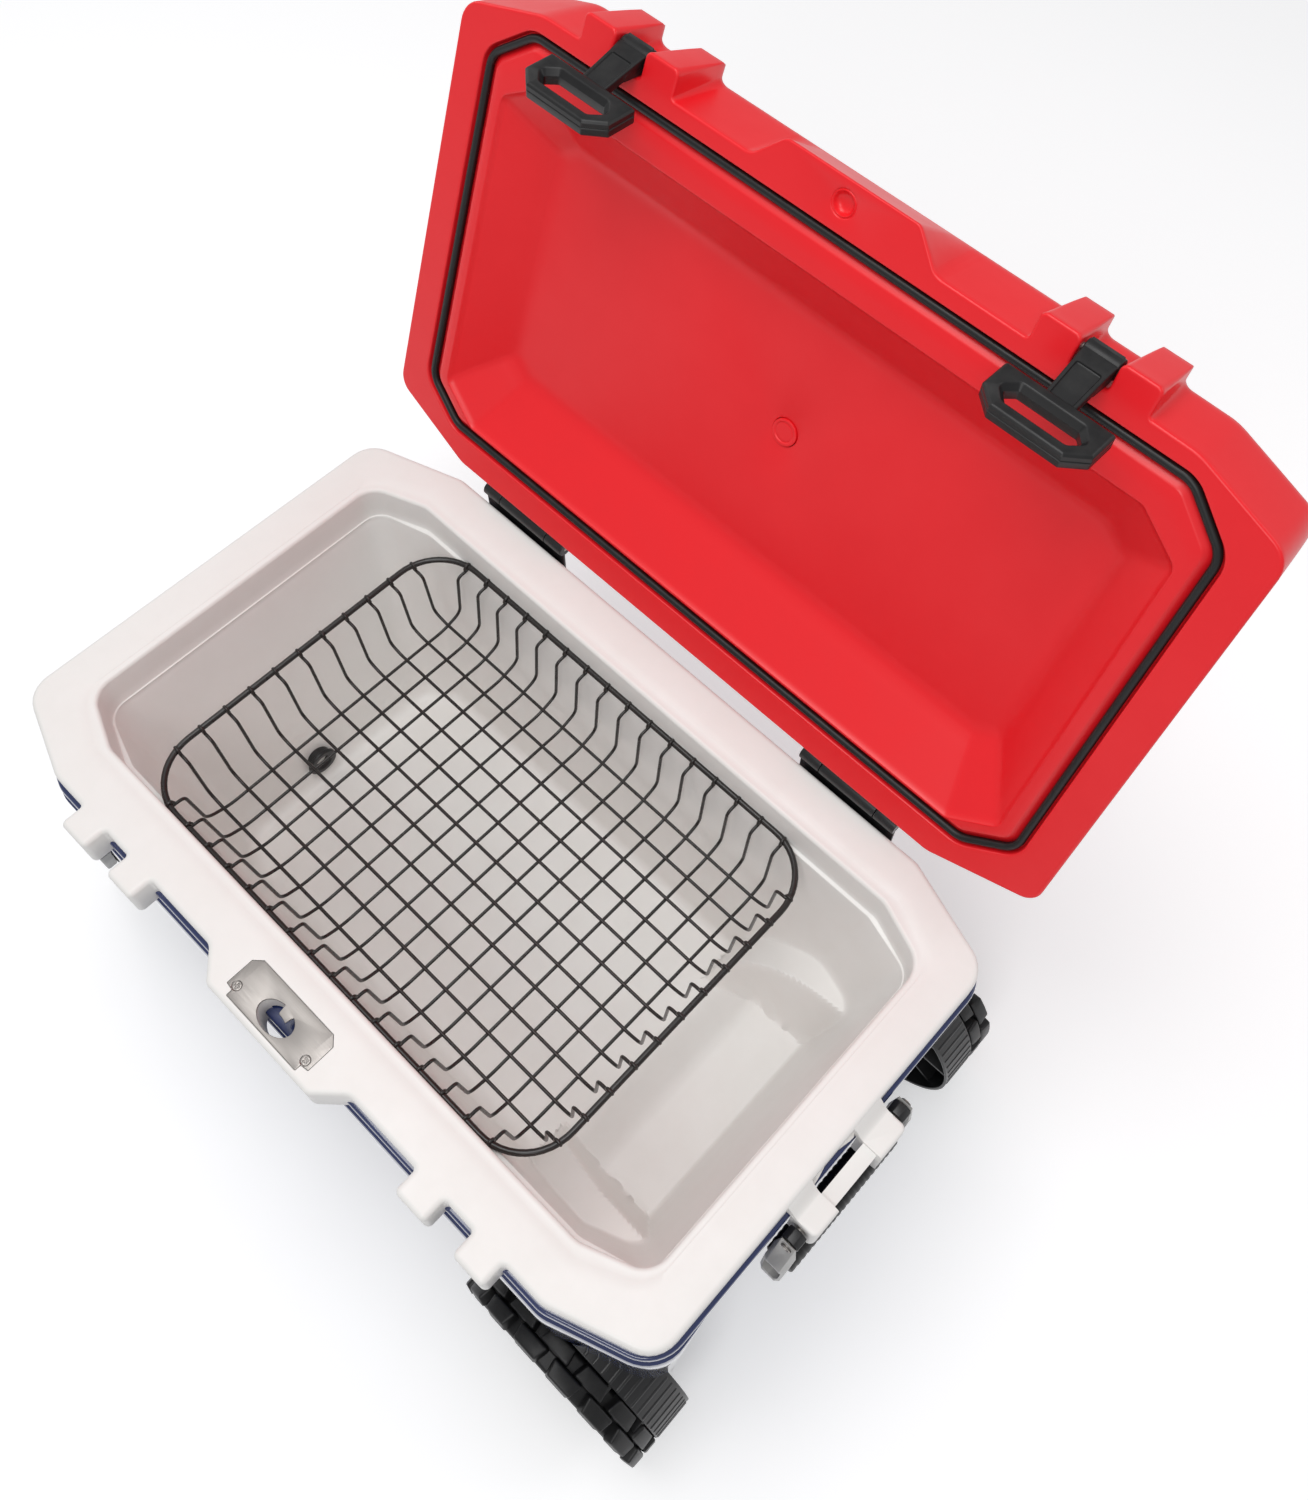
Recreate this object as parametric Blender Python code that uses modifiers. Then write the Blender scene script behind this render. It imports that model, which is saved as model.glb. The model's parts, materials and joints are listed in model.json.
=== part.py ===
"""A wheeled hard cooler with its lid open: tub, liner, lid, latches, wheels, two handles and a wire basket.

X runs along the cooler with the wheels at +X, the latches face -Y, and +Z is up. The origin is the centre
of the tub's flat underside. The lid, its latches and its trim are modelled closed and hang on an empty at
the hinge, which opens them.
"""

import math

import bmesh
import bpy
from mathutils import Matrix, Vector

# Fits
FIT = 0.0003
OVERRUN = 0.010
WELD = 0.00001

# Rim and tub
RIM_Z = 0.370
COLLAR_HEIGHT = 0.022
COLLAR_END_X = 0.410
COLLAR_SIDE_Y = 0.239
COLLAR_END_FRONT_Y = 0.207
COLLAR_END_REAR_Y = 0.203
COLLAR_FRONT_SHOULDER_X = 0.317
COLLAR_REAR_SHOULDER_X = 0.304
COLLAR_CORNER = 0.030
COLLAR_EDGE = 0.005
SEAM = 0.002
TUB_PROUD = 0.0042
TUB_DRAFT = 0.014
TUB_WALL = 0.004
TUB_CORNER = 0.034
TUB_CHAMFER = 0.012

# Opening and inner tub
OPENING_END_X = 0.364
OPENING_SIDE_Y = 0.1885
OPENING_END_Y = 0.166
OPENING_SHOULDER_X = 0.305
OPENING_CORNER = 0.026
LEDGE_DEPTH = 0.041
LEDGE_WIDTH = 0.006
LEDGE_END_WIDTH = 0.002
FLOOR_Z = 0.060
FLOOR_END_X = 0.300
FLOOR_SIDE_Y = 0.150
FLOOR_END_Y = 0.128
FLOOR_SHOULDER_X = 0.258
FLOOR_CHAMFER = 0.006
LINER_WALL = 0.0035
RAISED_FLOOR_Z = 0.100
RISER_FOOT_X = 0.195
RISER_TOP_X = 0.240
WELL_TO_BAY = 0.023
WELL_SIDE_Y = 0.114
WELL_SIDE_SPREAD = 0.022
WELL_SIDE_RISE = 0.098

# Wheels and axle
AXLE_X = 0.329
AXLE_Z = 0.050
AXLE_RADIUS = 0.008
AXLE_END_Y = 0.2655
WHEEL_RADIUS = 0.113
BARREL_STEP = 0.001
BARREL_WALL = 0.003
BARREL_INNER_Y = 0.195
BARREL_OUTER_Y = 0.239
TREAD_BLOCK_HEIGHT = 0.009
TREAD_BED = 0.0135
TREAD_WIDTH = 0.032
TREAD_BLOCKS = 16
BLOCK_SHARE = 0.66
BLOCK_TIP_SHARE = 0.58
BLOCK_LAP = 0.001
HUB_RIM = 0.006
HUB_WEB = 0.005
HUB_BOSS_RADIUS = 0.019
HUB_LENGTH_INNER_Y = 0.193
HUB_BOSS_OUTER_Y = 0.257
NUT_RADIUS = 0.0135
NUT_THICKNESS = 0.006
CAP_THICKNESS = 0.0055
CAP_DOME = 0.0035
CAP_SKIRT = 0.014
BAY_CLEARANCE = 0.012
BAY_SIDE_Y = 0.188
SLEEVE_RADIUS = 0.0125
SLEEVE_FLANGE_RADIUS = 0.020
SLEEVE_FLANGE = 0.003
SLEEVE_LENGTH = 0.014
TUNNEL_RADIUS = 0.0115

# Feet at the far end
FOOT_X = 0.362
FOOT_Y = 0.165
FOOT_HALF_X = 0.030
FOOT_HALF_Y = 0.042
FOOT_PAD = 0.015
FOOT_TAPER = 0.006

# Front lugs and centre tab of the body
LATCH_X = 0.22425
LATCH_GAP = 0.033
LUG_WIDTH = 0.0345
LUG_FRONT_Y = 0.262
LUG_BACK_Y = 0.226
LUG_HEIGHT = 0.038
LUG_BEVEL = 0.003
TAB_BASE_HALF = 0.092
TAB_TIP_HALF = 0.066

# Lock plate
PLATE_HALF = 0.053
PLATE_FRONT_Y = 0.259
PLATE_BACK_Y = 0.216
PLATE_THICKNESS = 0.002
PLATE_NOTCH_X = 0.008
PLATE_NOTCH_Y = 0.007
PLATE_NOTCH_SLOPE = 0.001
PLATE_SCREW_X = 0.045
PLATE_SCREW_Y = 0.245
PLATE_HOLE_X = 0.0165
PLATE_HOLE_Y = 0.012
PLATE_HOLE_CENTRE_Y = 0.241
PLATE_TOOTH_HALF = 0.005
PLATE_TOOTH = 0.004
SCREW_SHANK_RADIUS = 0.002
SCREW_HEAD_RADIUS = 0.0042
SCREW_HEAD = 0.0022
PLATE_SCREW_LENGTH = 0.014
PLATE_SCREW_SINK = 0.0016

# Handle block and carry handle at the wheel end
BLOCK_OUTER_X = 0.441
BLOCK_BASE_X = 0.400
BLOCK_TOP_DROP = 0.0165
BLOCK_HEIGHT = 0.046
BLOCK_FRONT_Y = 0.059
BLOCK_REAR_Y = 0.058
BLOCK_SLOT_FRONT_Y = 0.030
BLOCK_SLOT_REAR_Y = 0.024
BLOCK_BEVEL = 0.003
CROSSBAR_INNER_X = 0.4215
CROSSBAR_OUTER_X = 0.436
CROSSBAR_HEIGHT = 0.018
CARRY_AXIS_X = 0.427
CARRY_AXIS_Z = 0.338
CARRY_PIN_RADIUS = 0.004
CARRY_PIN_DEPTH = 0.012
CARRY_PIN_HEAD_RADIUS = 0.0075
CARRY_PIN_HEAD = 0.0025
KNUCKLE_GAP = 0.0025
KNUCKLE_RADIUS = 0.0085
KNUCKLE_LENGTH = 0.0145
CARRY_ARM_GAP = 0.0005
CARRY_ARM_THICKNESS = 0.0195
CARRY_ARM_HALF = 0.0112
CARRY_ARM_LENGTH = 0.104
CARRY_ARM_END = 0.016
CARRY_SLOT_HALF = 0.007
CARRY_SLOT_DEPTH = 0.006
CARRY_SLOT_START = 0.022
CARRY_SLOT_LENGTH = 0.058
CARRY_GRIP_RADIUS = 0.0155
CARRY_GRIP_CORE = 0.0135
CARRY_GRIP_RIBS = 8
CARRY_GRIP_SPIGOT = 0.006
CARRY_GRIP_SPIGOT_RADIUS = 0.007

# Hinges
HINGE_X = 0.215
HINGE_Y = 0.2478
HINGE_DROP = 0.0109
HINGE_LENGTH = 0.112
HINGE_MIDDLE = 0.065
HINGE_BARREL = 0.0085
HINGE_PIN_RADIUS = 0.0025
HINGE_LEAF = 0.003
HINGE_BODY_LEAF_LOW_Z = 0.300
HINGE_BODY_LEAF_TOP_DROP = 0.001
HINGE_LID_LEAF_HEIGHT = 0.055
HINGE_LID_LEAF_FOOT = 0.006
HINGE_BODY_SCREW_X = 0.036
HINGE_BODY_SCREW_Z = 0.325
HINGE_LID_SCREW_X = 0.021
HINGE_LID_SCREW_HEIGHT = 0.040
HINGE_SCREW_BITE = 0.0032
HINGE_PAD_MARGIN = 0.004
LID_OPEN_DEGREES = 110.8

# Lid
LID_END_X = 0.405
LID_FRONT_Y = 0.229
LID_REAR_Y = 0.2375
LID_END_FRONT_Y = 0.217
LID_END_REAR_Y = 0.202
LID_FRONT_SHOULDER_X = 0.288
LID_REAR_SHOULDER_X = 0.305
LID_CORNER = 0.024
LID_HEIGHT = 0.078
LID_WALL_HEIGHT = 0.066
LID_DRAFT = 0.012
LID_CROWN = 0.034
LID_WALL = 0.004
LID_FLANGE = 0.008
LID_LUG_FRONT_Y = 0.250
LID_LUG_BACK_Y = 0.212
LID_LUG_HEIGHT = 0.062
LID_LUG_BEVEL = 0.005
LID_TAB_BASE_HALF = 0.090
LID_TAB_TIP_HALF = 0.064
LID_TAB_BASE_Y = 0.231
LID_TAB_TIP_Y = 0.254
LID_TAB_TOP_HALF = 0.078
LID_TAB_TOP_TIP_HALF = 0.056
LID_TAB_TOP_BASE_Y = 0.218
LID_TAB_TOP_TIP_Y = 0.228
LID_TAB_TOP_Z = 0.064
LID_TAB_BACK_Y = 0.2145
DIMPLE_Y = 0.234
DIMPLE_RADIUS = 0.010
DIMPLE_DEPTH = 0.006
GROOVE_END_X = 0.373
GROOVE_FRONT_Y = 0.211
GROOVE_REAR_Y = 0.207
GROOVE_END_Y = 0.172
GROOVE_SHOULDER_X = 0.325
GROOVE_CORNER = 0.030
GROOVE_WIDTH = 0.012
GASKET_RADIUS = 0.0037
PAN_LAP = 0.006
PAN_WALL = 0.0035
PAN_RIB_RISE = 0.0005
PAN_END_X = 0.345
PAN_FRONT_Y = 0.169
PAN_REAR_Y = 0.190
PAN_END_FRONT_Y = 0.142
PAN_END_REAR_Y = 0.160
PAN_SHOULDER_X = 0.303
PAN_CORNER = 0.016
PAN_DEPTH = 0.042
PAN_FLOOR_END_X = 0.299
PAN_FLOOR_FRONT_Y = 0.118
PAN_FLOOR_REAR_Y = 0.126
PAN_FLOOR_END_FRONT_Y = 0.104
PAN_FLOOR_END_REAR_Y = 0.112
PAN_FLOOR_SHOULDER_X = 0.278
PLUG_X = 0.004
PLUG_Y = 0.006
PLUG_RADIUS = 0.013
PLUG_LIP = 0.0015
PLUG_LENGTH = 0.008

# Latches, folded against the lid
PIN_Y = 0.239
PIN_RISE = 0.012
PIN_RADIUS = 0.003
PIN_BITE = 0.008
LATCH_BARREL = 0.0086
LATCH_WIDTH = 0.030
LATCH_WAIST = 0.0265
STRAP_LENGTH = 0.0517
STRAP_THICKNESS = 0.008
STRAP_LEAN_DEGREES = 31.5
ROOT_HEEL_Y = 0.2296
ROOT_HEEL_DROP = 0.0006
GRIP_LEAN_DEGREES = 16.3
GRIP_HALF = 0.046
GRIP_END_HALF = 0.030
GRIP_LENGTH = 0.043
GRIP_SHOULDER = 0.029
GRIP_THICKNESS = 0.014
GRIP_SLOT_HALF = 0.033
GRIP_SLOT_START = 0.013
GRIP_SLOT_LENGTH = 0.017
GRIP_SLOT_POINT = 0.008

# Drain
DRAIN_Y = 0.019
DRAIN_Z = 0.086
DRAIN_RADIUS = 0.0145
DRAIN_BORE = 0.009
DRAIN_INNER_X = 0.2985
DRAIN_FLANGE_RADIUS = 0.020
DRAIN_FLANGE = 0.003
SEAL_THICKNESS = 0.002
DRAIN_PLUG_RADIUS = 0.016
DRAIN_PLUG_HEAD = 0.011
DRAIN_PLUG_STEM = 0.024

# Tow handle
TOW_PIVOT_X = 0.300
TOW_PIVOT_Z = 0.250
TOW_ARM_Y = 0.246
TOW_ARM_THICKNESS = 0.012
TOW_ARM_HALF = 0.012
TOW_DRAIN_CLEARANCE = 0.0414
TOW_GRIP_RADIUS = 0.013
TOW_SPIGOT_RADIUS = 0.007
TOW_BOSS_RADIUS = 0.019
TOW_BOLT_RADIUS = 0.005
TOW_BOLT_HEAD_RADIUS = 0.010
TOW_BOLT_HEAD = 0.003
TOW_BOLT_BITE = 0.007
TOW_WALL_CLEARANCE = 0.0005

# Wire basket
BASKET_CENTRE_X = -0.023
BASKET_HALF_X = 0.261
BASKET_HALF_Y = 0.185
BASKET_CORNER = 0.055
BASKET_RIM_WIRE = 0.005
BASKET_SEAT = 0.0006
BASKET_WIRE = 0.0028
BASKET_DEPTH = 0.075
BASKET_SHOULDER_DROP = 0.004
BASKET_SHOULDER_STEP = 0.015
BASKET_FOOT_RISE = 0.008
BASKET_FOOT_STEP = 0.020
WIRE_PITCH = 0.058
WIRE_COLUMNS = 8
WIRE_ROWS = 6

# Values that follow
BARREL_RADIUS = WHEEL_RADIUS - BARREL_STEP
TREAD_BED_RADIUS = WHEEL_RADIUS - TREAD_BLOCK_HEIGHT
TREAD_BORE = TREAD_BED_RADIUS - TREAD_BED
BAY_RADIUS = WHEEL_RADIUS + BAY_CLEARANCE
WELL_RADIUS = BAY_RADIUS + WELL_TO_BAY
GROUND_Z = AXLE_Z - WHEEL_RADIUS
COLLAR_LOW_Z = RIM_Z - COLLAR_HEIGHT
TUB_TOP_Z = COLLAR_LOW_Z - SEAM
LEDGE_Z = RIM_Z - LEDGE_DEPTH
HINGE_Z = RIM_Z + HINGE_DROP
LID_LOW_Z = RIM_Z + FIT
PIN_Z = RIM_Z + PIN_RISE
OPEN_ANGLE = math.radians(-LID_OPEN_DEGREES)

CORNER_STEPS = 2
ROUND_STEPS = 20
SHAFT_STEPS = 16
SMALL_STEPS = 12
SCREW_STEPS = 8
WHEEL_STEPS = 28

AXES = {
    "X": Matrix(((0, 0, 1, 0), (1, 0, 0, 0), (0, 1, 0, 0), (0, 0, 0, 1))),
    "Y": Matrix(((0, 1, 0, 0), (0, 0, 1, 0), (1, 0, 0, 0), (0, 0, 0, 1))),
    "Z": Matrix.Identity(4),
}
LIE_ALONG_Y = Matrix(((1, 0, 0, 0), (0, 0, 1, 0), (0, 1, 0, 0), (0, 0, 0, 1)))


# Scene and materials

for item in list(bpy.data.objects):
    bpy.data.objects.remove(item, do_unlink=True)

PARTS = bpy.data.collections.new("wheeled_cooler")
CUTTERS = bpy.data.collections.new("cutters")
bpy.context.scene.collection.children.link(PARTS)
bpy.context.scene.collection.children.link(CUTTERS)


def material(name, colour, roughness, metallic=0.0):
    made = bpy.data.materials.new(name)
    made.use_nodes = True
    shader = made.node_tree.nodes["Principled BSDF"]
    shader.inputs["Base Color"].default_value = (*colour, 1.0)
    shader.inputs["Roughness"].default_value = roughness
    shader.inputs["Metallic"].default_value = metallic
    return made


NAVY = material("navy_gloss", (0.012, 0.026, 0.12), 0.2)
WHITE = material("white_moulding", (0.82, 0.80, 0.77), 0.45)
RED = material("red_moulding", (0.70, 0.015, 0.02), 0.4)
FOAM = material("insulation_foam", (0.86, 0.78, 0.55), 0.9)
BLACK = material("black_plastic", (0.012, 0.012, 0.014), 0.45)
RUBBER = material("black_rubber", (0.010, 0.010, 0.011), 0.75)
STEEL = material("brushed_steel", (0.56, 0.56, 0.55), 0.3, 1.0)
SILVER = material("silver_plastic", (0.35, 0.36, 0.38), 0.4)
WIRE = material("coated_wire", (0.012, 0.011, 0.011), 0.35)


# Making and placing pieces

def finish(thing, look, holder=None):
    """Give a piece its material and, for a moving one, the empty that carries it."""
    thing.data.materials.clear()
    thing.data.materials.append(look)
    if holder is not None:
        thing.parent = holder
        thing.matrix_parent_inverse = Matrix.Translation(holder["rest_place"]).inverted()
    return thing


def linked(name, mesh):
    thing = bpy.data.objects.new(name, mesh)
    PARTS.objects.link(thing)
    return thing


def from_bmesh(name, build):
    mesh = bpy.data.meshes.new(name)
    bmesh.ops.recalc_face_normals(build, faces=build.faces[:])
    build.to_mesh(mesh)
    build.free()
    return linked(name, mesh)


def smooth(thing, degrees=35.0):
    thing.data.shade_smooth()
    thing.data.set_sharp_from_angle(angle=math.radians(degrees))
    return thing


def pivot(name, place, holder=None, angle=0.0):
    """An empty on a joint's axis. Its children are modelled before it turns."""
    empty = bpy.data.objects.new(name, None)
    PARTS.objects.link(empty)
    empty["rest_place"] = place
    if holder is None:
        empty.location = place
    else:
        empty.parent = holder
        empty.location = Vector(place) - Vector(holder["rest_place"])
    empty.rotation_euler = (angle, 0.0, 0.0)
    return empty


def box(name, low, high):
    build = bmesh.new()
    bmesh.ops.create_cube(build, size=1.0)
    for vert in build.verts:
        vert.co = Vector(high[i] if vert.co[i] > 0 else low[i] for i in range(3))
    return from_bmesh(name, build)


def drum(name, axis, centre, radius, start, end, steps=ROUND_STEPS):
    """A cylinder along an axis. The centre gives the two places across it, in the order of the axes."""
    build = bmesh.new()
    bmesh.ops.create_cone(
        build,
        cap_ends=True,
        segments=steps,
        radius1=radius,
        radius2=radius,
        depth=end - start,
    )
    middle = Matrix.Translation((0, 0, (start + end) / 2))
    bmesh.ops.transform(build, matrix=place_across(axis, centre) @ middle, verts=build.verts[:])
    return from_bmesh(name, build)


def place_across(axis, centre):
    across = {"X": (0, centre[0], centre[1]), "Y": (centre[0], 0, centre[1]), "Z": (centre[0], centre[1], 0)}
    return Matrix.Translation(across[axis]) @ AXES[axis]


def turned(name, axis, centre, profile, steps=ROUND_STEPS):
    """A closed profile of (radius, place along the axis), turned about that axis."""
    mesh = bpy.data.meshes.new(name)
    count = len(profile)
    edges = [(i, (i + 1) % count) for i in range(count)]
    mesh.from_pydata([(radius, 0, along) for radius, along in profile], edges, [])
    thing = linked(name, mesh)
    thing.matrix_world = place_across(axis, centre)
    screw = thing.modifiers.new("turn", "SCREW")
    screw.steps = steps
    screw.render_steps = steps
    screw.use_merge_vertices = True
    screw.merge_threshold = WELD
    screw.use_smooth_shade = True
    return thing


def outline_mesh(name, outlines, start, end):
    """Flat outlines, the later ones holes, drawn as a filled curve and given a thickness along Z."""
    curve = bpy.data.curves.new(name, "CURVE")
    curve.dimensions = "2D"
    curve.fill_mode = "BOTH"
    curve.extrude = (end - start) / 2
    for points in outlines:
        spline = curve.splines.new("POLY")
        spline.points.add(len(points) - 1)
        spline.use_cyclic_u = True
        for point, (u, v) in zip(spline.points, points):
            point.co = (u, v, 0, 1)
    drawn = bpy.data.objects.new(name, curve)
    PARTS.objects.link(drawn)
    mesh = bpy.data.meshes.new_from_object(drawn.evaluated_get(bpy.context.evaluated_depsgraph_get()))
    bpy.data.objects.remove(drawn)
    build = bmesh.new()
    build.from_mesh(mesh)
    bpy.data.meshes.remove(mesh)
    bmesh.ops.remove_doubles(build, verts=build.verts[:], dist=WELD)
    bmesh.ops.translate(build, vec=(0, 0, (start + end) / 2), verts=build.verts[:])
    return build


def prism(name, outlines, axis, start, end):
    """An outline across an axis, in the order of the axes, pulled along it."""
    build = outline_mesh(name, outlines, start, end)
    turn = LIE_ALONG_Y if axis == "Y" else AXES[axis]
    bmesh.ops.transform(build, matrix=turn, verts=build.verts[:])
    return from_bmesh(name, build)


def circle(centre, radius, steps):
    angles = (math.tau * k / steps for k in range(steps))
    return [(centre[0] + radius * math.cos(a), centre[1] + radius * math.sin(a)) for a in angles]


def washer(name, axis, centre, radius, sides, bore, side, near, far):
    """A many-sided ring with a round bore, between two distances on one side of the middle."""
    start, end = sorted((side * near, side * far))
    return prism(name, [circle(centre, radius, sides), circle(centre, bore, ROUND_STEPS)], axis, start, end)


def loft(name, rings):
    """A skin through rings of equal count, each a list of (x, y) and its height.

    Every side is split along the same diagonal, so that a skin and its offset never cross.
    """
    build = bmesh.new()
    rows = [[build.verts.new((x, y, z)) for x, y in points] for points, z in rings]
    for low, high in zip(rows, rows[1:]):
        for i, vert in enumerate(low):
            after = (i + 1) % len(low)
            build.faces.new((vert, low[after], high[after]))
            build.faces.new((vert, high[after], high[i]))
    build.faces.new(reversed(rows[0]))
    build.faces.new(rows[-1])
    return from_bmesh(name, build)


def boolean(thing, operation, others):
    for other in others:
        step = thing.modifiers.new(f"{operation.lower()} {other.name}", "BOOLEAN")
        step.operation = operation
        step.object = other
        step.solver = "EXACT"
        PARTS.objects.unlink(other)
        CUTTERS.objects.link(other)
        other.hide_render = True
        other.display_type = "WIRE"
        if thing.parent is not None:
            other.parent = thing.parent
            other.matrix_parent_inverse = thing.matrix_parent_inverse
    return thing


def cut(thing, *others):
    return boolean(thing, "DIFFERENCE", others)


def unite(thing, *others):
    return boolean(thing, "UNION", others)


def bevel(thing, width, segments=1, degrees=40.0):
    step = thing.modifiers.new("edges", "BEVEL")
    step.width = width
    step.segments = segments
    step.limit_method = "ANGLE"
    step.angle_limit = math.radians(degrees)
    return thing


# Outlines

def octagon(end_x, front_y, rear_y, end_front_y, end_rear_y, front_shoulder_x, rear_shoulder_x):
    """The corners of the long eight-sided outline that the tub, rim and lid share."""
    return [
        (front_shoulder_x, -front_y),
        (end_x, -end_front_y),
        (end_x, end_rear_y),
        (rear_shoulder_x, rear_y),
        (-rear_shoulder_x, rear_y),
        (-end_x, end_rear_y),
        (-end_x, -end_front_y),
        (-front_shoulder_x, -front_y),
    ]


def inset(corners, amount):
    """Every side moved inwards by the same amount, outwards where it is negative."""
    moved = []
    count = len(corners)
    for i in range(count):
        before = Vector(corners[i - 1])
        here = Vector(corners[i])
        after = Vector(corners[(i + 1) % count])
        first = (here - before).normalized()
        second = (after - here).normalized()
        first_in = Vector((-first.y, first.x))
        second_in = Vector((-second.y, second.x))
        shift = (first_in + second_in) / (1 + first_in.dot(second_in))
        moved.append(tuple(here + shift * amount))
    return moved


def rounded(corners, radius, steps=CORNER_STEPS):
    """The outline with each corner an arc that meets both its sides."""
    points = []
    count = len(corners)
    for i in range(count):
        here = Vector(corners[i])
        to_before = (Vector(corners[i - 1]) - here).normalized()
        to_after = (Vector(corners[(i + 1) % count]) - here).normalized()
        half = to_before.angle(to_after) / 2
        bisector = (to_before + to_after).normalized()
        centre = here + bisector * radius / math.sin(half)
        start = here + to_before * radius / math.tan(half) - centre
        sweep = math.pi - 2 * half
        for k in range(steps + 1):
            angle = sweep * k / steps
            turn = Vector((
                start.x * math.cos(angle) - start.y * math.sin(angle),
                start.x * math.sin(angle) + start.y * math.cos(angle),
            ))
            points.append(tuple(centre + turn))
    return points


def collar_corners():
    return octagon(
        COLLAR_END_X,
        COLLAR_SIDE_Y,
        COLLAR_SIDE_Y,
        COLLAR_END_FRONT_Y,
        COLLAR_END_REAR_Y,
        COLLAR_FRONT_SHOULDER_X,
        COLLAR_REAR_SHOULDER_X,
    )


def tub_ring(shrink, z):
    """The tub's outline at a height, smaller by the draft and by what is asked."""
    draft = TUB_DRAFT * (TUB_TOP_Z - z) / TUB_TOP_Z
    return rounded(inset(collar_corners(), shrink + draft - TUB_PROUD), TUB_CORNER)


def tub_volume(name, shrink, low, high):
    chamfered = low + TUB_CHAMFER
    return loft(name, [
        (tub_ring(shrink + TUB_CHAMFER, low), low),
        (tub_ring(shrink, chamfered), chamfered),
        (tub_ring(shrink, high), high),
    ])


def bay_volumes(name, grow):
    """The two wheel bays, open outwards, larger by what is asked."""
    outer = COLLAR_SIDE_Y + OVERRUN
    inner = BAY_SIDE_Y - grow
    radius = BAY_RADIUS + grow
    centre = (AXLE_X, AXLE_Z)
    front = drum(f"{name}_front", "Y", centre, radius, -outer, -inner, WHEEL_STEPS)
    rear = drum(f"{name}_rear", "Y", centre, radius, inner, outer, WHEEL_STEPS)
    return front, rear


def opening_corners():
    return octagon(
        OPENING_END_X,
        OPENING_SIDE_Y,
        OPENING_SIDE_Y,
        OPENING_END_Y,
        OPENING_END_Y,
        OPENING_SHOULDER_X,
        OPENING_SHOULDER_X,
    )


def below_ledge_corners():
    side = OPENING_SIDE_Y - LEDGE_WIDTH
    return octagon(
        OPENING_END_X - LEDGE_END_WIDTH,
        side,
        side,
        OPENING_END_Y - LEDGE_END_WIDTH,
        OPENING_END_Y - LEDGE_END_WIDTH,
        OPENING_SHOULDER_X - LEDGE_WIDTH,
        OPENING_SHOULDER_X - LEDGE_WIDTH,
    )


def floor_corners():
    return octagon(
        FLOOR_END_X,
        FLOOR_SIDE_Y,
        FLOOR_SIDE_Y,
        FLOOR_END_Y,
        FLOOR_END_Y,
        FLOOR_SHOULDER_X,
        FLOOR_SHOULDER_X,
    )


def well_volume(name, side, grow):
    """The bulge over a wheel: a cylinder about the axle whose inner face leans outwards as it rises."""
    inner = WELL_SIDE_Y + grow
    outer = OPENING_SIDE_Y + OVERRUN
    well = drum(name, "Y", (AXLE_X, AXLE_Z), WELL_RADIUS - grow, inner, outer, WHEEL_STEPS)
    lean = WELL_SIDE_SPREAD / WELL_SIDE_RISE
    for vert in well.data.vertices:
        if vert.co.y < (inner + outer) / 2:
            vert.co.y += (vert.co.z - RAISED_FLOOR_Z) * lean
        vert.co.y *= side
    if side < 0:
        well.data.flip_normals()
    return well


def riser_volume(name, grow):
    """What the raised floor between the wheels takes from the inside."""
    low = FLOOR_Z - OVERRUN - LINER_WALL - FIT
    end = OPENING_END_X + OVERRUN
    slope = (RAISED_FLOOR_Z - FLOOR_Z) / (RISER_TOP_X - RISER_FOOT_X)
    foot_x = RISER_FOOT_X + grow - (FLOOR_Z - grow - low) / slope
    profile = [
        (foot_x, low),
        (end, low),
        (end, RAISED_FLOOR_Z - grow),
        (RISER_TOP_X + grow, RAISED_FLOOR_Z - grow),
    ]
    reach = OPENING_SIDE_Y + OVERRUN
    return prism(name, [profile], "Y", -reach, reach)


def inner_volume(name, grow, top):
    """The space inside the liner, larger by a wall where the liner's outside is wanted."""
    ledge = LEDGE_Z - grow
    floor = FLOOR_Z - grow
    space = loft(name, [
        (rounded(inset(floor_corners(), FLOOR_CHAMFER - grow), OPENING_CORNER), floor),
        (rounded(inset(floor_corners(), -grow), OPENING_CORNER), floor + FLOOR_CHAMFER),
        (rounded(inset(below_ledge_corners(), -grow), OPENING_CORNER), ledge),
        (rounded(inset(opening_corners(), -grow), OPENING_CORNER), ledge),
        (rounded(inset(opening_corners(), -grow), OPENING_CORNER), top),
    ])
    return cut(
        space,
        riser_volume(f"{name}_riser", grow),
        well_volume(f"{name}_well_front", -1, grow),
        well_volume(f"{name}_well_rear", 1, grow),
    )


# Body

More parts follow.
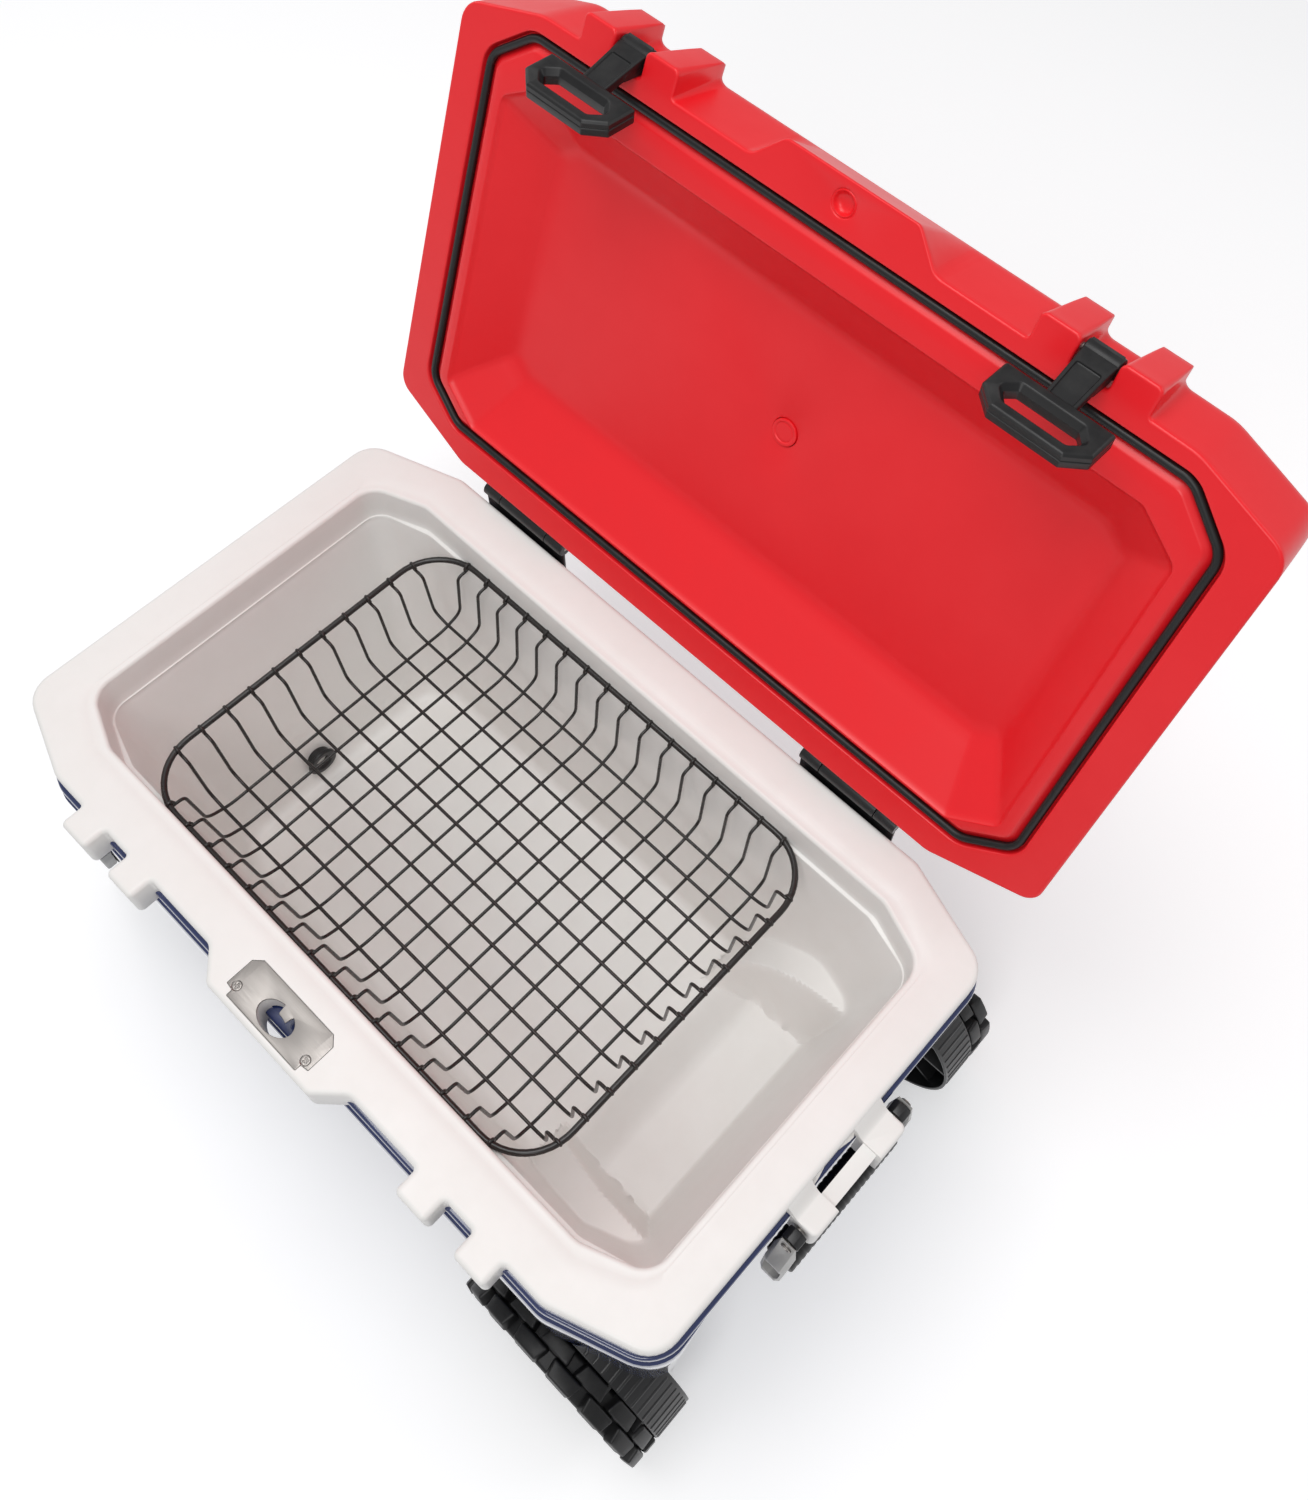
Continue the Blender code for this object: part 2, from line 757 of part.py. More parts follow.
def make_outer_tub():
    tub = tub_volume("outer_tub", 0, 0, TUB_TOP_Z)
    for side, word in ((-1, "front"), (1, "rear")):
        unite(tub, foot_boss(f"foot_boss_{word}", side), tow_boss(f"tow_boss_{word}", side))
    for side, word in ((-1, "left"), (1, "right")):
        unite(tub, hinge_pad(f"hinge_pad_{word}", side))
    cut(tub, *bay_volumes("tub_bay", 0))
    space = tub_volume("tub_space", TUB_WALL, TUB_WALL, TUB_TOP_Z + OVERRUN)
    cut(space, *bay_volumes("tub_space_bay", TUB_WALL))
    cut(tub, space)
    wide = BAY_SIDE_Y + OVERRUN
    cut(tub, drum("tub_axle_hole", "Y", (AXLE_X, AXLE_Z), SLEEVE_RADIUS + FIT, -wide, wide))
    cut(tub, drain_hole("tub_drain_hole"))
    for side, word in ((-1, "front"), (1, "rear")):
        cut(tub, tow_bolt_hole(f"tow_hole_{word}", side))
    for side, word in ((-1, "left"), (1, "right")):
        for step, place in ((-1, "a"), (1, "b")):
            x = side * HINGE_X + step * HINGE_BODY_SCREW_X
            start = body_leaf_y() - HINGE_SCREW_BITE - FIT
            hole = drum(f"hinge_hole_{word}_{place}", "Y", (x, HINGE_BODY_SCREW_Z),
                        SCREW_SHANK_RADIUS + FIT, start, HINGE_Y, SMALL_STEPS)
            cut(tub, hole)
    return finish(smooth(tub), NAVY)


def tub_side_y(z):
    return COLLAR_SIDE_Y + TUB_PROUD - TUB_DRAFT * (TUB_TOP_Z - z) / TUB_TOP_Z


def tub_end_x(z):
    return COLLAR_END_X + TUB_PROUD - TUB_DRAFT * (TUB_TOP_Z - z) / TUB_TOP_Z


def foot_boss(name, side):
    low = GROUND_Z + FOOT_PAD + FIT
    half_x = FOOT_HALF_X - FOOT_TAPER
    half_y = FOOT_HALF_Y - FOOT_TAPER
    centre_y = side * FOOT_Y
    bottom = [(-FOOT_X - half_x, centre_y - half_y), (-FOOT_X + half_x, centre_y - half_y),
              (-FOOT_X + half_x, centre_y + half_y), (-FOOT_X - half_x, centre_y + half_y)]
    top = [(-FOOT_X - half_x, centre_y - FOOT_HALF_Y), (-FOOT_X + FOOT_HALF_X, centre_y - FOOT_HALF_Y),
           (-FOOT_X + FOOT_HALF_X, centre_y + FOOT_HALF_Y), (-FOOT_X - half_x, centre_y + FOOT_HALF_Y)]
    return loft(name, [(bottom, low), (top, TUB_WALL / 2)])


def tow_boss(name, side):
    start = tub_side_y(TOW_PIVOT_Z) - TUB_WALL
    end = TOW_ARM_Y - FIT
    low, high = sorted((side * start, side * end))
    return drum(name, "Y", (-TOW_PIVOT_X, TOW_PIVOT_Z), TOW_BOSS_RADIUS, low, high)


def tow_bolt_hole(name, side):
    low, high = sorted((side * (TOW_ARM_Y - TOW_BOLT_BITE - FIT), side * (TOW_ARM_Y + OVERRUN)))
    return drum(name, "Y", (-TOW_PIVOT_X, TOW_PIVOT_Z), TOW_BOLT_RADIUS + FIT, low, high)


def body_leaf_y():
    return COLLAR_SIDE_Y + TUB_PROUD


def hinge_pad(name, side):
    half = HINGE_LENGTH / 2 + HINGE_PAD_MARGIN
    low = HINGE_BODY_LEAF_LOW_Z - HINGE_PAD_MARGIN
    inside = tub_side_y(low) - TUB_WALL / 2
    centre = side * HINGE_X
    return box(name, (centre - half, inside, low), (centre + half, body_leaf_y(), TUB_TOP_Z - SEAM))


def drain_hole(name):
    start = -COLLAR_END_X - OVERRUN
    return drum(name, "X", (-DRAIN_Y, DRAIN_Z), DRAIN_RADIUS + FIT, start, -FLOOR_END_X + OVERRUN)


def make_foam_core():
    gap = TUB_WALL + FIT
    core = tub_volume("foam_core", gap, gap, COLLAR_LOW_Z - FIT)
    cut(core, *bay_volumes("core_bay", gap))
    cut(core, inner_volume("core_space", LINER_WALL + FIT, RIM_Z))
    wide = BAY_SIDE_Y
    cut(core, drum("core_tunnel", "Y", (AXLE_X, AXLE_Z), TUNNEL_RADIUS, -wide, wide))
    for side, word in ((-1, "front"), (1, "rear")):
        start = BAY_SIDE_Y - SLEEVE_LENGTH - FIT
        low, high = sorted((side * start, side * BAY_SIDE_Y))
        cut(core, drum(f"core_sleeve_{word}", "Y", (AXLE_X, AXLE_Z), SLEEVE_RADIUS + FIT, low, high))
    cut(core, drain_hole("core_drain_hole"))
    return finish(core, FOAM)


def lug_pair(name, centre_x, front_y, back_y, low, high, width):
    """The two lugs on either side of a latch."""
    lugs = []
    for step, word in ((-1, "a"), (1, "b")):
        near = centre_x + step * LATCH_GAP / 2
        far = near + step * width
        x_low, x_high = sorted((near, far))
        lugs.append(box(f"{name}_{word}", (x_low, -front_y, low), (x_high, -back_y, high)))
    return lugs


def body_furniture():
    """The lugs and the tab that stand out past the tub in front."""
    tab_low = RIM_Z - LUG_HEIGHT
    plan = [
        (TAB_BASE_HALF, -LUG_BACK_Y),
        (TAB_BASE_HALF, -COLLAR_SIDE_Y),
        (TAB_TIP_HALF, -LUG_FRONT_Y),
        (-TAB_TIP_HALF, -LUG_FRONT_Y),
        (-TAB_BASE_HALF, -COLLAR_SIDE_Y),
        (-TAB_BASE_HALF, -LUG_BACK_Y),
    ]
    pieces = [bevel(prism("body_tab", [plan], "Z", tab_low, RIM_Z), LUG_BEVEL)]
    for side, word in ((-1, "left"), (1, "right")):
        centre = side * LATCH_X
        lugs = lug_pair(f"body_lug_{word}", centre, LUG_FRONT_Y, LUG_BACK_Y, tab_low, RIM_Z, LUG_WIDTH)
        pieces += [bevel(lug, LUG_BEVEL) for lug in lugs]
    keep_out = tub_volume("rim_keep_out", -FIT, 0, COLLAR_LOW_Z)
    for piece in pieces:
        cut(piece, keep_out_copy(keep_out, piece.name))
    bpy.data.objects.remove(keep_out)
    return pieces


def keep_out_copy(source, name):
    return linked(f"keep_out_{name}", source.data)


def make_handle_block():
    """Two lugs and the bar across them, at the wheel end, with a hole for each pin of the handle."""
    top = RIM_Z - BLOCK_TOP_DROP
    low = top - BLOCK_HEIGHT
    outer = box("handle_block", (BLOCK_BASE_X, -BLOCK_FRONT_Y, low), (BLOCK_OUTER_X, BLOCK_REAR_Y, top))
    bevel(outer, BLOCK_BEVEL)
    slot_end = BLOCK_OUTER_X + OVERRUN
    cut(outer,
        box("block_gap_low", (BLOCK_BASE_X - OVERRUN, -BLOCK_SLOT_FRONT_Y, low - OVERRUN),
            (slot_end, BLOCK_SLOT_REAR_Y, top - CROSSBAR_HEIGHT)),
        box("block_slot", (BLOCK_BASE_X - OVERRUN, -BLOCK_SLOT_FRONT_Y, top - CROSSBAR_HEIGHT - FIT),
            (CROSSBAR_INNER_X, BLOCK_SLOT_REAR_Y, top + OVERRUN)),
        box("block_face", (CROSSBAR_OUTER_X, -BLOCK_SLOT_FRONT_Y, top - CROSSBAR_HEIGHT - FIT),
            (slot_end, BLOCK_SLOT_REAR_Y, top + OVERRUN)),
        tub_volume("block_keep_out", -FIT, 0, COLLAR_LOW_Z),
        prism("block_rim_keep_out", [rounded(inset(collar_corners(), -FIT), COLLAR_CORNER)], "Z",
              COLLAR_LOW_Z - FIT, RIM_Z + OVERRUN))
    for side, edge, word in ((-1, BLOCK_FRONT_Y, "front"), (1, BLOCK_REAR_Y, "rear")):
        start, end = sorted((side * (edge - CARRY_PIN_DEPTH - FIT), side * (edge + OVERRUN)))
        cut(outer, drum(f"carry_pin_hole_{word}", "Y", (CARRY_AXIS_X, CARRY_AXIS_Z), CARRY_PIN_RADIUS + FIT,
                        start, end, SHAFT_STEPS))
    return finish(outer, WHITE)


def collar():
    """The rim's slab, its upper edge rounded."""
    corners = collar_corners()
    quarter = COLLAR_EDGE * (1 - math.sqrt(0.5))
    return loft("rim", [
        (rounded(corners, COLLAR_CORNER), COLLAR_LOW_Z),
        (rounded(corners, COLLAR_CORNER), RIM_Z - COLLAR_EDGE),
        (rounded(inset(corners, quarter), COLLAR_CORNER), RIM_Z - quarter),
        (rounded(inset(corners, COLLAR_EDGE), COLLAR_CORNER), RIM_Z),
    ])


def make_rim():
    """The rim with its lugs and tab. The liner hangs below it as a piece of its own."""
    rim = unite(collar(), *body_furniture())
    opening = rounded(opening_corners(), OPENING_CORNER)
    cut(rim, prism("rim_opening", [opening], "Z", COLLAR_LOW_Z - OVERRUN, RIM_Z + OVERRUN))
    recess_low = RIM_Z - PLATE_THICKNESS - FIT
    cut(rim, prism("plate_recess", [plate_outline(-FIT)], "Z", recess_low, RIM_Z + OVERRUN))
    hole = [(PLATE_HOLE_X * math.cos(a), -PLATE_HOLE_CENTRE_Y + PLATE_HOLE_Y * math.sin(a))
            for a in (math.tau * k / ROUND_STEPS for k in range(ROUND_STEPS))]
    cut(rim, prism("tab_hole", [hole], "Z", TUB_TOP_Z - LUG_HEIGHT, RIM_Z + OVERRUN))
    for side, word in ((-1, "left"), (1, "right")):
        start = RIM_Z - PLATE_SCREW_LENGTH - FIT
        centre = (side * PLATE_SCREW_X, -PLATE_SCREW_Y)
        cut(rim, drum(f"plate_screw_hole_{word}", "Z", centre, SCREW_SHANK_RADIUS + FIT, start, RIM_Z,
                      SMALL_STEPS))
    return finish(smooth(rim), WHITE)


def make_liner():
    """The inner tub, from the underside of the rim down."""
    liner = inner_volume("liner", LINER_WALL, COLLAR_LOW_Z - FIT)
    cut(liner, inner_volume("liner_inside", 0, RIM_Z + OVERRUN), drain_hole("liner_drain_hole"))
    return finish(smooth(liner), WHITE)


def plate_outline(shrink):
    """The steel plate's outline with its notched ends."""
    half = PLATE_HALF - shrink
    front = -PLATE_FRONT_Y + shrink
    back = -PLATE_BACK_Y - shrink
    notch_half = half - PLATE_NOTCH_X
    return [
        (notch_half, front),
        (notch_half, front + PLATE_NOTCH_Y - PLATE_NOTCH_SLOPE),
        (half, front + PLATE_NOTCH_Y),
        (half, back - PLATE_NOTCH_Y),
        (notch_half, back),
        (-notch_half, back),
        (-half, back - PLATE_NOTCH_Y),
        (-half, front + PLATE_NOTCH_Y),
        (-notch_half, front + PLATE_NOTCH_Y - PLATE_NOTCH_SLOPE),
        (-notch_half, front),
    ]


def make_lock_plate():
    """A steel plate let into the rim, with an oval hole that has a tooth at its front and its back."""
    hole = []
    for k in range(ROUND_STEPS):
        angle = math.tau * k / ROUND_STEPS
        x = PLATE_HOLE_X * math.cos(angle)
        y = PLATE_HOLE_Y * math.sin(angle)
        if abs(x) < PLATE_TOOTH_HALF:
            y -= math.copysign(PLATE_TOOTH, y)
        hole.append((x, -PLATE_HOLE_CENTRE_Y + y))
    plate = prism("lock_plate", [plate_outline(0), hole], "Z", RIM_Z - PLATE_THICKNESS, RIM_Z)
    for side, word in ((-1, "left"), (1, "right")):
        centre = (side * PLATE_SCREW_X, -PLATE_SCREW_Y)
        cut(plate, sunk_screw(f"plate_hole_{word}", centre, FIT, RIM_Z + OVERRUN, RIM_Z - OVERRUN))
    return finish(plate, STEEL)


def screw(name, axis, centre, tip, seat, look, head=SCREW_HEAD, radius=SCREW_HEAD_RADIUS, holder=None,
          shank=SCREW_SHANK_RADIUS, steps=SCREW_STEPS):
    """A domed screw from its tip to its head, which lies just off the seat."""
    way = 1 if seat > tip else -1
    under = seat + way * FIT
    profile = [
        (0, under + way * head),
        (radius * math.sqrt(0.5), under + way * head),
        (radius, under + way * head / 2),
        (radius, under),
        (shank, under),
        (shank, tip),
        (0, tip),
    ]
    if way < 0:
        profile.reverse()
    thing = turned(name, axis, centre, profile, steps)
    return finish(thing, look, holder)


def sunk_screw(name, centre, grow, top, tip):
    """A screw whose cone-shaped head lies flush in the lock plate, or with a fit the hole for it."""
    return turned(name, "Z", centre, [
        (0, top),
        (SCREW_HEAD_RADIUS + grow, top),
        (SCREW_HEAD_RADIUS + grow, RIM_Z - FIT),
        (SCREW_SHANK_RADIUS + grow, RIM_Z - PLATE_SCREW_SINK),
        (SCREW_SHANK_RADIUS + grow, tip),
        (0, tip),
    ], SMALL_STEPS)


def make_lock_screws():
    for side, word in ((-1, "left"), (1, "right")):
        centre = (side * PLATE_SCREW_X, -PLATE_SCREW_Y)
        thing = sunk_screw(f"lock_plate_screw_{word}", centre, 0, RIM_Z, RIM_Z - PLATE_SCREW_LENGTH)
        finish(thing, STEEL)


def make_feet():
    for side, word in ((-1, "front"), (1, "rear")):
        half_x = FOOT_HALF_X - FOOT_TAPER
        half_y = FOOT_HALF_Y - FOOT_TAPER
        low = (-FOOT_X - half_x, side * FOOT_Y - half_y, GROUND_Z)
        high = (-FOOT_X + half_x, side * FOOT_Y + half_y, GROUND_Z + FOOT_PAD)
        foot = box(f"foot_{word}", low, high)
        finish(bevel(foot, FOOT_PAD / 5), RUBBER)


# Drain

def make_drain():
    seat = tub_end_x(DRAIN_Z + DRAIN_FLANGE_RADIUS) + FIT
    spout = turned("drain_spout", "X", (-DRAIN_Y, DRAIN_Z), [
        (DRAIN_RADIUS, -DRAIN_INNER_X),
        (DRAIN_RADIUS, -seat),
        (DRAIN_FLANGE_RADIUS, -seat),
        (DRAIN_FLANGE_RADIUS, -seat - DRAIN_FLANGE),
        (DRAIN_BORE, -seat - DRAIN_FLANGE),
        (DRAIN_BORE, -DRAIN_INNER_X),
    ])
    finish(spout, BLACK)
    seal_seat = seat + DRAIN_FLANGE + FIT
    seal = turned("drain_seal", "X", (-DRAIN_Y, DRAIN_Z), [
        (DRAIN_PLUG_RADIUS - FIT, -seal_seat),
        (DRAIN_PLUG_RADIUS - FIT, -seal_seat - SEAL_THICKNESS),
        (DRAIN_BORE, -seal_seat - SEAL_THICKNESS),
        (DRAIN_BORE, -seal_seat),
    ])
    finish(seal, RUBBER)
    head = seal_seat + SEAL_THICKNESS + FIT
    holder = pivot("drain_plug_place", (-head, -DRAIN_Y, DRAIN_Z))
    plug = turned("drain_plug", "X", (-DRAIN_Y, DRAIN_Z), [
        (0, -head + DRAIN_PLUG_STEM),
        (DRAIN_BORE - FIT, -head + DRAIN_PLUG_STEM),
        (DRAIN_BORE - FIT, -head),
        (DRAIN_PLUG_RADIUS, -head),
        (DRAIN_PLUG_RADIUS, -head - DRAIN_PLUG_HEAD),
        (0, -head - DRAIN_PLUG_HEAD),
    ])
    finish(plug, BLACK, holder)


# Wheels

def make_axle():
    axle = drum("axle", "Y", (AXLE_X, AXLE_Z), AXLE_RADIUS, -AXLE_END_Y, AXLE_END_Y)
    finish(smooth(axle), STEEL)
    for side, word in ((-1, "front"), (1, "rear")):
        face = BAY_SIDE_Y + FIT
        profile = [
            (SLEEVE_FLANGE_RADIUS, face + SLEEVE_FLANGE),
            (SLEEVE_FLANGE_RADIUS, face),
            (SLEEVE_RADIUS, face),
            (SLEEVE_RADIUS, face - SLEEVE_LENGTH),
            (AXLE_RADIUS + FIT, face - SLEEVE_LENGTH),
            (AXLE_RADIUS + FIT, face + SLEEVE_FLANGE),
        ]
        finish(sided_turn(f"axle_sleeve_{word}", side, profile), BLACK)


def sided_turn(name, side, profile, steps=ROUND_STEPS):
    """A turned piece on the wheel axis, drawn for the rear and mirrored for the front."""
    if side < 0:
        profile = [(radius, -along) for radius, along in reversed(profile)]
    return turned(name, "Y", (AXLE_X, AXLE_Z), profile, steps)


def tread_gear(name, low, high, phase):
    """Half the tread's width: a bed with raised blocks round it."""
    pitch = math.tau / TREAD_BLOCKS
    points = []
    for k in range(TREAD_BLOCKS):
        middle = (k + phase) * pitch
        for share, radius in ((-BLOCK_SHARE, TREAD_BED_RADIUS), (-BLOCK_TIP_SHARE, WHEEL_RADIUS),
                              (BLOCK_TIP_SHARE, WHEEL_RADIUS), (BLOCK_SHARE, TREAD_BED_RADIUS)):
            angle = middle + share * pitch / 2
            points.append((AXLE_X + radius * math.cos(angle), AXLE_Z + radius * math.sin(angle)))
    return prism(name, [points, circle((AXLE_X, AXLE_Z), TREAD_BORE, WHEEL_STEPS)], "Y", low, high)


def make_wheel(side, word):
    holder = pivot(f"wheel_{word}_centre", (AXLE_X, side * BARREL_OUTER_Y, AXLE_Z))
    inner = BARREL_OUTER_Y + FIT
    middle = inner + TREAD_WIDTH / 2
    outer = inner + TREAD_WIDTH
    inboard = sorted((side * inner, side * (middle + BLOCK_LAP)))
    outboard = sorted((side * middle, side * outer))
    tread = tread_gear(f"wheel_{word}_tread", *inboard, 0)
    unite(tread, tread_gear(f"wheel_{word}_tread_outer", *outboard, 0.5))
    finish(tread, RUBBER, holder)
    rim = TREAD_BORE - FIT
    web = BARREL_OUTER_Y - HUB_WEB
    hub = sided_turn(f"wheel_{word}_hub", side, [
        (rim, outer - FIT),
        (rim, BARREL_OUTER_Y),
        (BARREL_RADIUS, BARREL_OUTER_Y),
        (BARREL_RADIUS, BARREL_INNER_Y),
        (BARREL_RADIUS - BARREL_WALL, BARREL_INNER_Y),
        (BARREL_RADIUS - BARREL_WALL, web),
        (HUB_BOSS_RADIUS, web),
        (HUB_BOSS_RADIUS, HUB_LENGTH_INNER_Y),
        (AXLE_RADIUS + FIT, HUB_LENGTH_INNER_Y),
        (AXLE_RADIUS + FIT, HUB_BOSS_OUTER_Y),
        (HUB_BOSS_RADIUS, HUB_BOSS_OUTER_Y),
        (HUB_BOSS_RADIUS, BARREL_OUTER_Y),
        (rim - HUB_RIM, BARREL_OUTER_Y),
        (rim - HUB_RIM, outer - FIT),
    ], WHEEL_STEPS)
    finish(hub, BLACK, holder)
    nut_start = HUB_BOSS_OUTER_Y + FIT
    nut = washer(f"axle_nut_{word}", "Y", (AXLE_X, AXLE_Z), NUT_RADIUS, 6, AXLE_RADIUS + FIT, side,
                 nut_start, nut_start + NUT_THICKNESS)
    finish(nut, STEEL)
    skirt = rim - HUB_RIM - FIT
    face = outer - FIT - CAP_THICKNESS
    cap = sided_turn(f"wheel_{word}_cap", side, [
        (0, face + CAP_THICKNESS),
        (skirt - CAP_DOME, face + CAP_THICKNESS),
        (skirt, face + CAP_THICKNESS - CAP_DOME),
        (skirt, face - CAP_SKIRT),
        (skirt - BARREL_WALL, face - CAP_SKIRT),
        (skirt - BARREL_WALL, face + CAP_THICKNESS - BARREL_WALL - CAP_DOME / 2),
        (0, face + CAP_THICKNESS - BARREL_WALL - CAP_DOME / 2),
    ], WHEEL_STEPS)
    finish(cap, BLACK, holder)


# Hinges

def hinge_knuckle(name, start, end):
    return drum(name, "X", (HINGE_Y, HINGE_Z), HINGE_BARREL, start, end, SHAFT_STEPS)


def hinge_bore(name, start, end):
    return drum(name, "X", (HINGE_Y, HINGE_Z), HINGE_PIN_RADIUS + FIT, start - OVERRUN, end + OVERRUN,
                SMALL_STEPS)


def make_hinge(side, word, lid):
    centre = side * HINGE_X
    half = HINGE_LENGTH / 2
    middle = HINGE_MIDDLE / 2
    near = body_leaf_y() + FIT
    top = RIM_Z - HINGE_BODY_LEAF_TOP_DROP
    leaf = box(f"hinge_leaf_body_{word}", (centre - half, near, HINGE_BODY_LEAF_LOW_Z),
               (centre + half, near + HINGE_LEAF, top))
    for step, place in ((-1, "a"), (1, "b")):
        x_low, x_high = sorted((centre + step * half, centre + step * (middle + FIT)))
        far = near + HINGE_LEAF
        neck = box(f"body_neck_{word}_{place}", (x_low, near, top - OVERRUN), (x_high, far, HINGE_Z))
        unite(leaf, hinge_knuckle(f"body_knuckle_{word}_{place}", x_low, x_high), neck)
        hole_centre = (centre + step * HINGE_BODY_SCREW_X, HINGE_BODY_SCREW_Z)
        cut(leaf, drum(f"body_leaf_hole_{word}_{place}", "Y", hole_centre, SCREW_SHANK_RADIUS + FIT,
                       near - OVERRUN, near + OVERRUN, SMALL_STEPS))
        screw(f"hinge_screw_body_{word}_{place}", "Y", hole_centre, body_leaf_y() - HINGE_SCREW_BITE,
              near + HINGE_LEAF, BLACK)
    cut(leaf, hinge_bore(f"body_bore_{word}", centre - half, centre + half))
    finish(leaf, BLACK)

    back = LID_REAR_Y + FIT
    foot = HINGE_Z - HINGE_LID_LEAF_FOOT
    upper = box(f"hinge_leaf_lid_{word}", (centre - middle, back, foot),
                (centre + middle, back + HINGE_LEAF, RIM_Z + HINGE_LID_LEAF_HEIGHT))
    finish(upper, BLACK, lid)
    unite(upper, hinge_knuckle(f"lid_knuckle_{word}", centre - middle, centre + middle),
          box(f"lid_neck_{word}", (centre - middle, back, HINGE_Z),
              (centre + middle, HINGE_Y, HINGE_Z + HINGE_BARREL - FIT)))
    for step, place in ((-1, "a"), (1, "b")):
        hole_centre = (centre + step * HINGE_LID_SCREW_X, RIM_Z + HINGE_LID_SCREW_HEIGHT)
        cut(upper, drum(f"lid_leaf_hole_{word}_{place}", "Y", hole_centre, SCREW_SHANK_RADIUS + FIT,
                        back - OVERRUN, back + OVERRUN, SMALL_STEPS))
        screw(f"hinge_screw_lid_{word}_{place}", "Y", hole_centre, LID_REAR_Y - HINGE_SCREW_BITE,
              back + HINGE_LEAF, BLACK, holder=lid)
    cut(upper, hinge_bore(f"lid_bore_{word}", centre - middle, centre + middle))
    pin = drum(f"hinge_pin_{word}", "X", (HINGE_Y, HINGE_Z), HINGE_PIN_RADIUS, centre - half, centre + half,
               SMALL_STEPS)
    finish(smooth(pin), STEEL)


# Lid

def lid_corners():
    return octagon(
        LID_END_X,
        LID_FRONT_Y,
        LID_REAR_Y,
        LID_END_FRONT_Y,
        LID_END_REAR_Y,
        LID_FRONT_SHOULDER_X,
        LID_REAR_SHOULDER_X,
    )


def groove_corners():
    return octagon(
        GROOVE_END_X,
        GROOVE_FRONT_Y,
        GROOVE_REAR_Y,
        GROOVE_END_Y,
        GROOVE_END_Y,
        GROOVE_SHOULDER_X,
        GROOVE_SHOULDER_X,
    )


def pan_corners():
    return octagon(
        PAN_END_X,
        PAN_FRONT_Y,
        PAN_REAR_Y,
        PAN_END_FRONT_Y,
        PAN_END_REAR_Y,
        PAN_SHOULDER_X,
        PAN_SHOULDER_X,
    )


def pan_floor_corners():
    return octagon(
        PAN_FLOOR_END_X,
        PAN_FLOOR_FRONT_Y,
        PAN_FLOOR_REAR_Y,
        PAN_FLOOR_END_FRONT_Y,
        PAN_FLOOR_END_REAR_Y,
        PAN_FLOOR_SHOULDER_X,
        PAN_FLOOR_SHOULDER_X,
    )


def lid_volume(name, shrink, low, high):
    """The lid's outside, or the space inside its walls."""
    corners = lid_corners()
    start_draft = LID_DRAFT * (low - RIM_Z) / LID_WALL_HEIGHT
    shoulder = high - (LID_HEIGHT - LID_WALL_HEIGHT)
    return loft(name, [
        (rounded(inset(corners, shrink + start_draft), LID_CORNER), low),
        (rounded(inset(corners, shrink + LID_DRAFT), LID_CORNER), shoulder),
        (rounded(inset(corners, shrink + LID_CROWN), LID_CORNER), high),
    ])


def lid_tab():
    """The tab at the middle of the lid's front, leaning back as it rises."""
    low = [
        (-LID_TAB_BASE_HALF, -LID_TAB_BACK_Y),
        (-LID_TAB_BASE_HALF, -LID_TAB_BASE_Y),
        (-LID_TAB_TIP_HALF, -LID_TAB_TIP_Y),
        (LID_TAB_TIP_HALF, -LID_TAB_TIP_Y),
        (LID_TAB_BASE_HALF, -LID_TAB_BASE_Y),
        (LID_TAB_BASE_HALF, -LID_TAB_BACK_Y),
    ]
    high = [
        (-LID_TAB_TOP_HALF, -LID_TAB_BACK_Y),
        (-LID_TAB_TOP_HALF, -LID_TAB_TOP_BASE_Y),
        (-LID_TAB_TOP_TIP_HALF, -LID_TAB_TOP_TIP_Y),
        (LID_TAB_TOP_TIP_HALF, -LID_TAB_TOP_TIP_Y),
        (LID_TAB_TOP_HALF, -LID_TAB_TOP_BASE_Y),
        (LID_TAB_TOP_HALF, -LID_TAB_BACK_Y),
    ]
    return loft("lid_tab", [(low, LID_LOW_Z), (high, RIM_Z + LID_TAB_TOP_Z)])


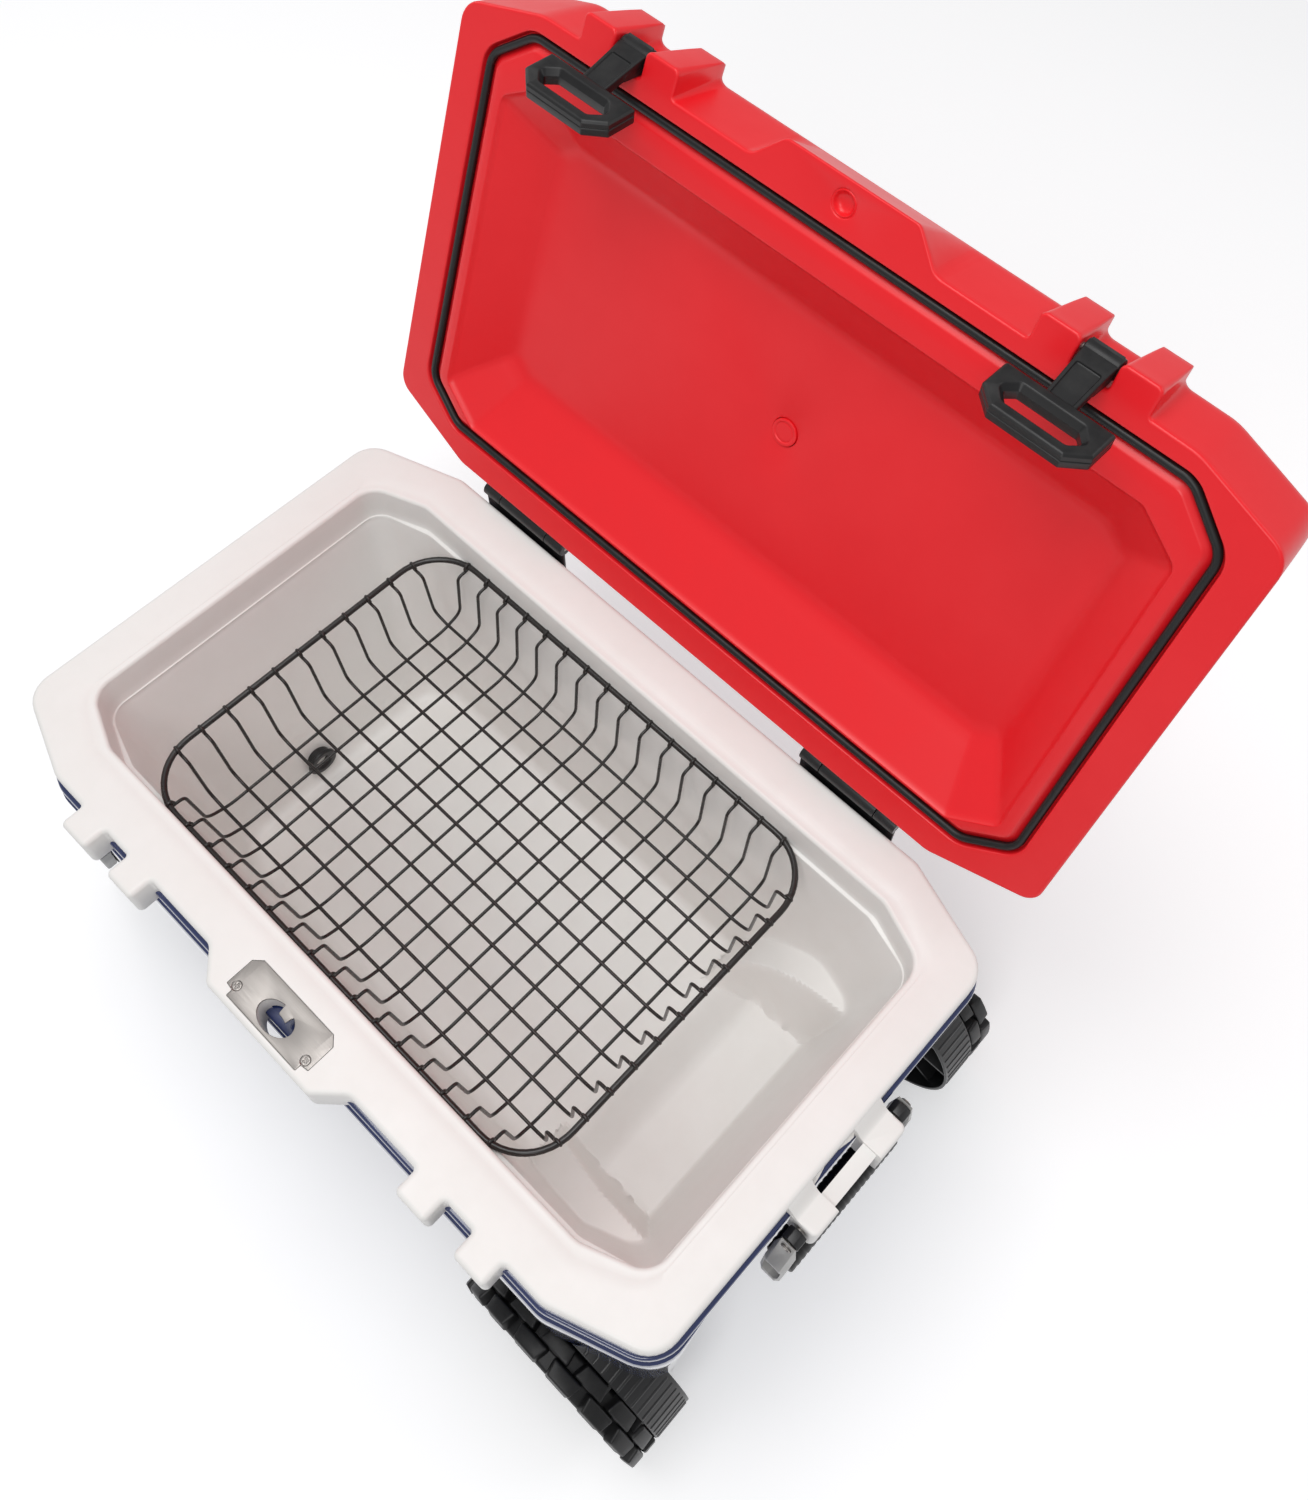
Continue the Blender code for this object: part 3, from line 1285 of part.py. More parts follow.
def make_lid_shell(lid):
    top = RIM_Z + LID_HEIGHT
    shell = finish(lid_volume("lid_shell", 0, LID_LOW_Z, top), RED, lid)
    for side, word in ((-1, "left"), (1, "right")):
        lugs = lug_pair(f"lid_lug_{word}", side * LATCH_X, LID_LUG_FRONT_Y, LID_LUG_BACK_Y, LID_LOW_Z,
                        RIM_Z + LID_LUG_HEIGHT, LUG_WIDTH)
        unite(shell, *[bevel(lug, LID_LUG_BEVEL) for lug in lugs])
        half = HINGE_MIDDLE / 2
        pad_top = RIM_Z + HINGE_LID_LEAF_HEIGHT + HINGE_PAD_MARGIN
        inside = LID_REAR_Y - LID_DRAFT - LID_WALL / 2
        unite(shell, box(f"lid_pad_{word}", (side * HINGE_X - half, inside, LID_LOW_Z + LID_WALL),
                         (side * HINGE_X + half, LID_REAR_Y, pad_top)))
    unite(shell, lid_tab())
    cut(shell, lid_volume("lid_space", LID_WALL, RIM_Z + LID_FLANGE, top - LID_WALL))
    cut(shell, prism("lid_mouth", [rounded(groove_corners(), GROOVE_CORNER)], "Z",
                     RIM_Z - OVERRUN, RIM_Z + LID_FLANGE + LID_WALL))
    for side, word in ((-1, "left"), (1, "right")):
        half = LATCH_GAP / 2 + PIN_BITE + FIT
        cut(shell, drum(f"pin_hole_{word}", "X", (-PIN_Y, PIN_Z), PIN_RADIUS + FIT,
                        side * LATCH_X - half, side * LATCH_X + half, SMALL_STEPS))
        for step, place in ((-1, "a"), (1, "b")):
            hole_centre = (side * HINGE_X + step * HINGE_LID_SCREW_X, RIM_Z + HINGE_LID_SCREW_HEIGHT)
            cut(shell, drum(f"lid_screw_hole_{word}_{place}", "Y", hole_centre, SCREW_SHANK_RADIUS + FIT,
                            LID_REAR_Y - HINGE_SCREW_BITE - FIT, LID_REAR_Y + OVERRUN, SMALL_STEPS))
    cut(shell, drum("lid_dimple", "Z", (0, -DIMPLE_Y), DIMPLE_RADIUS, RIM_Z - OVERRUN, RIM_Z + DIMPLE_DEPTH,
                    SHAFT_STEPS))
    smooth(shell)
    return shell


def pan_body(name, grow):
    """The pan from its mouth to its floor, inside, or outside with its wall added."""
    mouth = RIM_Z - OVERRUN if grow == 0 else RIM_Z + LID_FLANGE / 2
    depth = RIM_Z + PAN_DEPTH
    slope = (depth - mouth) / PAN_DEPTH
    mouth_corners = [
        tuple(Vector(low).lerp(Vector(high), slope))
        for low, high in zip(pan_floor_corners(), pan_corners())
    ]
    return loft(name, [
        (rounded(inset(mouth_corners, -grow), PAN_CORNER), mouth),
        (rounded(inset(pan_floor_corners(), -grow), PAN_CORNER), depth + grow),
    ])


def make_lid_pan(lid):
    flange_low = RIM_Z + LID_FLANGE + FIT
    flange_high = flange_low + PAN_WALL
    corners = groove_corners()
    pan = prism("lid_pan", [rounded(inset(corners, -PAN_LAP), GROOVE_CORNER)], "Z", flange_low, flange_high)
    finish(pan, RED, lid)
    rib = prism("pan_rib", [rounded(inset(corners, GROOVE_WIDTH), GROOVE_CORNER)], "Z",
                RIM_Z + PAN_RIB_RISE, flange_low + PAN_WALL / 2)
    unite(pan, rib, pan_body("pan_outside", PAN_WALL))
    cut(pan, pan_body("pan_inside", 0))
    floor = RIM_Z + PAN_DEPTH
    hole_centre = (PLUG_X, -PLUG_Y)
    cut(pan, drum("pan_plug_hole", "Z", hole_centre, PLUG_RADIUS + FIT, floor - OVERRUN, floor + OVERRUN))
    smooth(pan)
    return pan


def make_lid_foam(lid):
    low = RIM_Z + LID_FLANGE + PAN_WALL + 2 * FIT
    high = RIM_Z + LID_HEIGHT - LID_WALL - FIT
    foam = lid_volume("lid_foam", LID_WALL + FIT, low, high)
    finish(foam, FOAM, lid)
    cut(foam, pan_body("foam_pan_space", PAN_WALL + FIT))
    floor = RIM_Z + PAN_DEPTH
    top = floor + PLUG_LENGTH + FIT
    cut(foam, drum("foam_plug_space", "Z", (PLUG_X, -PLUG_Y), PLUG_RADIUS + FIT, floor, top))
    return foam


def make_lid_plug(lid):
    floor = RIM_Z + PAN_DEPTH
    return finish(smooth(drum("lid_plug", "Z", (PLUG_X, -PLUG_Y), PLUG_RADIUS, floor - PLUG_LIP,
                              floor + PLUG_LENGTH)), RED, lid)


def make_gasket(lid):
    """A round seal along the groove's middle, one closed tube."""
    curve = bpy.data.curves.new("lid_gasket", "CURVE")
    curve.dimensions = "3D"
    curve.bevel_depth = GASKET_RADIUS
    curve.bevel_resolution = 1
    path = rounded(inset(groove_corners(), GROOVE_WIDTH / 2), GROOVE_CORNER - GROOVE_WIDTH / 2)
    spline = curve.splines.new("POLY")
    spline.points.add(len(path) - 1)
    spline.use_cyclic_u = True
    height = LID_LOW_Z + GASKET_RADIUS + FIT
    for point, (x, y) in zip(spline.points, path):
        point.co = (x, y, height, 1)
    gasket = bpy.data.objects.new("lid_gasket", curve)
    PARTS.objects.link(gasket)
    return finish(gasket, RUBBER, lid)


# Latches

def strap_direction(degrees):
    lean = math.radians(degrees)
    return Vector((math.sin(lean), -math.cos(lean)))


def make_latch(side, word, lid):
    centre = side * LATCH_X
    holder = pivot(f"latch_{word}_pin_line", (centre, -PIN_Y, PIN_Z), lid)
    down = strap_direction(STRAP_LEAN_DEGREES)
    back = Vector((-down.y, down.x))
    pin = Vector((-PIN_Y, PIN_Z))
    grip_down = strap_direction(GRIP_LEAN_DEGREES)
    grip_back = Vector((-grip_down.y, grip_down.x))
    front_top = pin - back * (LATCH_BARREL - FIT)
    front_low = front_top + down * STRAP_LENGTH
    back_low = front_low + back * STRAP_THICKNESS
    heel = Vector((-ROOT_HEEL_Y, RIM_Z - ROOT_HEEL_DROP))
    back_mid = front_top + down * STRAP_LENGTH / 2 + back * (STRAP_THICKNESS + LATCH_BARREL / 4)
    back_top = pin + back * (LATCH_BARREL - FIT)
    half = LATCH_WAIST / 2
    latch = prism(f"latch_{word}", [[tuple(front_top), tuple(front_low), tuple(back_low), tuple(back_mid),
                                     tuple(heel), tuple(back_top)]], "X", centre - half, centre + half)
    finish(latch, RUBBER, holder)
    wide = LATCH_WIDTH / 2
    barrel = drum(f"latch_barrel_{word}", "X", tuple(pin), LATCH_BARREL, centre - wide, centre + wide,
                  SHAFT_STEPS)
    root = (front_low + back_low) / 2 - grip_down * STRAP_THICKNESS / 4
    unite(latch, barrel, latch_grip(f"latch_grip_{word}", centre, root, grip_down, grip_back))
    cut(latch, drum(f"latch_bore_{word}", "X", tuple(pin), PIN_RADIUS + FIT,
                    centre - LATCH_WIDTH, centre + LATCH_WIDTH, SMALL_STEPS))
    reach = LATCH_GAP / 2 + PIN_BITE
    pin_rod = drum(f"latch_pin_{word}", "X", tuple(pin), PIN_RADIUS, centre - reach, centre + reach,
                   SMALL_STEPS)
    finish(smooth(pin_rod), STEEL, lid)


def latch_grip(name, centre, root, down, back):
    """The latch's cross piece, with a six-sided finger slot."""
    outline = [
        (-GRIP_HALF, 0),
        (GRIP_HALF, 0),
        (GRIP_HALF, GRIP_SHOULDER),
        (GRIP_END_HALF, GRIP_LENGTH),
        (-GRIP_END_HALF, GRIP_LENGTH),
        (-GRIP_HALF, GRIP_SHOULDER),
    ]
    middle = GRIP_SLOT_START + GRIP_SLOT_LENGTH / 2
    near = GRIP_SLOT_HALF - GRIP_SLOT_POINT
    slot = [
        (-near, GRIP_SLOT_START),
        (near, GRIP_SLOT_START),
        (GRIP_SLOT_HALF, middle),
        (near, GRIP_SLOT_START + GRIP_SLOT_LENGTH),
        (-near, GRIP_SLOT_START + GRIP_SLOT_LENGTH),
        (-GRIP_SLOT_HALF, middle),
    ]
    build = outline_mesh(name, [outline, slot], -GRIP_THICKNESS / 2, GRIP_THICKNESS / 2)
    place = Matrix((
        (1, 0, 0, centre),
        (0, down.x, back.x, root.x),
        (0, down.y, back.y, root.y),
        (0, 0, 0, 1),
    ))
    bmesh.ops.transform(build, matrix=place, verts=build.verts[:])
    return from_bmesh(name, build)


# Carry handle at the wheel end

def make_carry_handle():
    holder = pivot("carry_handle_axis", (CARRY_AXIS_X, 0, CARRY_AXIS_Z))
    axis = (CARRY_AXIS_X, CARRY_AXIS_Z)
    for side, edge, word in ((-1, BLOCK_FRONT_Y, "front"), (1, BLOCK_REAR_Y, "rear")):
        knuckle_near = edge + KNUCKLE_GAP
        knuckle_far = knuckle_near + KNUCKLE_LENGTH
        arm_near = knuckle_far + CARRY_ARM_GAP
        arm_far = arm_near + CARRY_ARM_THICKNESS
        bore = CARRY_PIN_RADIUS + FIT
        knuckle = washer(f"carry_knuckle_{word}", "Y", axis, KNUCKLE_RADIUS, 8, bore, side,
                         knuckle_near, knuckle_far)
        finish(knuckle, BLACK, holder)
        arm = carry_arm(f"carry_arm_{word}", side, arm_near, arm_far)
        finish(arm, SILVER, holder)
        tip = side * (edge - CARRY_PIN_DEPTH)
        screw(f"carry_pin_{word}", "Y", axis, tip, side * arm_far, STEEL, CARRY_PIN_HEAD,
              CARRY_PIN_HEAD_RADIUS, shank=CARRY_PIN_RADIUS, steps=SHAFT_STEPS)
    make_carry_grip(holder)


def carry_arm(name, side, near, far):
    """A flat angular arm with a slot in its outer face."""
    low_z = CARRY_AXIS_Z - CARRY_ARM_LENGTH - CARRY_ARM_END
    chamfer = CARRY_ARM_HALF / 2
    outline = [
        (CARRY_AXIS_X - CARRY_ARM_HALF, CARRY_AXIS_Z + CARRY_ARM_HALF - chamfer),
        (CARRY_AXIS_X - CARRY_ARM_HALF, low_z + chamfer),
        (CARRY_AXIS_X - chamfer, low_z),
        (CARRY_AXIS_X + chamfer, low_z),
        (CARRY_AXIS_X + CARRY_ARM_HALF, low_z + chamfer),
        (CARRY_AXIS_X + CARRY_ARM_HALF, CARRY_AXIS_Z + CARRY_ARM_HALF - chamfer),
        (CARRY_AXIS_X + chamfer, CARRY_AXIS_Z + CARRY_ARM_HALF),
        (CARRY_AXIS_X - chamfer, CARRY_AXIS_Z + CARRY_ARM_HALF),
    ]
    low, high = sorted((side * near, side * far))
    arm = prism(name, [outline], "Y", low, high)
    bevel(arm, CARRY_ARM_HALF / 6)
    slot_low, slot_high = sorted((side * (far - CARRY_SLOT_DEPTH), side * (far + OVERRUN)))
    slot_top = CARRY_AXIS_Z - CARRY_SLOT_START
    cut(arm, box(f"{name}_slot", (CARRY_AXIS_X - CARRY_SLOT_HALF, slot_low, slot_top - CARRY_SLOT_LENGTH),
                 (CARRY_AXIS_X + CARRY_SLOT_HALF, slot_high, slot_top)))
    cut(arm, drum(f"{name}_bore", "Y", (CARRY_AXIS_X, CARRY_AXIS_Z), CARRY_PIN_RADIUS + FIT,
                  low - OVERRUN, high + OVERRUN, SHAFT_STEPS))
    inner_low, inner_high = sorted((side * (near - OVERRUN), side * (near + CARRY_GRIP_SPIGOT + FIT)))
    cut(arm, drum(f"{name}_socket", "Y", (CARRY_AXIS_X, CARRY_AXIS_Z - CARRY_ARM_LENGTH),
                  CARRY_GRIP_SPIGOT_RADIUS + FIT, inner_low, inner_high, SHAFT_STEPS))
    return arm


def make_carry_grip(holder):
    """A ribbed grip whose ends sit in the arms."""
    front = BLOCK_FRONT_Y + KNUCKLE_GAP + KNUCKLE_LENGTH + CARRY_ARM_GAP
    rear = BLOCK_REAR_Y + KNUCKLE_GAP + KNUCKLE_LENGTH + CARRY_ARM_GAP
    body_high = rear - FIT
    body_low = -front + FIT
    profile = [(0, body_high + CARRY_GRIP_SPIGOT), (CARRY_GRIP_SPIGOT_RADIUS, body_high + CARRY_GRIP_SPIGOT),
               (CARRY_GRIP_SPIGOT_RADIUS, body_high)]
    pitch = (body_high - body_low) / CARRY_GRIP_RIBS
    for k in range(CARRY_GRIP_RIBS):
        top = body_high - k * pitch
        profile += [(CARRY_GRIP_CORE, top), (CARRY_GRIP_RADIUS, top - pitch / 4),
                    (CARRY_GRIP_RADIUS, top - pitch * 3 / 4)]
    profile += [(CARRY_GRIP_CORE, body_low), (CARRY_GRIP_SPIGOT_RADIUS, body_low),
                (CARRY_GRIP_SPIGOT_RADIUS, body_low - CARRY_GRIP_SPIGOT), (0, body_low - CARRY_GRIP_SPIGOT)]
    grip = turned("carry_grip", "Y", (CARRY_AXIS_X, CARRY_AXIS_Z - CARRY_ARM_LENGTH), profile, SMALL_STEPS)
    finish(grip, RUBBER, holder)


# Tow handle at the other end

def tow_end():
    """Where the grip's centre lies when it leans on the tub's end, below the drain."""
    top = DRAIN_Z - DRAIN_PLUG_RADIUS - TOW_DRAIN_CLEARANCE
    reach_x = tub_end_x(top) + TOW_GRIP_RADIUS + TOW_WALL_CLEARANCE
    return Vector((-reach_x, top - TOW_GRIP_RADIUS))


def make_tow_handle():
    start = Vector((-TOW_PIVOT_X, TOW_PIVOT_Z))
    end = tow_end()
    along = (end - start).normalized()
    across = Vector((-along.y, along.x))
    holder = pivot("tow_handle_axis", (start.x, 0, start.y))
    outline = []
    for k in range(9):
        angle = math.pi * k / 8
        outline.append(tuple(start + (across * math.cos(angle) - along * math.sin(angle)) * TOW_ARM_HALF))
    for k in range(9):
        angle = math.pi * k / 8
        outline.append(tuple(end + (-across * math.cos(angle) + along * math.sin(angle)) * TOW_ARM_HALF))
    far = TOW_ARM_Y + TOW_ARM_THICKNESS
    for side, word in ((-1, "front"), (1, "rear")):
        low, high = sorted((side * TOW_ARM_Y, side * far))
        arm = prism(f"tow_arm_{word}", [outline], "Y", low, high)
        cut(arm, drum(f"tow_arm_bore_{word}", "Y", tuple(start), TOW_BOLT_RADIUS + FIT,
                      low - OVERRUN, high + OVERRUN, SHAFT_STEPS))
        socket_end = TOW_ARM_Y + TOW_ARM_HALF / 2
        socket_low, socket_high = sorted((side * (TOW_ARM_Y - OVERRUN), side * socket_end))
        cut(arm, drum(f"tow_socket_{word}", "Y", tuple(end), TOW_SPIGOT_RADIUS + FIT, socket_low, socket_high,
                      SHAFT_STEPS))
        finish(arm, BLACK, holder)
        screw(f"tow_bolt_{word}", "Y", tuple(start), side * (TOW_ARM_Y - TOW_BOLT_BITE), side * far, STEEL,
              TOW_BOLT_HEAD, TOW_BOLT_HEAD_RADIUS, shank=TOW_BOLT_RADIUS, steps=SHAFT_STEPS)
    body = TOW_ARM_Y - FIT
    spigot = TOW_ARM_Y + TOW_ARM_HALF / 2 - FIT
    grip = turned("tow_grip", "Y", tuple(end), [
        (0, spigot),
        (TOW_SPIGOT_RADIUS, spigot),
        (TOW_SPIGOT_RADIUS, body),
        (TOW_GRIP_RADIUS, body),
        (TOW_GRIP_RADIUS, -body),
        (TOW_SPIGOT_RADIUS, -body),
        (TOW_SPIGOT_RADIUS, -spigot),
        (0, -spigot),
    ])
    finish(grip, BLACK, holder)


# Wire basket

def make_basket():
    """A pan-shaped net of the wires' lines, thickened into one lattice."""
    holder = pivot("basket_place", (BASKET_CENTRE_X, 0, LEDGE_Z))
    rim_z = LEDGE_Z + BASKET_RIM_WIRE / 2 + BASKET_SEAT
    shoulder_z = rim_z - BASKET_SHOULDER_DROP
    foot_z = rim_z - BASKET_DEPTH + BASKET_FOOT_RISE
    floor_z = rim_z - BASKET_DEPTH
    half_span_x = WIRE_PITCH * (WIRE_COLUMNS - 1) / 2
    half_span_y = WIRE_PITCH * (WIRE_ROWS - 1) / 2
    build = bmesh.new()
    weight = build.verts.layers.deform.verify()
    thin = BASKET_WIRE / BASKET_RIM_WIRE

    def put(x, y, z, share):
        vert = build.verts.new((BASKET_CENTRE_X + x, y, z))
        vert[weight][0] = share
        return vert

    floor = [[put(i * WIRE_PITCH - half_span_x, j * WIRE_PITCH - half_span_y, floor_z, thin)
              for j in range(WIRE_ROWS)] for i in range(WIRE_COLUMNS)]
    for i in range(WIRE_COLUMNS - 1):
        for j in range(WIRE_ROWS - 1):
            build.faces.new((floor[i][j], floor[i + 1][j], floor[i + 1][j + 1], floor[i][j + 1]))
    last_i = WIRE_COLUMNS - 1
    last_j = WIRE_ROWS - 1
    border = [floor[i][0] for i in range(last_i)] + [floor[last_i][j] for j in range(last_j)]
    border += [floor[i][last_j] for i in range(last_i, 0, -1)] + [floor[0][j] for j in range(last_j, 0, -1)]

    def raised(z, step, share):
        half_x = BASKET_HALF_X - step
        half_y = BASKET_HALF_Y - step
        corner_cut = BASKET_CORNER * (1 - math.sqrt(0.5))
        row = []
        for vert in border:
            x = vert.co.x - BASKET_CENTRE_X
            y = vert.co.y
            at_end = abs(x) > half_span_x - FIT
            at_side = abs(y) > half_span_y - FIT
            if at_end:
                x = math.copysign(half_x - (corner_cut if at_side else 0), x)
            if at_side:
                y = math.copysign(half_y - (corner_cut if at_end else 0), y)
            row.append(put(x, y, z, share))
        return row

    rows = [
        border,
        raised(foot_z, BASKET_FOOT_STEP, thin),
        raised(shoulder_z, BASKET_SHOULDER_STEP, thin),
        raised(rim_z, 0, 1.0),
    ]
    for low, high in zip(rows, rows[1:]):
        for k, vert in enumerate(low):
            after = (k + 1) % len(low)
            build.faces.new((low[after], vert, high[k], high[after]))
    basket = from_bmesh("wire_basket", build)
    basket.vertex_groups.new(name="wire_size")
    lattice = basket.modifiers.new("wires", "WIREFRAME")
    lattice.thickness = BASKET_RIM_WIRE
    lattice.vertex_group = "wire_size"
    lattice.use_boundary = True
    lattice.use_even_offset = True
    lattice.use_replace = True
    lattice.offset = 0.0
    finish(basket, WIRE, holder)


# Assembly

make_outer_tub()
make_foam_core()
make_liner()
make_rim()
make_handle_block()
make_lock_plate()
make_lock_screws()
make_feet()
make_drain()
make_axle()
make_wheel(-1, "front")
make_wheel(1, "rear")
LID_PIVOT = pivot("lid_hinge_line", (0, HINGE_Y, HINGE_Z), angle=OPEN_ANGLE)
make_hinge(-1, "left", LID_PIVOT)
make_hinge(1, "right", LID_PIVOT)
make_lid_shell(LID_PIVOT)
make_lid_pan(LID_PIVOT)
make_lid_foam(LID_PIVOT)
make_lid_plug(LID_PIVOT)
make_gasket(LID_PIVOT)
make_latch(-1, "left", LID_PIVOT)
make_latch(1, "right", LID_PIVOT)
make_carry_handle()
make_tow_handle()
make_basket()
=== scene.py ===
# %% [markdown]
# # A wheeled hard cooler, seen from above with its lid open
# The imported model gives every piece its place. It is loaded first as a fixed frame, and each finer piece made
# below rides on the body of that frame that it moves with. Everything is in metres: X runs along the cooler with
# the wheels at +X, the latches face -Y, and +Z is up from the tub's flat underside.

# %% Load the frame
import json
import math

import bmesh
import bpy
import numpy as np
from mathutils import Matrix, Vector


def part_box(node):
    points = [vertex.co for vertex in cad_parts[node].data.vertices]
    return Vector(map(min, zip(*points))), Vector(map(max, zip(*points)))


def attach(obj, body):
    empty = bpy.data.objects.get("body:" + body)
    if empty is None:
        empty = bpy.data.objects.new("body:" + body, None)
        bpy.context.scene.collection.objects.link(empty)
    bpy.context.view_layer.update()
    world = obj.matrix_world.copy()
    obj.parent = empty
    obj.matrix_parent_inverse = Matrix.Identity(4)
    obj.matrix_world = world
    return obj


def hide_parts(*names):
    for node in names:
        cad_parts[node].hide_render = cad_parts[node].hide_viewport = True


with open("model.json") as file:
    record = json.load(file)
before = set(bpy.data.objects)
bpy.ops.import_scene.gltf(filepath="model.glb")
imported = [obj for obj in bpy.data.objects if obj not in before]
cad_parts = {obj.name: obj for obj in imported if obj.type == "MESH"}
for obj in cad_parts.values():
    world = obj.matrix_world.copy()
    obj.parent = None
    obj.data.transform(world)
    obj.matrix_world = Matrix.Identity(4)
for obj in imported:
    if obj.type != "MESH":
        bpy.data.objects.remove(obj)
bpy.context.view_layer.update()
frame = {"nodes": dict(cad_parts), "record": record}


# %% [markdown]
# ## Camera
# The photograph looks down into the open cooler from over its wheel end. The camera's place, turn and lens come
# from a fit to the rim's eight corners, the lid's corners and the wheels. The picture was cropped from a larger
# one, so the lens axis isn't at its centre, and a small shift stands for that.

# %% Camera
CAMERA_PLACE = (0.44929, -0.25675, 1.56569)
CAMERA_RIGHT = (0.735855, 0.675329, 0.049466)
CAMERA_DOWN = (0.597758, -0.613535, -0.516004)
CAMERA_FORWARD = (-0.318124, 0.409273, -0.855157)
PHOTO_HIGH = 1500
PHOTO_WIDE = 1308
FOCAL_PIXELS = 1410.93
AXIS_PIXEL = (730.98, 611.23)
SENSOR = 36.0


def linked(name, data):
    """A new object in the scene."""
    thing = bpy.data.objects.new(name, data)
    bpy.context.scene.collection.objects.link(thing)
    return thing


def make_camera():
    data = bpy.data.cameras.new("camera")
    data.sensor_fit = "VERTICAL"
    data.sensor_height = SENSOR
    data.lens = FOCAL_PIXELS / PHOTO_HIGH * SENSOR
    data.shift_x = (PHOTO_WIDE / 2 - AXIS_PIXEL[0]) / PHOTO_HIGH
    data.shift_y = (AXIS_PIXEL[1] - PHOTO_HIGH / 2) / PHOTO_HIGH
    data.clip_start, data.clip_end = 0.05, 60.0
    camera = linked("camera", data)
    turn = Matrix((CAMERA_RIGHT, [-v for v in CAMERA_DOWN], [-v for v in CAMERA_FORWARD])).transposed()
    camera.matrix_world = Matrix.Translation(CAMERA_PLACE) @ turn.to_4x4()
    bpy.context.scene.camera = camera


make_camera()
print("camera at", CAMERA_PLACE)


# %% [markdown]
# ## Floor, world and lamps
# It is a product picture on a white sweep: even light from all round, with large soft sources over the front and
# overhead and weaker ones from the left and behind, so that shadows stay pale and wide. The camera sees the floor
# a little brighter than it lights the cooler, which keeps the ground white while the soft shadow stays.

# %% Floor and lamps
GROUND_Z = -0.063
FLOOR_SEEN = (0.93, 0.93, 0.935)
FLOOR_PLAIN = (0.70, 0.70, 0.71)
FLOOR_GLOW = 0.30
WORLD_COLOUR = (0.98, 0.985, 1.0)
FILL = 0.44
# Each lamp's place, aim, size and watts.
LAMPS = {
    "key_over_front": ((0.9, -1.5, 2.6), (0.0, 0.0, 0.3), (0.9, 0.9), 16),
    "key_overhead": ((-0.2, -0.1, 2.8), (0.0, 0.0, 0.2), (1.2, 1.2), 21),
    "fill_left": ((-2.2, 0.2, 1.9), (0.0, 0.1, 0.3), (1.2, 1.6), 7),
    "back_right": ((1.6, 1.9, 2.2), (0.0, 0.1, 0.4), (1.2, 1.2), 7),
}


def feed(tree, socket, value):
    """An input set to a value, or linked where the value is another node's output."""
    if isinstance(value, bpy.types.NodeSocket):
        tree.links.new(value, socket)
    elif socket.type == "RGBA" and len(value) == 3:
        socket.default_value = (*value, 1)
    else:
        socket.default_value = value


def node(tree, kind, inputs=None, **settings):
    """A node right of the last one, with its settings made and its inputs fed."""
    made = tree.nodes.new(kind)
    made.location = (200 * len(tree.nodes), 0)
    for key, value in settings.items():
        setattr(made, key, value)
    for key, value in (inputs or {}).items():
        feed(tree, made.inputs[key], value)
    return made


def math_node(tree, operation, first, second, clamp=False):
    return node(tree, "ShaderNodeMath", {0: first, 1: second}, operation=operation, use_clamp=clamp).outputs[0]


def new_material(name):
    look = bpy.data.materials.new(name)
    look.use_nodes = True
    look.node_tree.nodes.clear()
    return look, look.node_tree


def mesh_of(build, name):
    """The mesh of a build, which is freed."""
    mesh = bpy.data.meshes.new(name)
    build.to_mesh(mesh)
    build.free()
    return mesh


def make_floor():
    build = bmesh.new()
    bmesh.ops.create_grid(build, x_segments=8, y_segments=8, size=14.0)
    floor = linked("studio_floor", mesh_of(build, "studio_floor"))
    floor.location = (0, 0, GROUND_Z)
    look, tree = new_material("studio_floor")
    plain = node(tree, "ShaderNodeBsdfDiffuse", {"Color": FLOOR_PLAIN})
    seen = node(tree, "ShaderNodeBsdfDiffuse", {"Color": FLOOR_SEEN})
    glow = node(tree, "ShaderNodeEmission", {"Color": (1, 1, 1), "Strength": FLOOR_GLOW})
    both = node(tree, "ShaderNodeAddShader", {0: glow.outputs[0], 1: seen.outputs[0]})
    rays = node(tree, "ShaderNodeLightPath").outputs
    mirrored = math_node(tree, "MAXIMUM", rays["Is Glossy Ray"], rays["Is Transmission Ray"])
    direct = math_node(tree, "MAXIMUM", rays["Is Camera Ray"], mirrored)
    mix = node(tree, "ShaderNodeMixShader", {0: direct, 1: plain.outputs[0], 2: both.outputs[0]})
    node(tree, "ShaderNodeOutputMaterial", {0: mix.outputs[0]})
    floor.data.materials.append(look)


def area_lamp(name, place, aim, size, watts):
    data = bpy.data.lights.new(name, "AREA")
    data.shape = "RECTANGLE"
    data.size, data.size_y = size
    data.energy = watts
    lamp = linked(name, data)
    lamp.location = place
    lamp.rotation_euler = (Vector(aim) - Vector(place)).to_track_quat("-Z", "Y").to_euler()


def make_world():
    world = bpy.data.worlds.new("studio")
    world.use_nodes = True
    tree = world.node_tree
    tree.nodes.clear()
    fill_light = node(tree, "ShaderNodeBackground", {"Color": WORLD_COLOUR, "Strength": FILL})
    node(tree, "ShaderNodeOutputWorld", {0: fill_light.outputs[0]})
    bpy.context.scene.world = world


make_floor()
make_world()
for lamp_name, lamp_row in LAMPS.items():
    area_lamp(lamp_name, *lamp_row)
bpy.context.scene.view_settings.view_transform = "Standard"
print("floor at", GROUND_Z, "and", len(LAMPS), "lamps")


# %% [markdown]
# ## Effects shared by the materials
# Injection-moulded plastic has a fine even grain, a faint waviness and small differences in gloss where it was
# handled. Edges wear a little lighter, and dust settles on faces that look up. Each effect is a node group with
# named inputs, so that one group serves plastic, rubber and steel at their own scales.

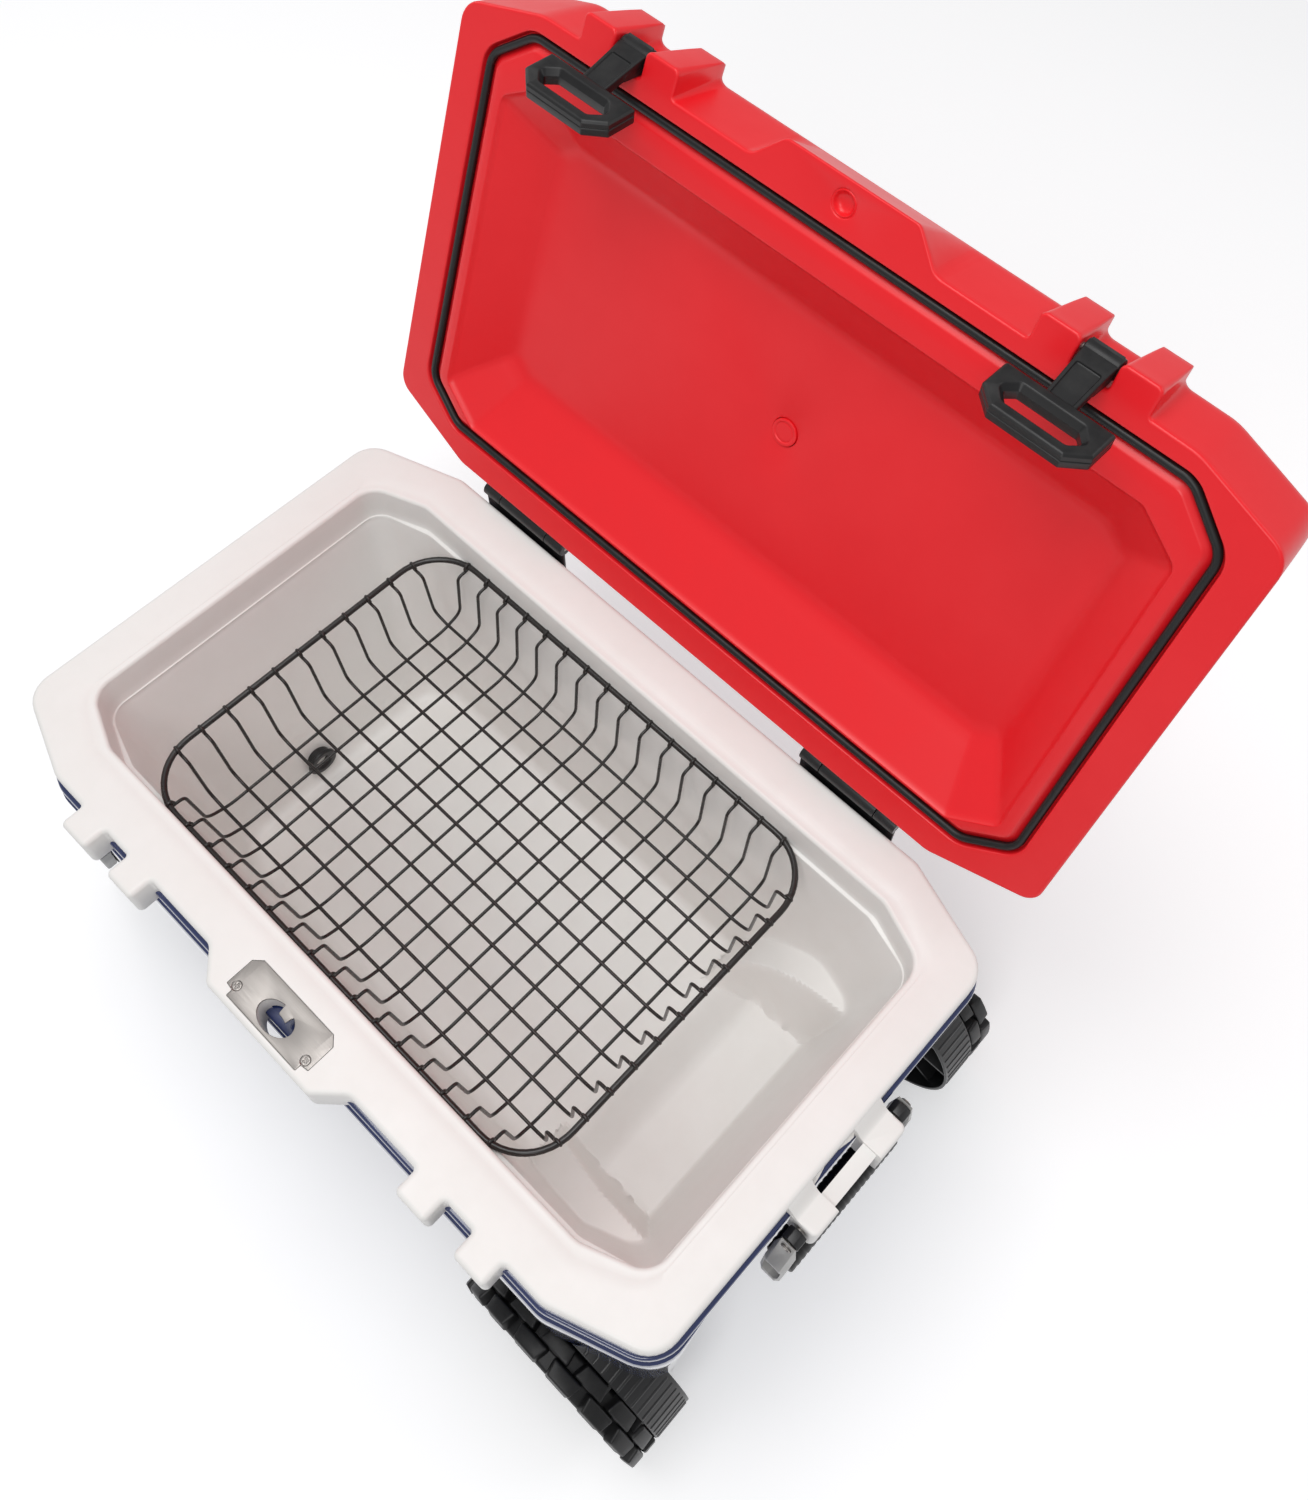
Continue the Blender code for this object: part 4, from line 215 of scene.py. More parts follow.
# %% Shader groups
def new_group(name, kind, inputs, outputs):
    """A node tree with named sockets: an input is a float's first value or the name of another type."""
    tree = bpy.data.node_groups.new(name, kind)
    for label, value in inputs.items():
        if isinstance(value, str):
            tree.interface.new_socket(label, in_out="INPUT", socket_type="NodeSocket" + value)
        else:
            tree.interface.new_socket(label, in_out="INPUT", socket_type="NodeSocketFloat").default_value = value
    for label, value in outputs.items():
        tree.interface.new_socket(label, in_out="OUTPUT", socket_type="NodeSocket" + value)
    return tree, node(tree, "NodeGroupInput").outputs, node(tree, "NodeGroupOutput").inputs


def spread(tree, value, low, high):
    """A value stretched so that low becomes 0 and high becomes 1."""
    return node(tree, "ShaderNodeMapRange", {"Value": value, "From Min": low, "From Max": high}).outputs[0]


def noise(tree, vector, scale, detail, rough=0.5):
    return node(tree, "ShaderNodeTexNoise", {"Vector": vector, "Scale": scale, "Detail": detail,
                                             "Roughness": rough}).outputs["Fac"]


def bump(tree, strength, distance, height, **more):
    return node(tree, "ShaderNodeBump", {"Strength": strength, "Distance": distance, "Height": height,
                                         **more}).outputs[0]


def mix_colour(tree, mask, first, second):
    return node(tree, "ShaderNodeMix", {"Factor": mask, "A": first, "B": second}, data_type="RGBA").outputs["Result"]


def grain_group():
    """Moulded plastic: fine grain and slow waviness in the normal, and gloss that varies in patches."""
    tree, given, end = new_group("moulded_grain", "ShaderNodeTree", {
        "Grain Size": 900.0, "Grain Depth": 0.12, "Wave Depth": 0.04, "Roughness": 0.4, "Roughness Spread": 0.06,
    }, {"Normal": "Vector", "Roughness": "Float", "Patches": "Float"})
    place = node(tree, "ShaderNodeTexCoord").outputs["Object"]
    patch = noise(tree, place, 23.0, 4.0, 0.6)
    fine = bump(tree, given["Grain Depth"], 0.0002, noise(tree, place, given["Grain Size"], 3.0))
    slow = bump(tree, given["Wave Depth"], 0.004, noise(tree, place, 14.0, 2.0), Normal=fine)
    feed(tree, end["Normal"], slow)
    centred = math_node(tree, "SUBTRACT", patch, 0.5)
    scaled = math_node(tree, "MULTIPLY", centred, given["Roughness Spread"])
    widened = math_node(tree, "MULTIPLY", scaled, 4.0)
    feed(tree, end["Roughness"], math_node(tree, "ADD", widened, given["Roughness"], clamp=True))
    feed(tree, end["Patches"], spread(tree, patch, 0.35, 0.65))
    return tree


def wear_group():
    """Masks for edges that are rubbed and for faces where dust lies."""
    tree, given, end = new_group("edge_and_dust", "ShaderNodeTree", {
        "Edge Low": 0.52, "Edge High": 0.62, "Breakup Size": 60.0,
    }, {"Edge": "Float", "Dust": "Float"})
    shape = node(tree, "ShaderNodeNewGeometry").outputs
    place = node(tree, "ShaderNodeTexCoord").outputs["Object"]
    broken = noise(tree, place, given["Breakup Size"], 5.0, 0.65)
    edge = spread(tree, shape["Pointiness"], given["Edge Low"], given["Edge High"])
    feed(tree, end["Edge"], math_node(tree, "MULTIPLY", edge, broken, clamp=True))
    up = spread(tree, node(tree, "ShaderNodeSeparateXYZ", {0: shape["Normal"]}).outputs["Z"], 0.55, 1.0)
    speck = spread(tree, broken, 0.42, 0.72)
    feed(tree, end["Dust"], math_node(tree, "MULTIPLY", up, speck, clamp=True))
    return tree


def streak_group():
    """Brushed metal: long fine scratches along X in the normal and in the gloss."""
    tree, given, end = new_group("brushed_streaks", "ShaderNodeTree", {
        "Fineness": 1400.0, "Depth": 0.15, "Roughness": 0.3,
    }, {"Normal": "Vector", "Roughness": "Float", "Tone": "Float"})
    place = node(tree, "ShaderNodeTexCoord").outputs["Object"]
    stretch = node(tree, "ShaderNodeMapping", {"Vector": place, "Scale": (0.03, 1.0, 1.0)})
    lines = noise(tree, stretch.outputs[0], given["Fineness"], 2.0)
    feed(tree, end["Normal"], bump(tree, given["Depth"], 0.0001, lines))
    part = math_node(tree, "MULTIPLY", math_node(tree, "SUBTRACT", lines, 0.5), 0.3)
    feed(tree, end["Roughness"], math_node(tree, "ADD", part, given["Roughness"], clamp=True))
    feed(tree, end["Tone"], noise(tree, place, 60.0, 3.0))
    return tree


GRAIN = grain_group()
WEAR = wear_group()
STREAKS = streak_group()
print("shader groups:", GRAIN.name, WEAR.name, STREAKS.name)


# %% [markdown]
# ## Materials
# Nine finishes, one for each material slot. The white moulding is warm and satin, the red lid a saturated red
# with a slightly stippled skin, the navy tub glossy enough to mirror the white studio at a grazing look. The
# latches and treads are satin rubber, the handles and hinges black plastic, the lock plate brushed steel.

# %% Materials
DUST = (0.55, 0.53, 0.50)
# Each finish: its colour, its patches, its rubbed edges; roughness, its spread, coat and specular; the grain's
# size, depth and wave; the shares of rubbed edge and of dust.
FINISHES = {
    "white_moulding": ((0.885, 0.865, 0.840), (0.870, 0.848, 0.820), (0.90, 0.885, 0.87),
                       (0.42, 0.05, 0.0, 0.5), (1500.0, 0.05, 0.02), (0.3, 0.03)),
    "red_moulding": ((0.88, 0.010, 0.017), (0.865, 0.009, 0.016), (0.80, 0.06, 0.06),
                     (0.36, 0.03, 0.0, 0.5), (1300.0, 0.08, 0.02), (0.25, 0.0)),
    "navy_gloss": ((0.012, 0.026, 0.120), (0.010, 0.022, 0.105), (0.06, 0.09, 0.22),
                   (0.17, 0.02, 1.0, 0.5), (1100.0, 0.004, 0.006), (0.3, 0.0)),
    "black_plastic": ((0.010, 0.010, 0.011), (0.007, 0.007, 0.008), (0.06, 0.06, 0.06),
                      (0.34, 0.05, 0.0, 0.5), (1600.0, 0.12, 0.03), (0.5, 0.02)),
    "black_rubber": ((0.0075, 0.0075, 0.008), (0.0055, 0.0055, 0.006), (0.05, 0.05, 0.05),
                     (0.42, 0.05, 0.0, 0.40), (1900.0, 0.14, 0.03), (0.5, 0.02)),
    "silver_plastic": ((0.46, 0.45, 0.435), (0.40, 0.39, 0.375), (0.5, 0.5, 0.49),
                       (0.33, 0.05, 0.0, 0.5), (1500.0, 0.12, 0.03), (0.5, 0.02)),
    "coated_wire": ((0.020, 0.016, 0.015), (0.014, 0.012, 0.011), (0.05, 0.045, 0.04),
                    (0.28, 0.05, 0.0, 0.5), (1500.0, 0.06, 0.02), (0.3, 0.0)),
    "insulation_foam": ((0.80, 0.72, 0.50), (0.70, 0.60, 0.38), (0.85, 0.78, 0.58),
                        (0.9, 0.05, 0.0, 0.5), (700.0, 0.6, 0.10), (0.2, 0.0)),
}


def grained(name, colour, patches, rubbed, gloss, texture, shares):
    look, tree = new_material(name)
    roughness, gloss_spread, coat, specular = gloss
    grain = node(tree, "ShaderNodeGroup", node_tree=GRAIN)
    for label, value in zip(("Grain Size", "Grain Depth", "Wave Depth", "Roughness", "Roughness Spread"),
                            (*texture, roughness, gloss_spread)):
        grain.inputs[label].default_value = value
    wear = node(tree, "ShaderNodeGroup", node_tree=WEAR)
    base = mix_colour(tree, grain.outputs["Patches"], colour, patches)
    worn = mix_colour(tree, math_node(tree, "MULTIPLY", wear.outputs["Edge"], shares[0]), base, rubbed)
    final = mix_colour(tree, math_node(tree, "MULTIPLY", wear.outputs["Dust"], shares[1]), worn, DUST)
    skin = node(tree, "ShaderNodeBsdfPrincipled", {
        "Base Color": final, "Roughness": grain.outputs["Roughness"], "Normal": grain.outputs["Normal"],
        "Specular IOR Level": specular, "Coat Weight": coat, "Coat Roughness": 0.05})
    node(tree, "ShaderNodeOutputMaterial", {0: skin.outputs[0]})
    return look


def brushed(name, colour, darker, roughness):
    look, tree = new_material(name)
    streaks = node(tree, "ShaderNodeGroup", {"Roughness": roughness}, node_tree=STREAKS).outputs
    skin = node(tree, "ShaderNodeBsdfPrincipled", {
        "Base Color": mix_colour(tree, streaks["Tone"], colour, darker), "Roughness": streaks["Roughness"],
        "Normal": streaks["Normal"], "Metallic": 1.0})
    node(tree, "ShaderNodeOutputMaterial", {0: skin.outputs[0]})
    return look


LOOKS = {name: grained(name, *row) for name, row in FINISHES.items()}
LOOKS["brushed_steel"] = brushed("brushed_steel", (0.37, 0.345, 0.325), (0.31, 0.290, 0.275), 0.42)
SLOT_OF = {row["node"]: row["material_slot"] for row in frame["record"]["subparts"]}

for name, thing in frame["nodes"].items():
    if not thing.material_slots:
        thing.data.materials.append(LOOKS[SLOT_OF[name]])
    for slot in thing.material_slots:
        slot.material = LOOKS[SLOT_OF[name]]
print(len(LOOKS), "finishes on", len(SLOT_OF), "nodes")


# %% [markdown]
# ## Outlines and skins
# Nearly every moulding here is an outline swept through a profile: the rim, the tub, the lid and the latches all
# keep parallel edges with soft corners. An outline is a list of corners, each with a radius. Moved inwards, its
# outer corners tighten and its inner corners open, as a cutter's path does, so the rows of a skin always match
# point for point and no bevel has to guess.

# %% Outlines
def octagon(end_x, front_y, rear_y, end_front_y, end_rear_y, front_shoulder_x, rear_shoulder_x):
    """The long eight-sided outline that tub, rim and lid share, from the front right corner round."""
    return [
        (front_shoulder_x, -front_y), (end_x, -end_front_y), (end_x, end_rear_y), (rear_shoulder_x, rear_y),
        (-rear_shoulder_x, rear_y), (-end_x, end_rear_y), (-end_x, -end_front_y), (-front_shoulder_x, -front_y),
    ]


def oblong(low_x, low_y, high_x, high_y, radius):
    """A rectangle with round corners, as corners and radius."""
    return [(low_x, low_y), (high_x, low_y), (high_x, high_y), (low_x, high_y)], radius


def circle(steps, radius, centre=(0, 0), other=None, phase=0.0):
    """Points round a circle, or round an oval with another radius across."""
    angles = [math.tau * (k + phase) / steps for k in range(steps)]
    return [(centre[0] + radius * math.cos(a), centre[1] + (other or radius) * math.sin(a)) for a in angles]


def between(first, second, share):
    return [tuple(Vector(a).lerp(Vector(b), share)) for a, b in zip(first, second)]


def listed(value, count):
    return list(value) if hasattr(value, "__len__") else [value] * count


def path(corners, radii, counts=1, arc=6, move=0.0):
    """Points round an outline with rounded corners, moved inwards by an amount; counts splits each side."""
    total = len(corners)
    radii, counts = listed(radii, total), listed(counts, total)
    spots = []
    for i in range(total):
        before, here, after = Vector(corners[i - 1]), Vector(corners[i]), Vector(corners[(i + 1) % total])
        first, second = (here - before).normalized(), (after - here).normalized()
        bend = first.x * second.y - first.y * second.x
        normal = (Vector((-first.y, first.x)) + Vector((-second.y, second.x))) / (1 + first.dot(second))
        corner = here + normal * move
        radius = max(radii[i] - move if bend > 0 else radii[i] + move, 0.00005)
        half = (math.pi - first.angle(second)) / 2
        reach = radius / math.tan(half)
        centre = corner + (second - first).normalized() * radius / math.sin(half)
        start = corner - first * reach - centre
        sweep = math.copysign(math.pi - 2 * half, bend)
        row = []
        for k in range(arc + 1):
            cos, sin = math.cos(sweep * k / arc), math.sin(sweep * k / arc)
            row.append(centre + Vector((start.x * cos - start.y * sin, start.x * sin + start.y * cos)))
        spots.append(row)
    points = []
    for i in range(total):
        end, begin = spots[i][-1], spots[(i + 1) % total][0]
        points += spots[i] + [end.lerp(begin, k / counts[i]) for k in range(1, counts[i])]
    return np.array([(p.x, p.y) for p in points])


def at_height(points, z):
    return np.column_stack([points, np.broadcast_to(z, len(points))])


def stack(outline, moves_and_heights, arc=6, counts=1):
    """Rows of one outline, each moved inwards by an amount and set at a height."""
    return [at_height(path(*outline, counts, arc, move), z) for move, z in moves_and_heights]


def quarter(amount, steps):
    """Pairs of (moved in, dropped) along a quarter round edge, from the side to the flat."""
    turns = [math.pi / 2 * k / steps for k in range(steps + 1)]
    return [(amount * (1 - math.cos(turn)), amount * (1 - math.sin(turn))) for turn in turns]


def round_side(low, high, edge, steps=4, sign=1):
    """Pairs of (moved in, height) up a side with a round edge at its foot and at its top."""
    pairs = quarter(edge, steps)
    return [(sign * move, low + drop) for move, drop in reversed(pairs)] + [
        (sign * move, high - drop) for move, drop in pairs]


print("outlines ready")


# %% Skins
ALONG_Y = Matrix(((1, 0, 0, 0), (0, 0, 1, 0), (0, 1, 0, 0), (0, 0, 0, 1)))
ALONG_X = Matrix(((0, 0, 1, 0), (1, 0, 0, 0), (0, 1, 0, 0), (0, 0, 0, 1)))
MERGED = 0.000004


def add_rows(build, rows, closed=True):
    """Quads between rows of equal count. Returns the rows of vertices."""
    made = [[build.verts.new(tuple(map(float, point))) for point in row] for row in rows]
    for low, high in zip(made, made[1:]):
        for i in range(len(low) if closed else len(low) - 1):
            after = (i + 1) % len(low)
            build.faces.new((low[i], low[after], high[after], high[i]))
    return made


def fill(build, *loops):
    """Triangles over the flat area between loops of vertices; the later loops are holes."""
    edges = []
    for loop in loops:
        for i, vert in enumerate(loop):
            after = loop[(i + 1) % len(loop)]
            edges.append(build.edges.get((vert, after)) or build.edges.new((vert, after)))
    bmesh.ops.triangle_fill(build, use_beauty=True, use_dissolve=False, edges=edges)


def moved(build, place, rows=None):
    """A whole build moved by a matrix, or only some rows of it."""
    verts = build.verts[:] if rows is None else [vert for row in rows for vert in row]
    bmesh.ops.transform(build, matrix=place, verts=verts)


def slab(build, outline, low, high, edge, holes=(), place=None, steps=4, arc=6, hole_edge=None):
    """A plate with rounded edges between two levels. Outline and holes are (corners, radii)."""
    loops = [add_rows(build, stack(outline, round_side(low, high, edge, steps), arc))]
    for hole in holes:
        loops.append(add_rows(build, stack(hole, round_side(low, high, hole_edge or edge, steps, -1), arc)))
    fill(build, *[rows[0] for rows in loops])
    fill(build, *[rows[-1] for rows in loops])
    if place is not None:
        moved(build, place, sum(loops, []))


def turned(build, axis, centre, profile, steps=48):
    """A closed profile of (radius, along), turned about a line along an axis."""
    rows = []
    for k in range(steps):
        cos, sin = math.cos(math.tau * k / steps), math.sin(math.tau * k / steps)
        rows.append([across(axis, centre, radius * cos, radius * sin, along) for radius, along in profile])
    add_rows(build, rows + rows[:1])


def across(axis, centre, u, v, along):
    u, v = centre[0] + u, centre[1] + v
    return {"X": (along, u, v), "Y": (u, along, v), "Z": (u, v, along)}[axis]


def round_corner(before, here, after, radius, steps):
    """Points round a corner between two legs, kept to less than half of each."""
    back, ahead = before - here, after - here
    reach = min(radius, back.length * 0.45, ahead.length * 0.45)
    first, last = here + back.normalized() * reach, here + ahead.normalized() * reach
    return [first.lerp(here, k / steps).lerp(here.lerp(last, k / steps), k / steps) for k in range(steps + 1)]


def soften(profile, radius, steps=3):
    """A profile of points with each corner rounded, for turned pieces and cross sections."""
    spots = [Vector(point) for point in profile]
    rounded = []
    for before, here, after in zip(spots[-1:] + spots, spots, spots[1:] + spots[:1]):
        rounded += [here] if here.x < 1e-6 else round_corner(before, here, after, radius, steps)
    return [tuple(point) for point in rounded]


def tube(build, points, radius, steps=12):
    """A closed round tube along points, its frame carried without twisting."""
    spots = [Vector(map(float, p)) for p in points]
    rows = []
    side = None
    for i, spot in enumerate(spots):
        ahead = (spots[(i + 1) % len(spots)] - spots[i - 1]).normalized()
        if side is None:
            side = ahead.orthogonal().normalized()
        side = (side - ahead * side.dot(ahead)).normalized()
        other = ahead.cross(side)
        rows.append([spot + (side * u + other * v) * radius for u, v in circle(steps, 1.0)])
    add_rows(build, rows + rows[:1])


def finished(build, name, slot, body, replaced, degrees=35.0, turn=None):
    """The piece from its build: turned by a matrix, doubles merged, faces out."""
    if turn is not None:
        moved(build, turn)
    bmesh.ops.remove_doubles(build, verts=build.verts[:], dist=MERGED)
    bmesh.ops.delete(build, geom=[vert for vert in build.verts if not vert.link_faces], context="VERTS")
    bmesh.ops.recalc_face_normals(build, faces=build.faces[:])
    placed(name, mesh_of(build, name), slot, body, replaced, degrees=degrees)


def placed(name, mesh, slot, body, *replaced, degrees=35.0):
    """The piece from its mesh: smooth, in its finish, on its body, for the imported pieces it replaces."""
    mesh.shade_smooth()
    mesh.set_sharp_from_angle(angle=math.radians(degrees))
    thing = linked(name, mesh)
    mesh.materials.clear()
    mesh.materials.append(LOOKS[slot])
    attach(thing, body)
    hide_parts(*replaced)
    print(name, len(mesh.polygons), "faces")


print("skins ready")


# %% [markdown]
# ## The white liner
# Rim and inside of a rotationally moulded or injected cooler come as one white piece: a flat rim with round
# edges, four lugs in front that the latch straps pass between, a tab for the lock plate, and a tub below it with
# a ledge that carries the basket. Over each wheel its wall bulges in, and the floor between the wheels is raised.
# The skin runs in rows from the rim down the wall to the floor's middle, and its hidden outside closes it.
# The bulges push the rows up with a soft maximum, which leaves the round fillets of a moulding.

# %% Liner shapes
RIM_Z = 0.370
LATCH_X = 0.22425
LUG_GAP_HALF = 0.0165
LUG_WIDTH = 0.0345
LUG_DEEP = 0.038
COLLAR_DEEP = 0.022
COLLAR_UNDER = RIM_Z - COLLAR_DEEP + 0.002
AXLE = (0.329, 0.050)
PLATE_DEEP = 0.0023
LEDGE_Z, FLOOR_Z, FLOOR_FILLET, FLOOR_LEAN = RIM_Z - 0.041, 0.060, 0.012, 0.0015
BULGE_RADIUS = 0.148
STEP_TOP = 0.100
MOUTH_RADIUS = 0.026

COLLAR = octagon(0.410, 0.239, 0.239, 0.207, 0.203, 0.317, 0.304)
OPENING = octagon(0.364, 0.1885, 0.1885, 0.166, 0.166, 0.305, 0.305)
BELOW_LEDGE = octagon(0.362, 0.1825, 0.1825, 0.164, 0.164, 0.299, 0.299)
FLOOR = octagon(0.300, 0.150, 0.150, 0.128, 0.128, 0.258, 0.258)
GASKET_LINE = octagon(0.3755, 0.2085, 0.2085, 0.180, 0.180, 0.321, 0.321)
INSIDE_COUNTS = [16, 60, 16, 110, 16, 60, 16, 110]


def with_front(shape, side_y, lug_y, lug_radius, root_radius, tab_base, tab_tip, tab_y, tab_radius, corner_radius):
    """An octagon whose front side carries four lugs and a tab. Returns corners and radii."""
    corners, radii = [], []
    for x in (-LATCH_X, LATCH_X):
        for step in (-1, 1):
            low, high = sorted((x + step * LUG_GAP_HALF, x + step * (LUG_GAP_HALF + LUG_WIDTH)))
            corners += [(low, -side_y), (low, -lug_y), (high, -lug_y), (high, -side_y)]
            radii += [root_radius, lug_radius, lug_radius, root_radius]
        if x < 0:
            corners += [(-tab_base, -side_y), (-tab_tip, -tab_y), (tab_tip, -tab_y), (tab_base, -side_y)]
            radii += [tab_radius * 1.5, tab_radius, tab_radius, tab_radius * 1.5]
    return corners + shape, radii + [corner_radius] * len(shape)


def soft_max(a, b, k):
    h = np.clip(0.5 + 0.5 * (a - b) / k, 0, 1)
    return b * (1 - h) + a * h + k * h * (1 - h)


def soft_min(a, b, k):
    return -soft_max(-a, -b, k)


def floor_shape(x, y, z, grow):
    """A height on the liner's inside raised by the floor's step and the two wheel bulges."""
    step = soft_min((x - 0.195) * 0.040 / 0.045 + FLOOR_Z, np.full_like(x, STEP_TOP), 0.008)
    reach = np.abs(x - AXLE[0])
    arch = (AXLE[1] + np.sqrt(np.clip(BULGE_RADIUS ** 2 - reach ** 2, 0, None))
            - 3.0 * np.clip(reach - BULGE_RADIUS, 0, None))
    bulge = soft_min(arch, STEP_TOP + (np.abs(y) - 0.114) * 0.098 / 0.022, 0.010)
    return soft_max(soft_max(z, step - grow, 0.014), bulge - grow, 0.016)


def raised(points, z, grow):
    """A row set at a height, pushed up by the floor's shape and out by the wall's thickness."""
    return at_height(points, floor_shape(points[:, 0], points[:, 1], np.full(len(points), z - grow), grow))


def inside_row(corners, z, move=0.0, grow=0.0):
    return raised(path(corners, MOUTH_RADIUS, INSIDE_COUNTS, 10, move - grow), z, grow)


def inside_rows(grow=0.0, wall_steps=56, floor_steps=60):
    """The liner's inside from below its mouth to the floor's middle, or its outside a wall further out."""
    if grow == 0:
        rows = [inside_row(OPENING, z, move) for move, z in (
            (0.0006, RIM_Z - 0.015), (0.0011, RIM_Z - 0.028), (0.0014, LEDGE_Z + 0.0018),
            (0.0020, LEDGE_Z + 0.0006), (0.0032, LEDGE_Z))]
        rows += [inside_row(BELOW_LEDGE, z, move) for move, z in (
            (-0.0016, LEDGE_Z), (-0.0007, LEDGE_Z - 0.0004), (-0.0001, LEDGE_Z - 0.0014), (0.0, LEDGE_Z - 0.0026))]
    else:
        rows = [inside_row(OPENING, z, 0, grow) for z in (RIM_Z - 0.030, LEDGE_Z)]
        rows.append(inside_row(BELOW_LEDGE, LEDGE_Z - 0.0006, 0, grow))
    top, low = LEDGE_Z - 0.0026, FLOOR_Z + FLOOR_FILLET
    for k in range(1, wall_steps + 1):
        z = top + (low - top) * k / wall_steps
        share = (z - FLOOR_Z) / (LEDGE_Z - FLOOR_Z)
        rows.append(inside_row(between(FLOOR, BELOW_LEDGE, share), z, 0, grow))
    for k in range(1, 6):
        turn = math.pi / 2 * k / 5
        rows.append(inside_row(FLOOR, FLOOR_Z + FLOOR_FILLET * (1 - math.sin(turn)),
                               FLOOR_FILLET * (1 - math.cos(turn)) - FLOOR_LEAN * (1 - k / 5), grow))
    edge = path(FLOOR, MOUTH_RADIUS, INSIDE_COUNTS, 10, FLOOR_FILLET - grow)
    goal = np.column_stack([edge[:, 0] * 0.55, np.zeros(len(edge))])
    return rows + [raised(edge + (goal - edge) * k / floor_steps, FLOOR_Z, grow) for k in range(1, floor_steps + 1)]


def plate_corners(grow):
    half, front, back = 0.053 + grow, -0.2558 - grow, -0.216 + grow
    inner = half - 0.008
    return [(-inner, front), (inner, front), (inner, front + 0.006), (half, front + 0.007), (half, back - 0.007),
            (inner, back), (-inner, back), (-half, back - 0.007), (-half, front + 0.007), (-inner, front + 0.006)]


print("liner's mouth at", RIM_Z, "and floor at", FLOOR_Z)


# %% Liner skin
def make_liner():
    build = bmesh.new()
    outline = with_front(COLLAR, 0.239, 0.262, 0.0055, 0.0035, 0.092, 0.066, 0.262, 0.009, 0.030)
    base = path(*outline, 2, 6)
    low = np.where(base[:, 1] < -0.23905, RIM_Z - LUG_DEEP, RIM_Z - COLLAR_DEEP)
    hidden = path(*outline, 2, 6, 0.003)
    hidden[:, 1] = np.maximum(hidden[:, 1], -0.2355)
    rim = add_rows(build, [at_height(hidden, COLLAR_UNDER), at_height(hidden, low)] + stack(
        outline, [(0.0015, low), (0.0004, low + 0.0005), (0.0, low + 0.0018)]
        + [(move, RIM_Z - drop) for move, drop in quarter(0.0048, 6)] + [(0.0056, RIM_Z)], 6, 2))
    inner = []
    for move, drop in ((0.0, 0.0), (0.0008, 0.00015), (0.0080, 0.0003), (0.0088, 0.0007)):
        share = move / 0.0188
        inner += stack((between(GASKET_LINE, OPENING, share), 0.034 - 0.008 * share), [(0.0, RIM_Z - drop)], 10,
                       INSIDE_COUNTS)
    inner += stack((OPENING, MOUTH_RADIUS), [(-0.0048, RIM_Z - 0.0010)] + [
        (-move, RIM_Z - 0.0010 - drop) for move, drop in reversed(quarter(0.0040, 6))], 10, INSIDE_COUNTS)
    opened = add_rows(build, inner + inside_rows())
    outside = add_rows(build, stack((OPENING, MOUTH_RADIUS), [(-0.0035, COLLAR_UNDER)], 10, INSIDE_COUNTS)
                       + inside_rows(0.0035, 12, 12))
    fill(build, rim[0], outside[0])
    recess = add_rows(build, stack((plate_corners(0.0004), 0.0012), [
        (0.0, RIM_Z), (0.0, RIM_Z - 0.0002), (0.0, RIM_Z - PLATE_DEEP)], 3))
    fill(build, rim[-1], opened[0], recess[0])
    fill(build, recess[-1])
    bmesh.ops.remove_doubles(build, verts=build.verts[:], dist=MERGED)
    return build


LINER_BUILD = make_liner()
print("liner skin of", len(LINER_BUILD.faces), "faces")


# %% [markdown]
# ## Cutting with booleans
# A few openings cross surfaces that no loft would follow: the lock hole goes down through the tab, and further on
# the wheel bays go through the tub. These are cut with exact booleans by short-lived helper pieces, and the
# result is kept as a plain mesh.

# %% Helpers for cutting, and the lock hole
LOCK_HOLE_Y, LOCK_HOLE_HALF_X, LOCK_HOLE_HALF_Y = -0.240, 0.0195, 0.0125


def helper(build):
    bmesh.ops.recalc_face_normals(build, faces=build.faces[:])
    return linked("helper", mesh_of(build, "helper"))


def capped(rows):
    build = bmesh.new()
    made = add_rows(build, rows)
    fill(build, made[0])
    fill(build, made[-1])
    return helper(build)


def block(low, high, edge=0.0):
    build = bmesh.new()
    bmesh.ops.create_cube(build, size=1.0)
    for vert in build.verts:
        vert.co = Vector(high[i] if vert.co[i] > 0 else low[i] for i in range(3))
    if edge:
        bmesh.ops.bevel(build, geom=build.edges[:], offset=edge, segments=3, profile=0.5, affect="EDGES")
    return helper(build)


def rod(axis, centre, radius, start, end, steps=96):
    build = bmesh.new()
    turned(build, axis, centre, [(0.0, start), (radius, start), (radius, end), (0.0, end)], steps)
    bmesh.ops.remove_doubles(build, verts=build.verts[:], dist=0.00001)
    return helper(build)


def evaluated(thing, *others):
    """The mesh that an object's modifiers make. The object and the others it used are removed."""
    mesh = bpy.data.meshes.new_from_object(thing.evaluated_get(bpy.context.evaluated_depsgraph_get()))
    thing.modifiers.clear()
    for old in (thing, *others):
        data = old.data
        bpy.data.objects.remove(old)
        bpy.data.meshes.remove(data)
    return mesh


def combined(base, *steps):
    """Exact booleans one after another, each an operation and its helpers."""
    for operation, others in steps:
        for other in others:
            step = base.modifiers.new("step", "BOOLEAN")
            step.operation, step.object, step.solver = operation, other, "EXACT"
    return evaluated(base, *[other for _, others in steps for other in others])


def bevelled(mesh, width, segments, degrees):
    """The mesh with its sharp edges rounded."""
    thing = linked("bevelled", mesh)
    step = thing.modifiers.new("edges", "BEVEL")
    step.width, step.segments, step.limit_method = width, segments, "ANGLE"
    step.angle_limit = math.radians(degrees)
    step.miter_outer = "MITER_ARC"
    step.use_clamp_overlap = True
    return evaluated(thing)


